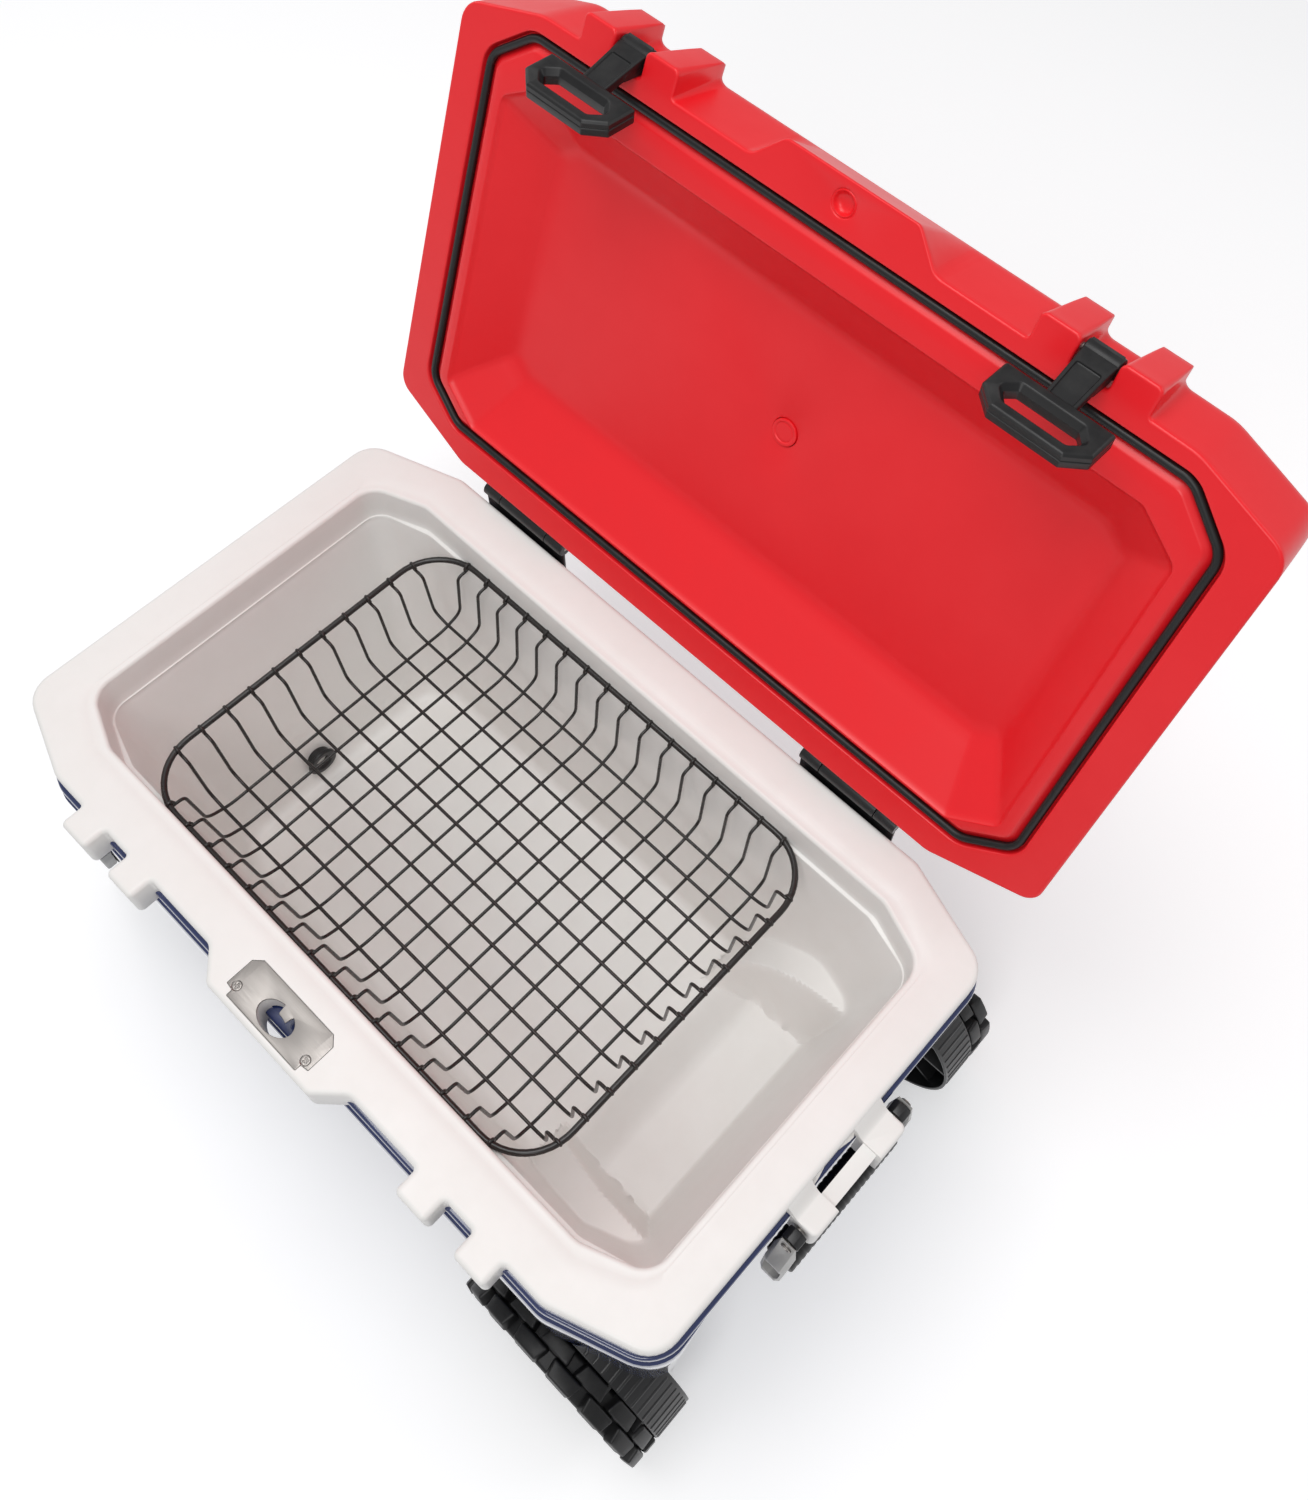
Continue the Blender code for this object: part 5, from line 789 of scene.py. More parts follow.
LOCK_HOLE = np.array(circle(48, LOCK_HOLE_HALF_X, (0, LOCK_HOLE_Y), LOCK_HOLE_HALF_Y))
LINER_MESH = combined(helper(LINER_BUILD), ("DIFFERENCE", [capped([at_height(LOCK_HOLE, z) for z in (0.30, 0.40)])]))
placed("liner_moulding", LINER_MESH, "white_moulding", "body", "liner", "rim", degrees=32)


# %% [markdown]
# ## The red lid
# The lid is two mouldings: a shell with the flat flange, four lugs for the latches and a tab in the middle, and a
# pan let into it. Both are made closed, with heights above the rim, and then turned open about the hinge by one
# matrix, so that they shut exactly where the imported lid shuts. Lugs and tab fade into the crown. A groove runs
# round the flange, and from there a sloped band leads up to the frame of the pan.

# %% Lid shell
HINGE = Vector((0, 0.2478, 0.3809))
LID_OPEN = (Matrix.Translation(HINGE) @ Matrix.Rotation(math.radians(-110.8), 4, "X")
            @ Matrix.Translation(-HINGE))
LID_EDGE = octagon(0.406, 0.2258, 0.2375, 0.1985, 0.202, 0.3185, 0.305)
LID_EDGE_RADII = [0.060, 0.024, 0.020, 0.030, 0.030, 0.020, 0.024, 0.060]
GROOVE = octagon(0.373, 0.211, 0.207, 0.172, 0.172, 0.325, 0.325)
LID_COUNTS = [14, 40, 14, 90, 14, 40, 14, 90]
LID_LOW = RIM_Z + 0.0003
LID_FRONT = 0.2265
LID_WALL_HIGH = 0.066
CROWN_OFFSET = 0.0105
# The lid's outside from the flange up the wall and over the crown, as (moved in, height).
LID_SIDE = [(0.0030, 0.0)] + quarter(0.0022, 5)[::-1] + [
    (0.0004, 0.006), (0.0010, 0.016), (0.0020, 0.032), (0.0030, 0.048), (0.0038, 0.058), (0.0042, 0.063),
    (0.0050, 0.0672), (0.0070, 0.0700), (0.0105, 0.0722), (0.0160, 0.0742), (0.0240, 0.0762), (0.0300, 0.0773),
    (0.0340, 0.0778), (0.0420, 0.0780), (0.0700, 0.0780)]
GROOVE_SIDE = [
    (-0.0030, 0.0), (-0.0014, 0.0), (-0.0006, 0.0002), (-0.0001, 0.0008), (0.0002, 0.0018), (0.0006, 0.0058),
    (0.0014, 0.0069), (0.0026, 0.0072), (0.0058, 0.0072), (0.0058, 0.0076), (-0.0045, 0.0082), (-0.0060, 0.0090),
    (-0.0060, 0.0110), (0.0100, 0.0740)]
TAB_RING = [
    (0.0122, 0.0), (0.0118, 0.0002), (0.0113, 0.0010), (0.0108, 0.0012), (0.0103, 0.0009), (0.0100, 0.0003),
    (0.0097, 0.0003), (0.0092, 0.0010), (0.0085, 0.0030), (0.0070, 0.0047), (0.0050, 0.0055), (0.0020, 0.0058)]


def lid_rows(pairs):
    """Rows of the lid's outside: the outline with lugs and tab, moved in and raised, the lugs fading into the top.
    Past an offset that the lugs' width allows, a row is the last offset outline drawn smaller."""
    corners, radii = with_front(LID_EDGE, LID_FRONT, 0.2505, 0.0055, 0.0035, 0.090, 0.064, 0.254, 0.010, 0.024)
    rows = []
    for inward, height in pairs:
        offset = min(inward, CROWN_OFFSET)
        points = path(corners, radii[:-8] + LID_EDGE_RADII, 2, 8, offset)
        share = min(max(height / LID_WALL_HIGH, 0.0), 1.0)
        for point in points:
            x, y = point
            if abs(x) < 0.0925:
                keep = max(1.0 - height / LID_WALL_HIGH, 0.0)
            elif height <= LID_WALL_HIGH:
                keep = 1.0 - 0.28 * share
            else:
                keep = max(0.72 * (0.0778 - height) / 0.0118, 0.0)
            y += max(-LID_FRONT + offset - y, 0.0) * (1 - keep)
            if y < -0.12:
                y -= 0.0075 * share * min((-y - 0.12) / 0.08, 1.0)
            point[0] = x * (1 - (inward - offset) / 0.406)
            point[1] = y * (1 - (inward - offset) / 0.230)
        rows.append(at_height(points, LID_LOW + height))
    return rows


def groove_rows(pairs):
    return stack((GROOVE, 0.030), [(move, LID_LOW + height) for move, height in pairs], 8, LID_COUNTS)


def dimple_rows(centre, sizes):
    return [at_height(circle(40, radius, centre), LID_LOW + height) for radius, height in sizes]


def make_lid_shell():
    build = bmesh.new()
    skin = add_rows(build, lid_rows(LID_SIDE))
    fill(build, skin[-1])
    groove = add_rows(build, groove_rows(GROOVE_SIDE))
    fill(build, groove[-1])
    ring = add_rows(build, dimple_rows((0, -0.2345), TAB_RING))
    build.faces.new(ring[-1])
    fill(build, skin[0], groove[0], ring[0])
    finished(build, "lid_shell_moulding", "red_moulding", "lid", "lid_shell", 34, LID_OPEN)


make_lid_shell()


# %% [markdown]
# ## The lid's pan, plug and gasket
# The pan's mouth and floor are octagons of unlike shape, so its long walls slope more than its ends and meet in
# mitred corners. Its skin is lofted between the two with a small round at the mouth and a larger one at the floor.
# The plug closes the hole through which the foam was poured, and the gasket is a round rubber cord in the groove.

# %% Pan, plug and gasket
PAN_MOUTH = octagon(0.345, 0.169, 0.190, 0.142, 0.160, 0.303, 0.303)
PAN_FLOOR = octagon(0.299, 0.118, 0.126, 0.104, 0.112, 0.278, 0.278)
PAN_DEEP = 0.042
PLUG_PLACE = (0.004, -0.006)


def pan_rows(triples):
    """Rows between the pan's mouth and floor, each by its share of the way, height and move inwards."""
    return [at_height(path(between(PAN_MOUTH, PAN_FLOOR, share), 0.012, LID_COUNTS, 8, move), LID_LOW + height)
            for share, height, move in triples]


def make_pan():
    build = bmesh.new()
    rows = groove_rows([(0.0062, 0.0078), (0.0062, 0.0072), (0.0092, 0.0071), (0.0100, 0.0066), (0.0106, 0.0060),
                        (0.0130, 0.0040), (0.0154, 0.0021), (0.0164, 0.0014), (0.0172, 0.0011)])
    for share in (0.50, 0.86):
        rows += stack((between(GROOVE, PAN_MOUTH, share), 0.030 - 0.018 * share),
                      [(0.0172 * (1 - share), LID_LOW + 0.0010)], 8, LID_COUNTS)
    rows += pan_rows([(0.0, 0.0010, -0.0016), (0.0, 0.0012, -0.0008), (0.0, 0.0018, -0.0002), (0.0, 0.0028, 0.0002)])
    rows += pan_rows([(k / 11 * 0.86, 0.0028 + (PAN_DEEP - 0.0028) * (k / 11) * 0.86, 0.0) for k in range(1, 11)])
    rows += pan_rows([(share, PAN_DEEP * height, move) for share, height, move in (
        (0.90, 0.925, 0.0006), (0.94, 0.960, 0.0016), (0.97, 0.984, 0.0034), (0.99, 0.996, 0.0058),
        (1.0, 1.0, 0.0085), (1.0, 1.0, 0.0100))])
    inside = add_rows(build, rows)
    hole = add_rows(build, dimple_rows(PLUG_PLACE, [(0.0146, PAN_DEEP), (0.0137, PAN_DEEP + 0.0003),
                                                    (0.0134, PAN_DEEP + 0.0010), (0.0134, PAN_DEEP + 0.0034)]))
    fill(build, inside[-1], hole[0])
    outside = add_rows(build, pan_rows([
        (1.0, PAN_DEEP + 0.0034, 0.004), (1.0, PAN_DEEP + 0.0034, -0.0015), (0.94, PAN_DEEP * 0.985, -0.0034),
        (0.15, 0.0113, -0.0034)]) + groove_rows([(0.0100, 0.0113), (0.0000, 0.0113), (0.0000, 0.0080)]))
    fill(build, outside[0], hole[-1])
    last, first = outside[-1], inside[0]
    for i in range(len(last)):
        after = (i + 1) % len(last)
        build.faces.new((last[i], last[after], first[after], first[i]))
    finished(build, "lid_pan_moulding", "red_moulding", "lid", "lid_pan", 40, LID_OPEN)


def make_plug():
    build = bmesh.new()
    base = LID_LOW + PAN_DEEP
    turned(build, "Z", PLUG_PLACE, soften([
        (0.0, base - 0.0006), (0.0080, base - 0.0007), (0.0092, base - 0.0002), (0.0104, base - 0.0014),
        (0.0128, base - 0.0013), (0.0130, base + 0.0075), (0.0, base + 0.0078),
    ], 0.0006), 40)
    finished(build, "lid_plug_disc", "red_moulding", "lid", "lid_plug", turn=LID_OPEN)


def make_gasket():
    build = bmesh.new()
    tube(build, at_height(path(GROOVE, 0.030, LID_COUNTS, 8, 0.0060), RIM_Z + 0.0045), 0.0037, 16)
    finished(build, "lid_gasket_cord", "black_rubber", "lid", "lid_gasket", 60, LID_OPEN)


def make_lid_foam():
    """The foam between shell and pan, drawn inside both."""
    build = bmesh.new()
    skin = add_rows(build, stack((LID_EDGE, 0.024), [(move, LID_LOW + height) for move, height in (
        (0.0070, 0.0128), (0.0080, 0.030), (0.0095, 0.062), (0.0140, 0.0680), (0.0260, 0.0720), (0.0330, 0.0733))],
        8, LID_COUNTS))
    fill(build, skin[-1])
    space = add_rows(build, pan_rows([(0.0, 0.0128, -0.0060), (0.86, PAN_DEEP * 0.86 + 0.0048, -0.0050),
                                      (1.0, PAN_DEEP + 0.0084, -0.0040)]))
    fill(build, space[-1])
    fill(build, skin[0], space[0])
    finished(build, "lid_foam_filling", "insulation_foam", "lid", "lid_foam", 40, LID_OPEN)


make_pan()
make_plug()
make_gasket()
make_lid_foam()


# %% [markdown]
# ## The rubber latches
# A latch is one rubber moulding: a knuckle on a steel pin, a strap with a recessed panel between raised borders,
# and a wide grip with a six-sided finger hole. The strap is a slab with a sunk field, and the grip a slab of three
# layers with rounded edges, so that the parting line round its side shows.

# %% Latches
LATCH_PIN = Vector((-0.239, 0.382))
STRAP_LEAN, GRIP_LEAN = 31.5, 16.3
STRAP_FRONT = 0.0083
STRAP = ([(-0.0150, 0.0035), (0.0150, 0.0035), (0.0138, 0.016), (0.0122, 0.0555), (-0.0122, 0.0555),
          (-0.0138, 0.016)], 0.002)
STRAP_FIELD = ([(-0.0105, 0.0165), (0.0105, 0.0165), (0.0094, 0.0520), (-0.0094, 0.0520)], 0.0018)
SHOULDER = [(-0.0060, -0.0079), (0.030, -0.0050), (0.030, -0.0004), (0.012, 0.0060), (0.0, 0.0082),
            (-0.0055, 0.0055)]
GRIP = ([(-0.046, 0), (0.046, 0), (0.046, 0.029), (0.030, 0.043), (-0.030, 0.043), (-0.046, 0.029)], 0.0022)
GRIP_SIDE = [(0.0030, -0.0070), (0.0016, -0.0067), (0.0008, -0.0058), (0.0, -0.0048), (0.0, -0.0014),
             (0.0006, -0.0009), (0.0006, -0.0003), (0.0, 0.0002), (0.0, 0.0054), (0.0006, 0.0064), (0.0020, 0.0070)]
FINGER_HOLE = ([(-0.025, 0.013), (0.025, 0.013), (0.033, 0.0215), (0.025, 0.030), (-0.025, 0.030),
                (-0.033, 0.0215)], 0.0020)
FINGER_SIDE = [(-0.0050, -0.0070), (-0.0040, -0.0066), (-0.0034, -0.0058), (0.0, -0.0018), (0.0, 0.0052),
               (-0.0006, 0.0064), (-0.0016, 0.0070)]


def leaning(degrees):
    """The directions down a strap that leans by an angle, and out of its back."""
    down = Vector((math.sin(math.radians(degrees)), -math.cos(math.radians(degrees))))
    return down, Vector((-down.y, down.x))


def cross_place(centre_x, root, down, back):
    return Matrix(((1, 0, 0, centre_x), (0, down.x, back.x, root.x), (0, down.y, back.y, root.y), (0, 0, 0, 1)))


def make_latch(side, word):
    build = bmesh.new()
    down, back = leaning(STRAP_LEAN)
    grip_down, grip_back = leaning(GRIP_LEAN)
    strap = add_rows(build, stack(STRAP, [(move, -z) for move, z in round_side(0.0003, STRAP_FRONT, 0.0012, 3)], 4))
    fill(build, strap[0])
    panel = add_rows(build, stack(STRAP_FIELD, [(move, -STRAP_FRONT + rise) for move, rise in (
        (-0.0003, 0.0), (0.0, 0.0003), (0.0005, 0.0012), (0.0012, 0.0014))], 4))
    fill(build, strap[-1], panel[0])
    fill(build, panel[-1])
    turned(build, "X", (0, 0), soften([(0.0034, -0.0150), (0.0086, -0.0150), (0.0086, 0.0150), (0.0034, 0.0150)],
                                      0.0012), 32)
    web = add_rows(build, [[(x, u * size, v * size) for u, v in soften(SHOULDER, 0.002)] for x, size in (
        (-0.0136, 0.96), (-0.0132, 1.0), (0.0132, 1.0), (0.0136, 0.96))])
    build.faces.new(list(reversed(web[0])))
    build.faces.new(web[-1])
    moved(build, cross_place(side * LATCH_X, LATCH_PIN, down, back))
    root = LATCH_PIN - back * STRAP_FRONT + down * 0.0517 + back * 0.004 - grip_down * 0.002
    grip, bore = add_rows(build, stack(GRIP, GRIP_SIDE, 4)), add_rows(build, stack(FINGER_HOLE, FINGER_SIDE, 4))
    fill(build, grip[0], bore[0])
    fill(build, grip[-1], bore[-1])
    moved(build, cross_place(side * LATCH_X, root, grip_down, grip_back), grip + bore)
    finished(build, f"latch_{word}_moulding", "black_rubber", f"latch_{word}", f"latch_{word}", 38, LID_OPEN)


make_latch(-1, "left")
make_latch(1, "right")


# %% [markdown]
# ## The wire basket
# Sixteen wires cross eleven, each bent at the foot and the shoulder, with their ends hooked over a thicker rim
# wire, the whole dipped in a dark coat. The wires are drawn as a net of edges, and Geometry Nodes turns the edges
# into round wire: one tree with the radius as its input makes the grid and the rim alike, and each knot gets a
# small blob of weld and coat.

# %% Basket
BASKET_X = -0.023
WIRE_PITCH = 0.029
BASKET_RIM_Z = 0.3321
BASKET_HALF = (0.261, 0.185)
BASKET_CORNER = 0.055


def wire_tree(name, look):
    """Mesh edges into round wires, with a blob of coating at chosen points."""
    tree, given, end = new_group(name, "GeometryNodeTree", {
        "Geometry": "Geometry", "Wire Radius": "Float", "Sides": "Int", "Knot Radius": "Float", "Seed": "Int",
    }, {"Geometry": "Geometry"})
    lines = node(tree, "GeometryNodeMeshToCurve", {"Mesh": given["Geometry"]})
    round_wire = node(tree, "GeometryNodeCurvePrimitiveCircle", {"Resolution": given["Sides"],
                                                                 "Radius": given["Wire Radius"]})
    sweep = node(tree, "GeometryNodeCurveToMesh", {
        "Curve": lines.outputs["Curve"], "Profile Curve": round_wire.outputs["Curve"], "Fill Caps": True})
    blob = node(tree, "GeometryNodeMeshIcoSphere", {"Radius": given["Knot Radius"], "Subdivisions": 2})
    mark = node(tree, "GeometryNodeInputNamedAttribute", {"Name": "knot"}, data_type="BOOLEAN")
    size = node(tree, "FunctionNodeRandomValue", {2: 0.85, 3: 1.15, "Seed": given["Seed"]}, data_type="FLOAT")
    knots = node(tree, "GeometryNodeInstanceOnPoints", {
        "Points": given["Geometry"], "Instance": blob.outputs["Mesh"], "Selection": mark.outputs["Attribute"],
        "Scale": size.outputs[1]})
    both = node(tree, "GeometryNodeJoinGeometry", {0: sweep.outputs["Mesh"]})
    feed(tree, both.inputs[0], knots.outputs["Instances"])
    real = node(tree, "GeometryNodeRealizeInstances", {0: both.outputs[0]})
    finish = node(tree, "GeometryNodeSetMaterial", {"Geometry": real.outputs[0], "Material": look})
    feed(tree, end[0], finish.outputs[0])
    return tree


def grown(thing, tree, values):
    """The mesh that a tree makes from an object, with the tree's inputs set by name."""
    step = thing.modifiers.new("grow", "NODES")
    step.node_group = tree
    for item in tree.interface.items_tree:
        if item.in_out == "INPUT" and item.name in values:
            step[item.identifier] = values[item.name]
    return evaluated(thing)


def wires(tree, lines, closed, radius, sides, knot_radius, knots=()):
    """Lines of points grown into wires; the points listed in knots are marked."""
    verts, edges = [], []
    for points in lines:
        first = len(verts)
        verts += [tuple(map(float, p)) for p in points]
        edges += [(first + i, first + i + 1) for i in range(len(points) - 1)]
        if closed:
            edges.append((len(verts) - 1, first))
    marks = len(verts)
    verts += knots
    mesh = bpy.data.meshes.new("lines")
    mesh.from_pydata(verts, edges, [])
    flag = mesh.attributes.new("knot", "BOOLEAN", "POINT")
    flag.data.foreach_set("value", [i >= marks for i in range(len(verts))])
    return grown(linked("lines", mesh), tree, {
        "Wire Radius": radius, "Sides": sides, "Knot Radius": knot_radius, "Seed": 3})


def joined(meshes):
    """One build from several meshes, which are removed."""
    build = bmesh.new()
    for mesh in meshes:
        build.from_mesh(mesh)
        bpy.data.meshes.remove(mesh)
    return build


def rim_reach(along, half_along, half_across):
    """How far out the rim lies across, at a place along it."""
    past = abs(along) - (half_along - BASKET_CORNER)
    if past <= 0:
        return half_across
    return half_across - BASKET_CORNER + math.sqrt(max(BASKET_CORNER ** 2 - past ** 2, 0.0))


def wire_side(reach, low, side, lift):
    """One end of a wire, from the rim down to the floor, as (out, z)."""
    return [(side * (reach + out), BASKET_RIM_Z + up) for out, up in (
        (-0.0046, -0.0016), (-0.0030, 0.0034), (0.0016, 0.0034), (0.0026, -0.0008), (-0.0020, -0.0048),
        (-0.0150, -0.0060), (-0.0205, -0.0660), (-low, -0.0750 + lift))]


def bent(points, radius, steps):
    """An open line with its inner corners rounded."""
    spots = [Vector(point) for point in points]
    line = spots[:1]
    for before, here, after in zip(spots, spots[1:], spots[2:]):
        line += round_corner(before, here, after, radius, steps)
    return line + spots[-1:]


def make_basket():
    tree = wire_tree("round_wire", LOOKS["coated_wire"])
    lines = []
    for count, turn, low, lift in ((16, 1, 0.045, 0.0), (11, -1, 0.036, 0.0028)):
        for i in range(count):
            along = WIRE_PITCH * (i - (count - 1) / 2)
            reach = rim_reach(along, *BASKET_HALF[::turn])
            sides = wire_side(reach, low, -1, lift) + wire_side(reach, low, 1, lift)[::-1]
            points = [(*(along, out)[::turn], z) for out, z in sides]
            lines.append(bent([(BASKET_X + x, y, z) for x, y, z in points], 0.009, 5))
    knots = [(BASKET_X + WIRE_PITCH * (i - 7.5), WIRE_PITCH * (j - 5), BASKET_RIM_Z - 0.0737)
             for i in range(16) for j in range(11)]
    half_x, half_y = BASKET_HALF
    corners = [(half_x, -half_y), (half_x, half_y), (-half_x, half_y), (-half_x, -half_y)]
    rim_line = [(BASKET_X + x, y, BASKET_RIM_Z) for x, y in path(corners, BASKET_CORNER, 24, 12)]
    build = joined([wires(tree, lines, False, 0.0017, 8, 0.0019, knots),
                    wires(tree, [rim_line], True, 0.0031, 12, 0.001)])
    bmesh.ops.recalc_face_normals(build, faces=build.faces[:])
    placed("wire_basket_net", mesh_of(build, "wire_basket_net"), "coated_wire", "basket", "wire_basket", degrees=60)


make_basket()


# %% [markdown]
# ## The navy tub
# The outer tub is a drafted shell with a rolled lip just under the rim, a groove and a slight bulge below the
# lip, two wheel bays and a flat underside. The drafted skin is lofted finely, and the bays, pads and bosses are
# cut and joined with exact booleans, because they meet the skin along curves that no loft would follow. A small
# bevel then takes the sharpness from the mouths of the bays. The foam that fills the space to the liner is a
# third skin inside the other two.

# %% Outer tub
TUB_TOP = 0.346
TUB_COUNTS = [10, 12, 10, 20, 10, 12, 10, 20]
BAY_RADIUS = 0.125
BAY_SIDE = 0.188
TOW_PIVOT = (-0.300, 0.250)
DRAIN = (-0.019, 0.086)
HINGE_X = 0.215
LEAF_SCREW = (0.036, 0.325)
FOOT_X, FOOT_Y, FOOT_HALF = (-0.386, -0.338), 0.165, 0.036
# The tub's skin from its underside to the lip's top: height, move inwards, flare in front, swell.
TUB_SIDE = (
    [(0.0, 0.012, 0.0023), (0.0008, 0.0085, 0.0023), (0.0035, 0.0035, 0.0023), (0.0080, 0.0008, 0.0023),
     (0.0130, 0.0, 0.0023), (0.0600, 0.0, 0.0023)]
    + [(0.0600 + 0.2020 * k / 8, 0.0, 0.0023 - 0.0004 * k / 8) for k in range(1, 9)]
    + [(z, 0.0, 0.0019, swell) for z, swell in (
        (0.2680, 0.0005), (0.2740, 0.0010), (0.2800, 0.0014), (0.2860, 0.0018), (0.2930, 0.0021), (0.3000, 0.0022),
        (0.3070, 0.0022), (0.3130, 0.0020), (0.3180, 0.0017), (0.3220, 0.0013), (0.3250, 0.0009))]
    + [(0.3274, 0.0002, 0.0018, 0.0004), (0.3286, 0.0010, 0.0014), (0.3292, 0.0018, 0.0006), (0.3300, 0.0024),
       (0.3330, 0.0026), (0.3348, 0.0018), (0.3356, 0.0008), (0.3368, 0.0001), (0.3390,), (0.3425, 0.0001),
       (0.3442, 0.0004), (0.3452, 0.0009), (0.3458, 0.0016), (TUB_TOP, 0.0024), (TUB_TOP, 0.0060)])


def tub_row(z, move=0.0, flare=0.0, swell=0.0):
    """A row of the tub's skin. Its ends and back taper. Its front flares by an amount, and swells right of the
    tow handle's arm, which needs the room as it swings."""
    draft = 0.014 * (TUB_TOP - z) / TUB_TOP
    tapered, upright, swelled = [path(COLLAR, 0.034, TUB_COUNTS, 8, move + inward - 0.0042 - out)
                                 for inward, out in ((draft, 0.0), (0.0, flare), (0.0, flare + swell))]
    right = np.clip((tapered[:, 0] + 0.27) / 0.06, 0, 1)[:, None]
    upright = upright * (1 - right) + swelled * right
    share = np.clip((-tapered[:, 1] - 0.15) / 0.05, 0, 1)[:, None]
    share = share * share * (3 - 2 * share)
    return at_height(tapered * (1 - share) + upright * share, z)


def tub_solid(*rows):
    return capped([tub_row(*row) for row in rows])


def bay_rods(grow, end):
    """The space of both wheels, larger by an amount, out to an end."""
    return [rod("Y", AXLE, BAY_RADIUS + grow, s * (BAY_SIDE - grow), s * end) for s in (-1, 1)]


def make_tub():
    tub = tub_solid(*TUB_SIDE)
    space = tub_solid((0.004, 0.014), (0.016, 0.004), (0.3438, 0.0042), (0.3444, 0.018), (TUB_TOP + 0.01, 0.018))
    bays = bay_rods(0.0, 0.30)
    inner = linked("inner", combined(space, ("DIFFERENCE", bay_rods(0.004, 0.32))))
    added, holes = [], [block((-0.062, -0.2520, 0.2680), (0.122, -0.2436, 0.3240)),
                        rod("Y", AXLE, 0.0128, -0.25, 0.25, 40), rod("X", DRAIN, 0.0148, -0.43, -0.35, 40)]
    for s in (-1, 1):
        pad_x = s * HINGE_X
        added.append(block((pad_x - 0.058, 0.232, 0.298), (pad_x + 0.058, 0.2432, 0.344), 0.0015))
    added += [rod("Y", TOW_PIVOT, 0.019, s * 0.235, s * 0.2457, 48) for s in (-1, 1)]
    added += [block((FOOT_X[0], s * FOOT_Y - FOOT_HALF, -0.0477), (FOOT_X[1], s * FOOT_Y + FOOT_HALF, 0.006), 0.003)
              for s in (-1, 1)]
    holes += [rod("Y", TOW_PIVOT, 0.0053, s * 0.20, s * 0.30, 24) for s in (-1, 1)]
    holes += [rod("Y", (s * HINGE_X + t * LEAF_SCREW[0], LEAF_SCREW[1]), 0.0028, 0.225, 0.25, 16)
              for s in (-1, 1) for t in (-1, 1)]
    mesh = combined(tub, ("UNION", added), ("DIFFERENCE", bays + [inner] + holes))
    placed("outer_tub_shell", bevelled(mesh, 0.0010, 3, 55), "navy_gloss", "body", "outer_tub", degrees=32)


make_tub()


# %% Foam core
def make_foam_core():
    """The foam between tub and liner, drawn inside both."""
    core = tub_solid((0.0046, 0.016), (0.016, 0.0046), (0.3434, 0.0046))
    inside = bmesh.new()
    made = add_rows(inside, stack((OPENING, MOUTH_RADIUS), [(-0.0085, 0.36)], 10, INSIDE_COUNTS)
                    + inside_rows(0.0085, 20, 20))
    fill(inside, made[0])
    bmesh.ops.remove_doubles(inside, verts=inside.verts[:], dist=0.00001)
    cuts = bay_rods(0.0046, 0.32) + [rod("Y", AXLE, 0.0131, -0.25, 0.25, 40), rod("X", DRAIN, 0.0149, -0.43, -0.29, 40)]
    mesh = combined(core, ("DIFFERENCE", [helper(inside)] + cuts))
    placed("foam_core_filling", mesh, "insulation_foam", "body", "foam_core", degrees=40)


make_foam_core()


# %% [markdown]
# ## All-terrain wheels
# Each wheel is a rubber tread of big blocks in two staggered rows, on a plastic hub whose drum runs inwards under
# the cooler, finely ribbed along its axis, with its inner end open and braced by radial ribs. Everything that
# repeats about the axle comes from one Geometry Nodes tree that turns copies of a block, a rib or a spoke.

# %% Copies about the axle
def turning_tree(name):
    """Copies of the geometry turned about Y through the origin, with a small fixed variation in size."""
    tree, given, end = new_group(name, "GeometryNodeTree", {
        "Geometry": "Geometry", "Count": "Int", "Phase": "Float", "Variation": "Float", "Seed": "Int",
        "Finish": "Material",
    }, {"Geometry": "Geometry"})
    spots = node(tree, "GeometryNodeMeshLine", {"Count": given["Count"], "Offset": (0, 0, 0)})
    index = node(tree, "GeometryNodeInputIndex")
    share = math_node(tree, "DIVIDE", index.outputs[0], given["Count"])
    angle = math_node(tree, "MULTIPLY", math_node(tree, "ADD", share, given["Phase"]), math.tau)
    turn = node(tree, "ShaderNodeCombineXYZ", {"Y": angle})
    low = math_node(tree, "SUBTRACT", 1.0, given["Variation"])
    vary = node(tree, "FunctionNodeRandomValue", {2: low, 3: 1.0, "Seed": given["Seed"]}, data_type="FLOAT")
    copies = node(tree, "GeometryNodeInstanceOnPoints", {
        "Points": spots.outputs["Mesh"], "Instance": given["Geometry"], "Rotation": turn.outputs[0],
        "Scale": vary.outputs[1]})
    real = node(tree, "GeometryNodeRealizeInstances", {0: copies.outputs[0]})
    finish = node(tree, "GeometryNodeSetMaterial", {"Geometry": real.outputs[0], "Material": given["Finish"]})
    feed(tree, end[0], finish.outputs[0])
    return tree


TURNING = turning_tree("copies_about_axle")


def turned_copies(thing, count, look, phase=0.0, variation=0.0, seed=5):
    """The mesh of a helper copied about Y; the helper is removed."""
    return grown(thing, TURNING, {"Count": count, "Phase": phase, "Variation": variation, "Seed": seed,
                                  "Finish": look})


print("tree", TURNING.name)


# %% Wheels
DRUM_RADIUS = 0.113
TREAD_Y = 0.25535
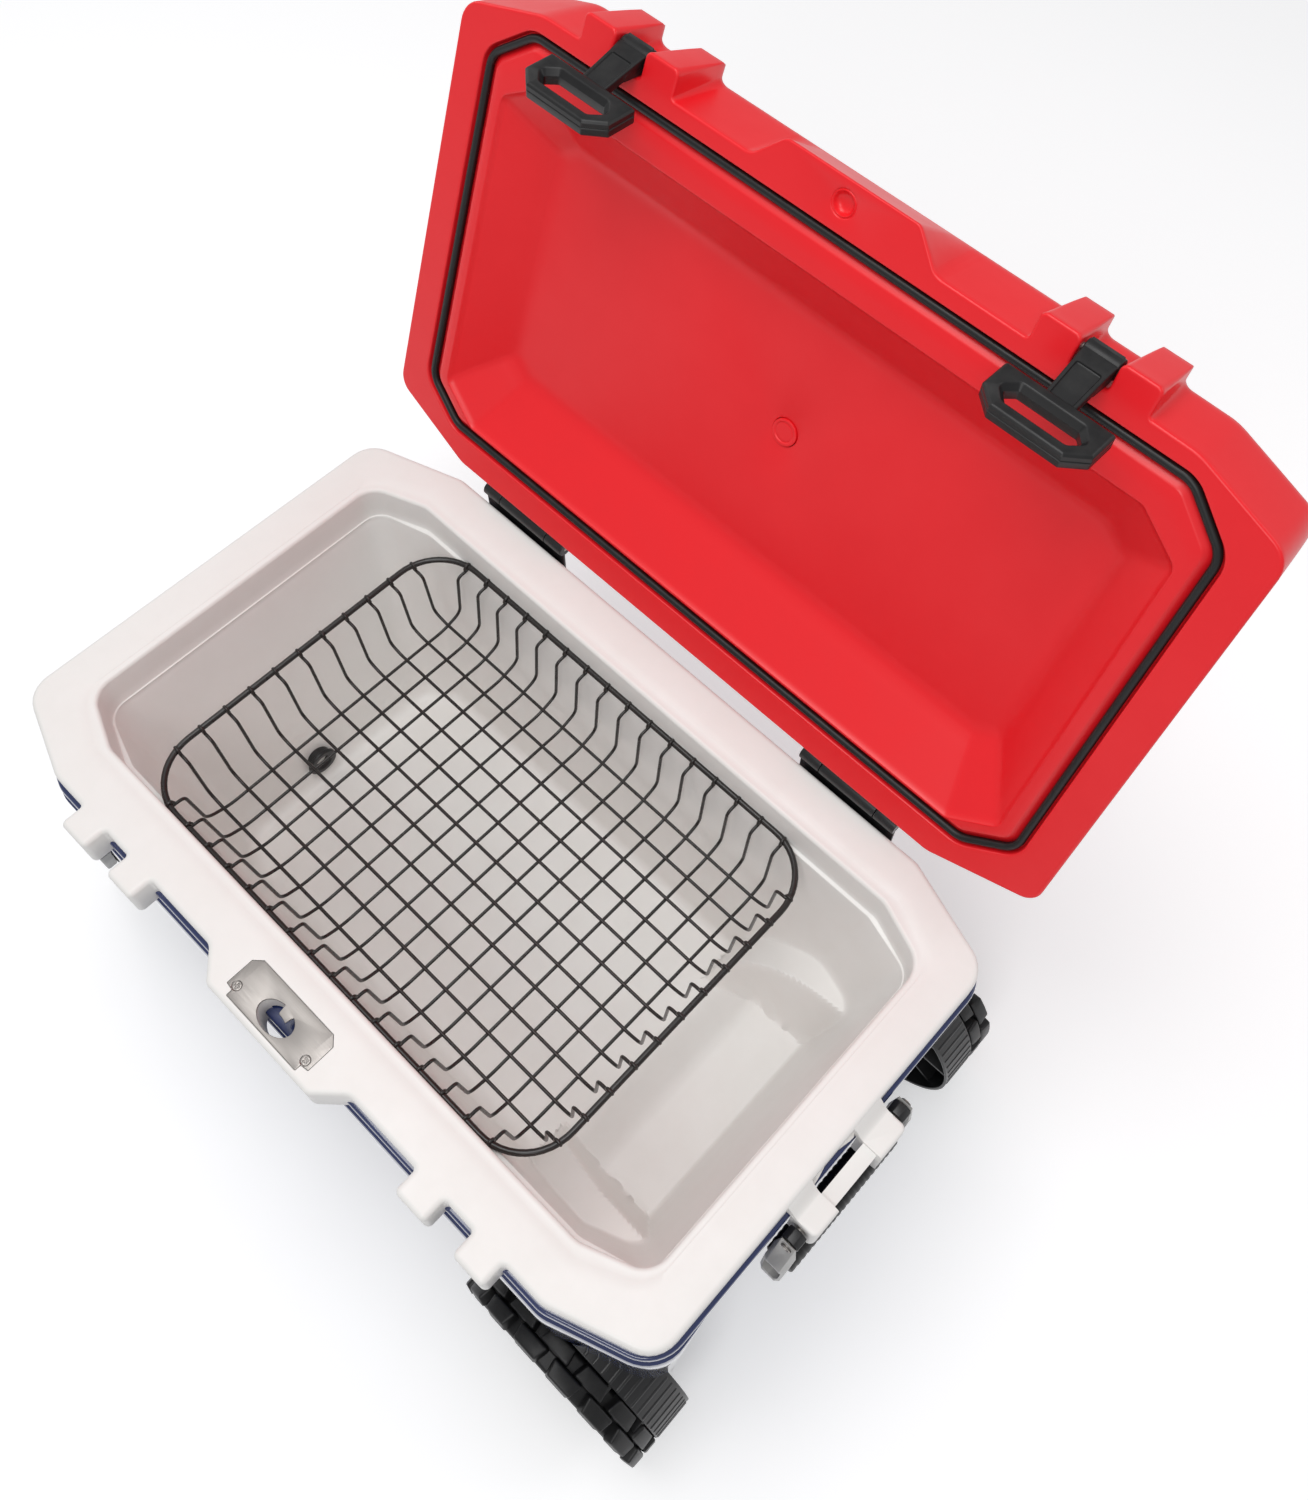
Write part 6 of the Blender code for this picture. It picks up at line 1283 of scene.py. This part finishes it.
# Turned profiles as (radius, along the axle).
TREAD_BED = [(0.0908, 0.2395), (0.1010, 0.2395), (0.1040, 0.2425), (0.1040, 0.2685), (0.1012, 0.2711),
             (0.0908, 0.2711)]
DRUM = [(0.1088, 0.1952), (0.1122, 0.1952), (0.1117, 0.1975), (0.1117, 0.2388), (0.0902, 0.2390), (0.0902, 0.2690),
        (0.0860, 0.2705), (0.0850, 0.2520), (0.0195, 0.2500), (0.0190, 0.2568), (0.0085, 0.2568), (0.0085, 0.1935),
        (0.0185, 0.1935), (0.0195, 0.2460), (0.1086, 0.2350)]
COVER = [(0.0, 0.2640), (0.0, 0.2700), (0.0120, 0.2698), (0.0220, 0.2665), (0.0260, 0.2645), (0.0700, 0.2650),
         (0.0780, 0.2700), (0.0830, 0.2695), (0.0838, 0.2650), (0.0836, 0.2530), (0.0810, 0.2530), (0.0805, 0.2630)]


def wrapped(outline, sizes, middle_y):
    """A block on a drum: rows of an outline of (tangent, along Y), each at a radius with an inset."""
    rows = []
    for radius, inward in sizes:
        rows.append([(radius * math.sin(u / DRUM_RADIUS), middle_y + v, radius * math.cos(u / DRUM_RADIUS))
                     for u, v in path(*outline, 4, 3, inward)])
    return capped(rows)


def tread_block(row):
    """A tread block, wider towards the tread's middle; the two rows mirror each other."""
    half, wide = 0.0175, 0.0074
    near, far, middle = (1.0, 0.80, 0.0080) if row else (0.80, 1.0, -0.0080)
    outline = [(-half * near, -wide), (half * near, -wide), (half * far, wide), (-half * far, wide)]
    return wrapped((outline, 0.0020), [(0.1030, -0.0016), (0.1065, -0.0008), (0.1105, 0.0), (0.1118, 0.0003),
                                       (0.1126, 0.0011), (0.1129, 0.0022)], TREAD_Y + middle)


def wear_bar():
    """A thin bar between two blocks, so that the bed isn't bare."""
    return wrapped(oblong(-0.0030, -0.0145, 0.0030, 0.0145, 0.001),
                   [(0.1030, -0.0004), (0.1052, 0.0), (0.1060, 0.0008)], TREAD_Y)


def rib_strip():
    """A half-round rib along the drum."""
    build = bmesh.new()
    angles = [-math.pi / 2 + math.pi * k / 4 for k in range(5)]
    add_rows(build, [[(0.0018 * math.sin(a), y, 0.1116 + high * math.cos(a)) for a in angles] for y, high in (
        (0.1985, 0.0), (0.1994, 0.0009), (0.2365, 0.0009), (0.2378, 0.0))], closed=False)
    return helper(build)


def radial_rib(corners, radii, low, high, edge, steps):
    """A flat rib that stands out from the axle, for the drum's inner end and for the cover."""
    build = bmesh.new()
    slab(build, (corners, radii), low, high, edge, place=ALONG_Y, steps=steps, arc=steps)
    return helper(build)


def lathe(profile, rounding):
    build = bmesh.new()
    turned(build, "Y", (0, 0), soften(profile, rounding), 96)
    bmesh.ops.remove_doubles(build, verts=build.verts[:], dist=MERGED)
    return mesh_of(build, "lathe")


def wheel_piece(meshes, side, word, name, slot, replaced):
    """Several meshes as one piece, mirrored for the front wheel and moved onto the axle."""
    build = joined(meshes)
    for vert in build.verts:
        vert.co = Vector((vert.co.x + AXLE[0], vert.co.y * side, vert.co.z + AXLE[1]))
    finished(build, f"wheel_{word}_{name}", slot, f"wheel_{word}", f"wheel_{word}_{replaced}")


def make_wheel(side, word):
    rubber, plastic = LOOKS["black_rubber"], LOOKS["black_plastic"]
    spoke = radial_rib([(-0.0016, 0.0170), (0.0016, 0.0170), (0.0022, 0.1095), (-0.0022, 0.1095)], 0.0004,
                       0.2040, 0.2500, 0.0006, 2)
    cover_rib = radial_rib([(-0.0045, 0.026), (0.0045, 0.026), (0.0080, 0.070), (0.0, 0.076), (-0.0080, 0.070)],
                           [0.002, 0.002, 0.004, 0.004, 0.004], 0.2600, 0.2688, 0.0014, 3)
    wheel_piece([turned_copies(tread_block(0), 16, rubber, 0.0, 0.002, 5),
                 turned_copies(tread_block(1), 16, rubber, 0.5 / 16, 0.002, 6),
                 turned_copies(wear_bar(), 32, rubber, 0.25 / 16), lathe(TREAD_BED, 0.0018)],
                side, word, "tyre", "black_rubber", "tread")
    wheel_piece([turned_copies(rib_strip(), 64, plastic), turned_copies(spoke, 12, plastic), lathe(DRUM, 0.0010)],
                side, word, "drum", "black_plastic", "hub")
    wheel_piece([turned_copies(cover_rib, 8, plastic), lathe(COVER, 0.0014)],
                side, word, "cover", "black_plastic", "cap")


make_wheel(-1, "front")
make_wheel(1, "rear")


# %% [markdown]
# ## Handle block at the wheel end
# The moulding of the rim runs out over the tub's end in two lugs with a bar across them, and the carry handle
# hangs on pins in the lugs. The bar lies a little lower than the lugs, and the slot behind it has a wavy edge.
# Two soft ramps lead from the rim down to the lugs. The lot is one union, cut by the slot and the hollow below
# the bar, with its edges rounded afterwards.

# %% Handle block
BLOCK_TOP = 0.3535
BLOCK_FRONT, BLOCK_REAR = -0.059, 0.058
SLOT_FRONT, SLOT_REAR = -0.0300, 0.0240
CARRY_AXIS = (0.427, 0.338)


def plate_piece(outline, low, high, edge, place=None):
    build = bmesh.new()
    slab(build, outline, low, high, edge, place=place)
    return helper(build)


def ramp(low_y, high_y):
    """A wedge whose top runs in an S from the rim down to the block's top."""
    profile = [(0.4046, 0.3480), (0.4046, 0.3696)]
    for k in range(13):
        share = k / 12
        profile.append((0.4052 + 0.0168 * share, 0.3698 - (RIM_Z - BLOCK_TOP) * (share * share * (3 - 2 * share))))
    profile += [(0.4260, BLOCK_TOP - 0.0003), (0.4260, 0.3480)]
    return capped([[(x, y, z) for x, z in profile] for y in (low_y, high_y)])


def make_handle_block():
    outline = oblong(0.4145, BLOCK_FRONT, 0.441, BLOCK_REAR, [0.0004, 0.006, 0.006, 0.0004])
    base = plate_piece(outline, 0.3075, BLOCK_TOP, 0.0030)
    added = [block((0.4088, BLOCK_FRONT + 0.0004, 0.3482), (0.4180, BLOCK_REAR - 0.0004, BLOCK_TOP - 0.0002)),
             ramp(BLOCK_FRONT + 0.0006, -0.0296), ramp(0.0236, BLOCK_REAR - 0.0006)]
    wave = oblong(0.4110, SLOT_FRONT, 0.4216, SLOT_REAR, 0)[0]
    wave += [(0.4110 + 0.0020 * math.sin(math.pi * (0.5 + 2.0 * k / 24)), SLOT_REAR - 0.0540 * k / 24)
             for k in range(1, 24)]
    cuts = [capped([[(x, y, z) for x, y in wave] for z in (0.29, 0.40)])]
    cuts += [block((x, SLOT_FRONT, low), (0.46, SLOT_REAR, high)) for x, low, high in (
        (0.38, 0.29, 0.3355), (0.4360, 0.29, 0.40), (0.4150, 0.3495, 0.40))]
    cuts += [rod("Y", CARRY_AXIS, 0.0043, low, high, 24) for low, high in ((-0.07, -0.0468), (0.0458, 0.07))]
    mesh = bevelled(combined(base, ("UNION", added), ("DIFFERENCE", cuts)), 0.0016, 3, 38)
    placed("handle_block_moulding", mesh, "white_moulding", "body", "handle_block", degrees=40)


make_handle_block()


# %% [markdown]
# ## Screws, pins and bolts
# Every fastener is turned, with a recess in its head. One helper draws a plate or a head with a blind pocket: the
# pocket is a second loop in the face, carried down and closed, so no boolean is needed.

# %% Heads with a recess
def pocketed(build, outline, low, high, edge, pocket, depth, steps=4, arc=6, lip=0.0004):
    """A plate with rounded edges and a blind pocket in its upper face."""
    outer = add_rows(build, stack(outline, round_side(low, high, edge, steps), arc))
    hollow = add_rows(build, stack(pocket, [(move, high - drop) for move, drop in (
        (-lip, 0.0), (-lip * 0.3, lip * 0.3), (0.0, lip), (lip * 0.5, depth - lip), (lip * 1.5, depth))], arc))
    fill(build, outer[0])
    fill(build, outer[-1], hollow[0])
    fill(build, hollow[-1])


def disc(radius):
    return [(radius, -radius), (radius, radius), (-radius, radius), (-radius, -radius)], radius * 0.998


def cross(reach, half):
    corners = [(half, -half), (reach, -half), (reach, half), (half, half), (half, reach), (-half, reach),
               (-half, half), (-reach, half), (-reach, -half), (-half, -half), (-half, -reach), (half, -reach)]
    return corners, half * 0.3


def six_sided(radius):
    return circle(6, radius), radius * 0.08


def fastener(centre, tip, seat, head, radius, shank, recess, name, slot, body, replaced, turn=None):
    """Shank and head along Y; the head's outer face looks away from the tip."""
    build = bmesh.new()
    pocketed(build, disc(radius), 0.0002, head, min(head * 0.45, 0.0012), recess, head * 0.6, 3, 7, 0.00025)
    low = -abs(seat - tip)
    turned(build, "Z", (0, 0), soften([(0.0, low), (shank * 0.7, low), (shank, low + shank * 0.4), (shank, 0.0006),
                                       (0.0, 0.0006)], 0.0001, 1), 20)
    flip = Matrix.Diagonal((1, 1, 1 if seat > tip else -1, 1))
    moved(build, Matrix.Translation((centre[0], seat, centre[1])) @ ALONG_Y @ flip)
    finished(build, name, slot, body, replaced, 34, turn)


print("a head's recess:", len(cross(0.0026, 0.0006)[0]), "corners")


# %% [markdown]
# ## Lock plate
# A thin stamped plate of brushed steel lies in the tab's recess, held by two cross-head screws in countersunk
# holes. Its oval hole for a padlock has a blunt tongue at the back.

# %% Lock plate
PLATE_SCREW_X, PLATE_SCREW_Y = 0.045, -0.245
TONGUE_X, TONGUE_HALF, TONGUE_LONG = 0.004, 0.0052, 0.0085


def lock_oval(grow, z):
    row = []
    for x, y in circle(96, LOCK_HOLE_HALF_X + grow, other=LOCK_HOLE_HALF_Y + grow):
        bite = 1.0 - min(max((abs(x - TONGUE_X) - TONGUE_HALF) / 0.0010, 0.0), 1.0)
        row.append((x, LOCK_HOLE_Y + y - (TONGUE_LONG * bite if y > 0 else 0.0), z))
    return row


def make_lock_plate():
    build = bmesh.new()
    high, low = RIM_Z, RIM_Z - 0.002
    outer = add_rows(build, stack((plate_corners(0.0), 0.0010), [
        (0.0003, low), (0.0, low + 0.0003), (0.0, high - 0.0004), (0.0001, high - 0.0001), (0.0004, high)], 4))
    hole = add_rows(build, [lock_oval(grow, z) for grow, z in (
        (0.0003, low), (0.0, low + 0.0003), (0.0, high - 0.0005), (0.0002, high - 0.0001), (0.0006, high))])
    sinks = [add_rows(build, [at_height(circle(32, radius, (x, PLATE_SCREW_Y)), z) for radius, z in (
        (0.0025, low), (0.0025, high - 0.0016), (0.0046, high - 0.0002), (0.0049, high))])
        for x in (-PLATE_SCREW_X, PLATE_SCREW_X)]
    fill(build, outer[0], hole[0], *[rows[0] for rows in sinks])
    fill(build, outer[-1], hole[-1], *[rows[-1] for rows in sinks])
    finished(build, "lock_plate_stamping", "brushed_steel", "body", "lock_plate", 30)


def make_plate_screw(x, word):
    build = bmesh.new()
    high = RIM_Z - 0.0002
    pocketed(build, disc(0.0041), high - 0.0012, high, 0.0004, cross(0.0026, 0.00055), 0.0009, 2, 7, 0.0001)
    turned(build, "Z", (0, 0), [(0.0, high - 0.0138), (0.0012, high - 0.0136), (0.0019, high - 0.0120),
                                (0.0019, high - 0.0020), (0.0037, high - 0.0010), (0.0, high - 0.0010)], 20)
    finished(build, f"lock_plate_screw_head_{word}", "brushed_steel", "body", f"lock_plate_screw_{word}",
             turn=Matrix.Translation((x, PLATE_SCREW_Y, 0)) @ Matrix.Rotation(0.5 + x * 8, 4, "Z"))


make_lock_plate()
make_plate_screw(-PLATE_SCREW_X, "left")
make_plate_screw(PLATE_SCREW_X, "right")


# %% [markdown]
# ## Carry handle
# Two faceted silver-grey arms hang on pins in the lugs, each with a black knuckle beside it and a deep oval
# pocket in its outer face, and a ribbed rubber grip joins their lower ends. The ribs come from one lathe profile.

# %% Carry handle
CARRY_GRIP = (0.427, 0.234)


def mirrored_y(side, x, z):
    """Pieces drawn in a flat plane stood up along Y at a place, and mirrored for the front."""
    return Matrix.Diagonal((1, side, 1, 1)) @ Matrix.Translation((x, 0, z)) @ ALONG_Y


def make_carry_arm(side, edge, word):
    """An arm that leans outwards from the knuckle to a ridge and hangs upright below it."""
    near, far, top, ridge, low = edge + 0.0150, edge + 0.0285, 0.3470, 0.2870, 0.2180
    full = [(near, top - 0.0040), (near + 0.0015, top), (far, ridge), (far, low + 0.0040), (far - 0.0030, low),
            (near + 0.0015, low), (near, low + 0.0020)]
    ends = [(near, top - 0.0400), (near + 0.0015, top - 0.0380), (far - 0.0030, ridge - 0.0040),
            (far - 0.0030, low + 0.0080), (far - 0.0050, low + 0.0040), (near + 0.0015, low + 0.0040),
            (near, low + 0.0060)]
    arm = capped([[(CARRY_AXIS[0] + x, side * y, z) for y, z in profile]
                  for x, profile in ((-0.0112, ends), (-0.0072, full), (0.0072, full), (0.0112, ends))])
    cuts = [plate_piece(oblong(-0.0088, 0.2340, 0.0088, 0.2800, 0.0086), far - 0.0100, far + 0.0100, 0.0010,
                        mirrored_y(side, CARRY_AXIS[0], 0))]
    for radius, start in ((0.0043, near - 0.01), (0.0052, near + 0.0026)):
        cuts.append(rod("Y", CARRY_AXIS, radius, *sorted((side * start, side * (far + 0.01))), 24))
    placed(f"carry_arm_{word}_moulding", bevelled(combined(arm, ("DIFFERENCE", cuts)), 0.0008, 2, 20),
           "silver_plastic", "carry_handle", f"carry_arm_{word}", degrees=25)


def make_knuckle(side, near, far, word):
    build = bmesh.new()
    slab(build, (circle(8, 0.0092, phase=0.5), 0.0014), near, far, 0.0012, [(circle(16, 0.0041), 0.0003)], None, 3, 3,
         0.0003)
    finished(build, f"carry_knuckle_{word}_moulding", "black_plastic", "carry_handle", f"carry_knuckle_{word}", 25,
             mirrored_y(side, *CARRY_AXIS))


def ribbed(start, pitch, count, marks):
    """Profile points of ribs in a row, each by its marks of (radius, place along the rib)."""
    return [(radius, start + k * pitch + place) for k in range(count) for radius, place in marks]


def make_carry_grip():
    build = bmesh.new()
    low, high, ribs = -0.0736, 0.0726, 20
    pitch = (high - low - 0.012) / ribs
    profile = [(0.0, low - 0.0060), (0.0066, low - 0.0060), (0.0070, low - 0.0056), (0.0070, low), (0.0138, low),
               (0.0148, low + 0.0010), (0.0148, low + 0.0058)]
    profile += ribbed(low + 0.006, pitch, ribs, [(0.0146, pitch * 0.08), (0.0146, pitch * 0.26),
                                                 (0.0151, pitch * 0.40), (0.0151, pitch * 0.82)])
    profile += [(0.0148, high - 0.0058), (0.0148, high - 0.0010), (0.0138, high), (0.0070, high),
                (0.0070, high + 0.0056), (0.0066, high + 0.0060), (0.0, high + 0.0060)]
    turned(build, "Y", CARRY_GRIP, soften(profile, 0.0006, 2), 40)
    finished(build, "carry_grip_ribbed", "black_rubber", "carry_handle", "carry_grip", 40)


for side, edge, word in ((-1, -BLOCK_FRONT, "front"), (1, BLOCK_REAR, "rear")):
    make_knuckle(side, edge + 0.0025, edge + 0.0146, word)
    make_carry_arm(side, edge, word)
    fastener(CARRY_AXIS, side * (edge - 0.012), side * (edge + 0.0178), 0.0018, 0.0050, 0.0040, six_sided(0.0032),
             f"carry_pin_head_{word}", "brushed_steel", "body", f"carry_pin_{word}")
make_carry_grip()


# %% [markdown]
# ## Hinges
# Behind the rim sit two black hinges. Each has a leaf screwed to the tub with two outer knuckles, a leaf screwed
# to the lid with one long middle knuckle, and a steel pin through all three. The leaves carry shallow ribs that
# stiffen them.

# %% Hinges
BODY_LEAF = ([(-0.056, 0.300), (0.056, 0.300), (0.056, 0.3735), (0.0330, 0.3735), (0.0330, 0.369), (-0.0330, 0.369),
              (-0.0330, 0.3735), (-0.056, 0.3735)], [0.005] * 2 + [0.001] * 6)


def barrel(build, centre_x, start, end):
    turned(build, "X", (HINGE.y, HINGE.z), soften([
        (0.0028, centre_x + start), (0.0085, centre_x + start), (0.0085, centre_x + end), (0.0028, centre_x + end)],
        0.0010), 40)


def make_hinge(side, word):
    x = side * HINGE_X
    stand = Matrix.Translation((x, 0, 0)) @ ALONG_Y
    leaf = bmesh.new()
    slab(leaf, BODY_LEAF, 0.2435, 0.2465, 0.0007, place=stand, steps=3)
    for step in (-0.018, 0.0, 0.018):
        slab(leaf, oblong(step - 0.0016, 0.306, step + 0.0016, 0.362, 0.0012), 0.2455, 0.2478, 0.0006, place=stand,
             steps=2)
    barrel(leaf, x, -0.0560, -0.0328)
    barrel(leaf, x, 0.0328, 0.0560)
    finished(leaf, f"hinge_body_{word}_moulding", "black_plastic", "body", f"hinge_leaf_body_{word}")
    upper = bmesh.new()
    slab(upper, oblong(-0.0322, 0.3752, 0.0322, 0.425, [0.001, 0.001, 0.004, 0.004]), 0.2378, 0.2408, 0.0007,
         place=stand, steps=3)
    slab(upper, oblong(-0.0322, 0.3812, 0.0322, 0.3888, 0.0008), 0.2382, 0.2474, 0.0006, place=stand, steps=2)
    barrel(upper, x, -0.0322, 0.0322)
    finished(upper, f"hinge_lid_{word}_moulding", "black_plastic", "lid", f"hinge_leaf_lid_{word}", turn=LID_OPEN)
    for step, letter in ((-1, "a"), (1, "b")):
        for body, (reach, z), tip, seat, turn in (("body", LEAF_SCREW, 0.2400, 0.2465, None),
                                                  ("lid", (0.021, 0.410), 0.2343, 0.2408, LID_OPEN)):
            screw = f"hinge_screw_{body}_{word}_{letter}"
            fastener((x + step * reach, z), tip, seat, 0.0022, 0.0042, 0.0020, cross(0.0026, 0.0006),
                     f"{screw}_head", "black_plastic", body, screw, turn)


make_hinge(-1, "left")
make_hinge(1, "right")


# %% [markdown]
# ## Drain
# The drain is a black spout through the end wall, low down, with a flange outside, a rubber seal and a plug whose
# head is scalloped for wet fingers. Inside, its rim stands a little proud of the white wall.

# %% Drain
def make_spout():
    build = bmesh.new()
    turned(build, "X", DRAIN, soften([
        (0.0145, -0.3010), (0.0178, -0.3010), (0.0178, -0.2978), (0.0170, -0.2966), (0.0112, -0.2968),
        (0.0090, -0.2995), (0.0090, -0.4075), (0.0188, -0.4075), (0.0200, -0.4062), (0.0200, -0.4045),
        (0.0145, -0.4045)], 0.0006), 48)
    finished(build, "drain_spout_turned", "black_plastic", "body", "drain_spout")


def make_drain_plug():
    build = bmesh.new()
    lobes = 14
    shape = []
    for k in range(lobes * 6):
        angle = math.tau * k / (lobes * 6)
        reach = 0.0160 - 0.0011 * (0.5 + 0.5 * math.cos(angle * lobes)) ** 2
        shape.append((reach * math.cos(angle), reach * math.sin(angle)))
    low, high = (corner[0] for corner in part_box("drain_plug"))
    face = low + 0.011
    head = add_rows(build, [[(x, DRAIN[0] + u * size, DRAIN[1] + v * size) for u, v in shape] for x, size in (
        (face, 0.97), (face - 0.0008, 1.0), (low + 0.0020, 1.0), (low + 0.0006, 0.96), (low + 0.0001, 0.88),
        (low + 0.0016, 0.80), (low + 0.0018, 0.30))])
    fill(build, head[0])
    fill(build, head[-1])
    slab(build, oblong(-0.0110, -0.0018, 0.0110, 0.0018, 0.0012), low + 0.0003, low + 0.0040, 0.0007,
         place=Matrix.Translation((0, *DRAIN)) @ ALONG_X, steps=2)
    turned(build, "X", DRAIN, soften([
        (0.0, high), (0.0072, high), (0.0087, high - 0.0020), (0.0087, high - 0.0080), (0.0078, high - 0.0090),
        (0.0078, high - 0.0110), (0.0087, high - 0.0120), (0.0087, face - 0.0010), (0.0, face - 0.0010)],
        0.0006), 40)
    finished(build, "drain_plug_moulding", "black_plastic", "plug", "drain_plug")


make_spout()
make_drain_plug()


# %% [markdown]
# ## Feet, axle and tow handle
# Two ribbed rubber feet carry the end opposite the wheels, where the long tow handle is folded down against the
# end wall: two flat arms with a sunk panel on bolts in the tub's sides, and a round grip between them.

# %% Feet and axle
def make_foot(side, word):
    build = bmesh.new()
    y = side * FOOT_Y
    slab(build, oblong(FOOT_X[0], y - FOOT_HALF, FOOT_X[1], y + FOOT_HALF, 0.007), -0.0615, -0.0480, 0.0022, steps=3)
    for k in range(6):
        rib = y - 0.0275 + 0.011 * k
        slab(build, oblong(-0.381, rib - 0.0030, -0.343, rib + 0.0030, 0.0026), GROUND_Z, -0.0605, 0.0008, steps=2)
    finished(build, f"foot_{word}_ribbed", "black_rubber", "body", f"foot_{word}")


def make_axle():
    build = bmesh.new()
    half = [(0.0080, 0.2560), (0.0078, 0.2565), (0.0078, 0.2640), (0.0064, 0.2655), (0.0, 0.2655)]
    turned(build, "Y", AXLE, [(radius, -y) for radius, y in reversed(half)] + half, 40)
    finished(build, "axle_rod", "brushed_steel", "body", "axle", 20)


def make_nut(side, word):
    build = bmesh.new()
    slab(build, six_sided(0.0135), 0.2573, 0.2633, 0.0008, [disc(0.0081)], None, 3, 5, 0.0006)
    finished(build, f"axle_nut_{word}_bevelled", "brushed_steel", "body", f"axle_nut_{word}", 30,
             mirrored_y(side, *AXLE))


for side, word in ((-1, "front"), (1, "rear")):
    make_foot(side, word)
    make_nut(side, word)
make_axle()


# %% Tow handle
def make_tow_arm(side, word, end):
    build = bmesh.new()
    start = Vector(TOW_PIVOT)
    along, length = (end - start).normalized(), (end - start).length
    over = Vector((-along.y, along.x))
    turn = Matrix(((along.x, over.x, 0, start.x), (0, 0, 1, 0), (along.y, over.y, 0, start.y), (0, 0, 0, 1)))
    pocketed(build, oblong(-0.012, -0.012, length + 0.012, 0.012, 0.01198), 0.246, 0.258, 0.0022,
             oblong(0.026, -0.0062, length - 0.026, 0.0062, 0.0058), 0.0022, 4, 10, 0.0006)
    finished(build, f"tow_arm_{word}_moulding", "black_plastic", "tow_handle", f"tow_arm_{word}",
             turn=Matrix.Diagonal((1, side, 1, 1)) @ turn)
    bolt = f"tow_bolt_{word}"
    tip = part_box(bolt)[1][1] if side < 0 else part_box(bolt)[0][1]
    fastener(TOW_PIVOT, tip, side * 0.2583, 0.0028, 0.0098, 0.0048, six_sided(0.0042), f"{bolt}_head",
             "brushed_steel", "body", bolt)


def make_tow_grip(place):
    build = bmesh.new()
    profile = [(0.0, -0.2515), (0.0068, -0.2515), (0.0068, -0.2457), (0.0122, -0.2457), (0.0129, -0.2447),
               (0.0129, -0.0900)]
    profile += ribbed(-0.0880, 0.0100, 18, [(0.0120, 0.0), (0.0120, 0.0022), (0.0129, 0.0036), (0.0129, 0.0080)])
    profile += [(0.0129, 0.2447), (0.0122, 0.2457), (0.0068, 0.2457), (0.0068, 0.2515), (0.0, 0.2515)]
    turned(build, "Y", tuple(place), soften(profile, 0.0006, 2), 40)
    finished(build, "tow_grip_tube", "black_plastic", "tow_handle", "tow_grip", 40)


GRIP_LOW, GRIP_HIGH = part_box("tow_grip")
GRIP_CENTRE = Vector(((GRIP_LOW[0] + GRIP_HIGH[0]) / 2, (GRIP_LOW[2] + GRIP_HIGH[2]) / 2))
make_tow_arm(-1, "front", GRIP_CENTRE)
make_tow_arm(1, "rear", GRIP_CENTRE)
make_tow_grip(GRIP_CENTRE)
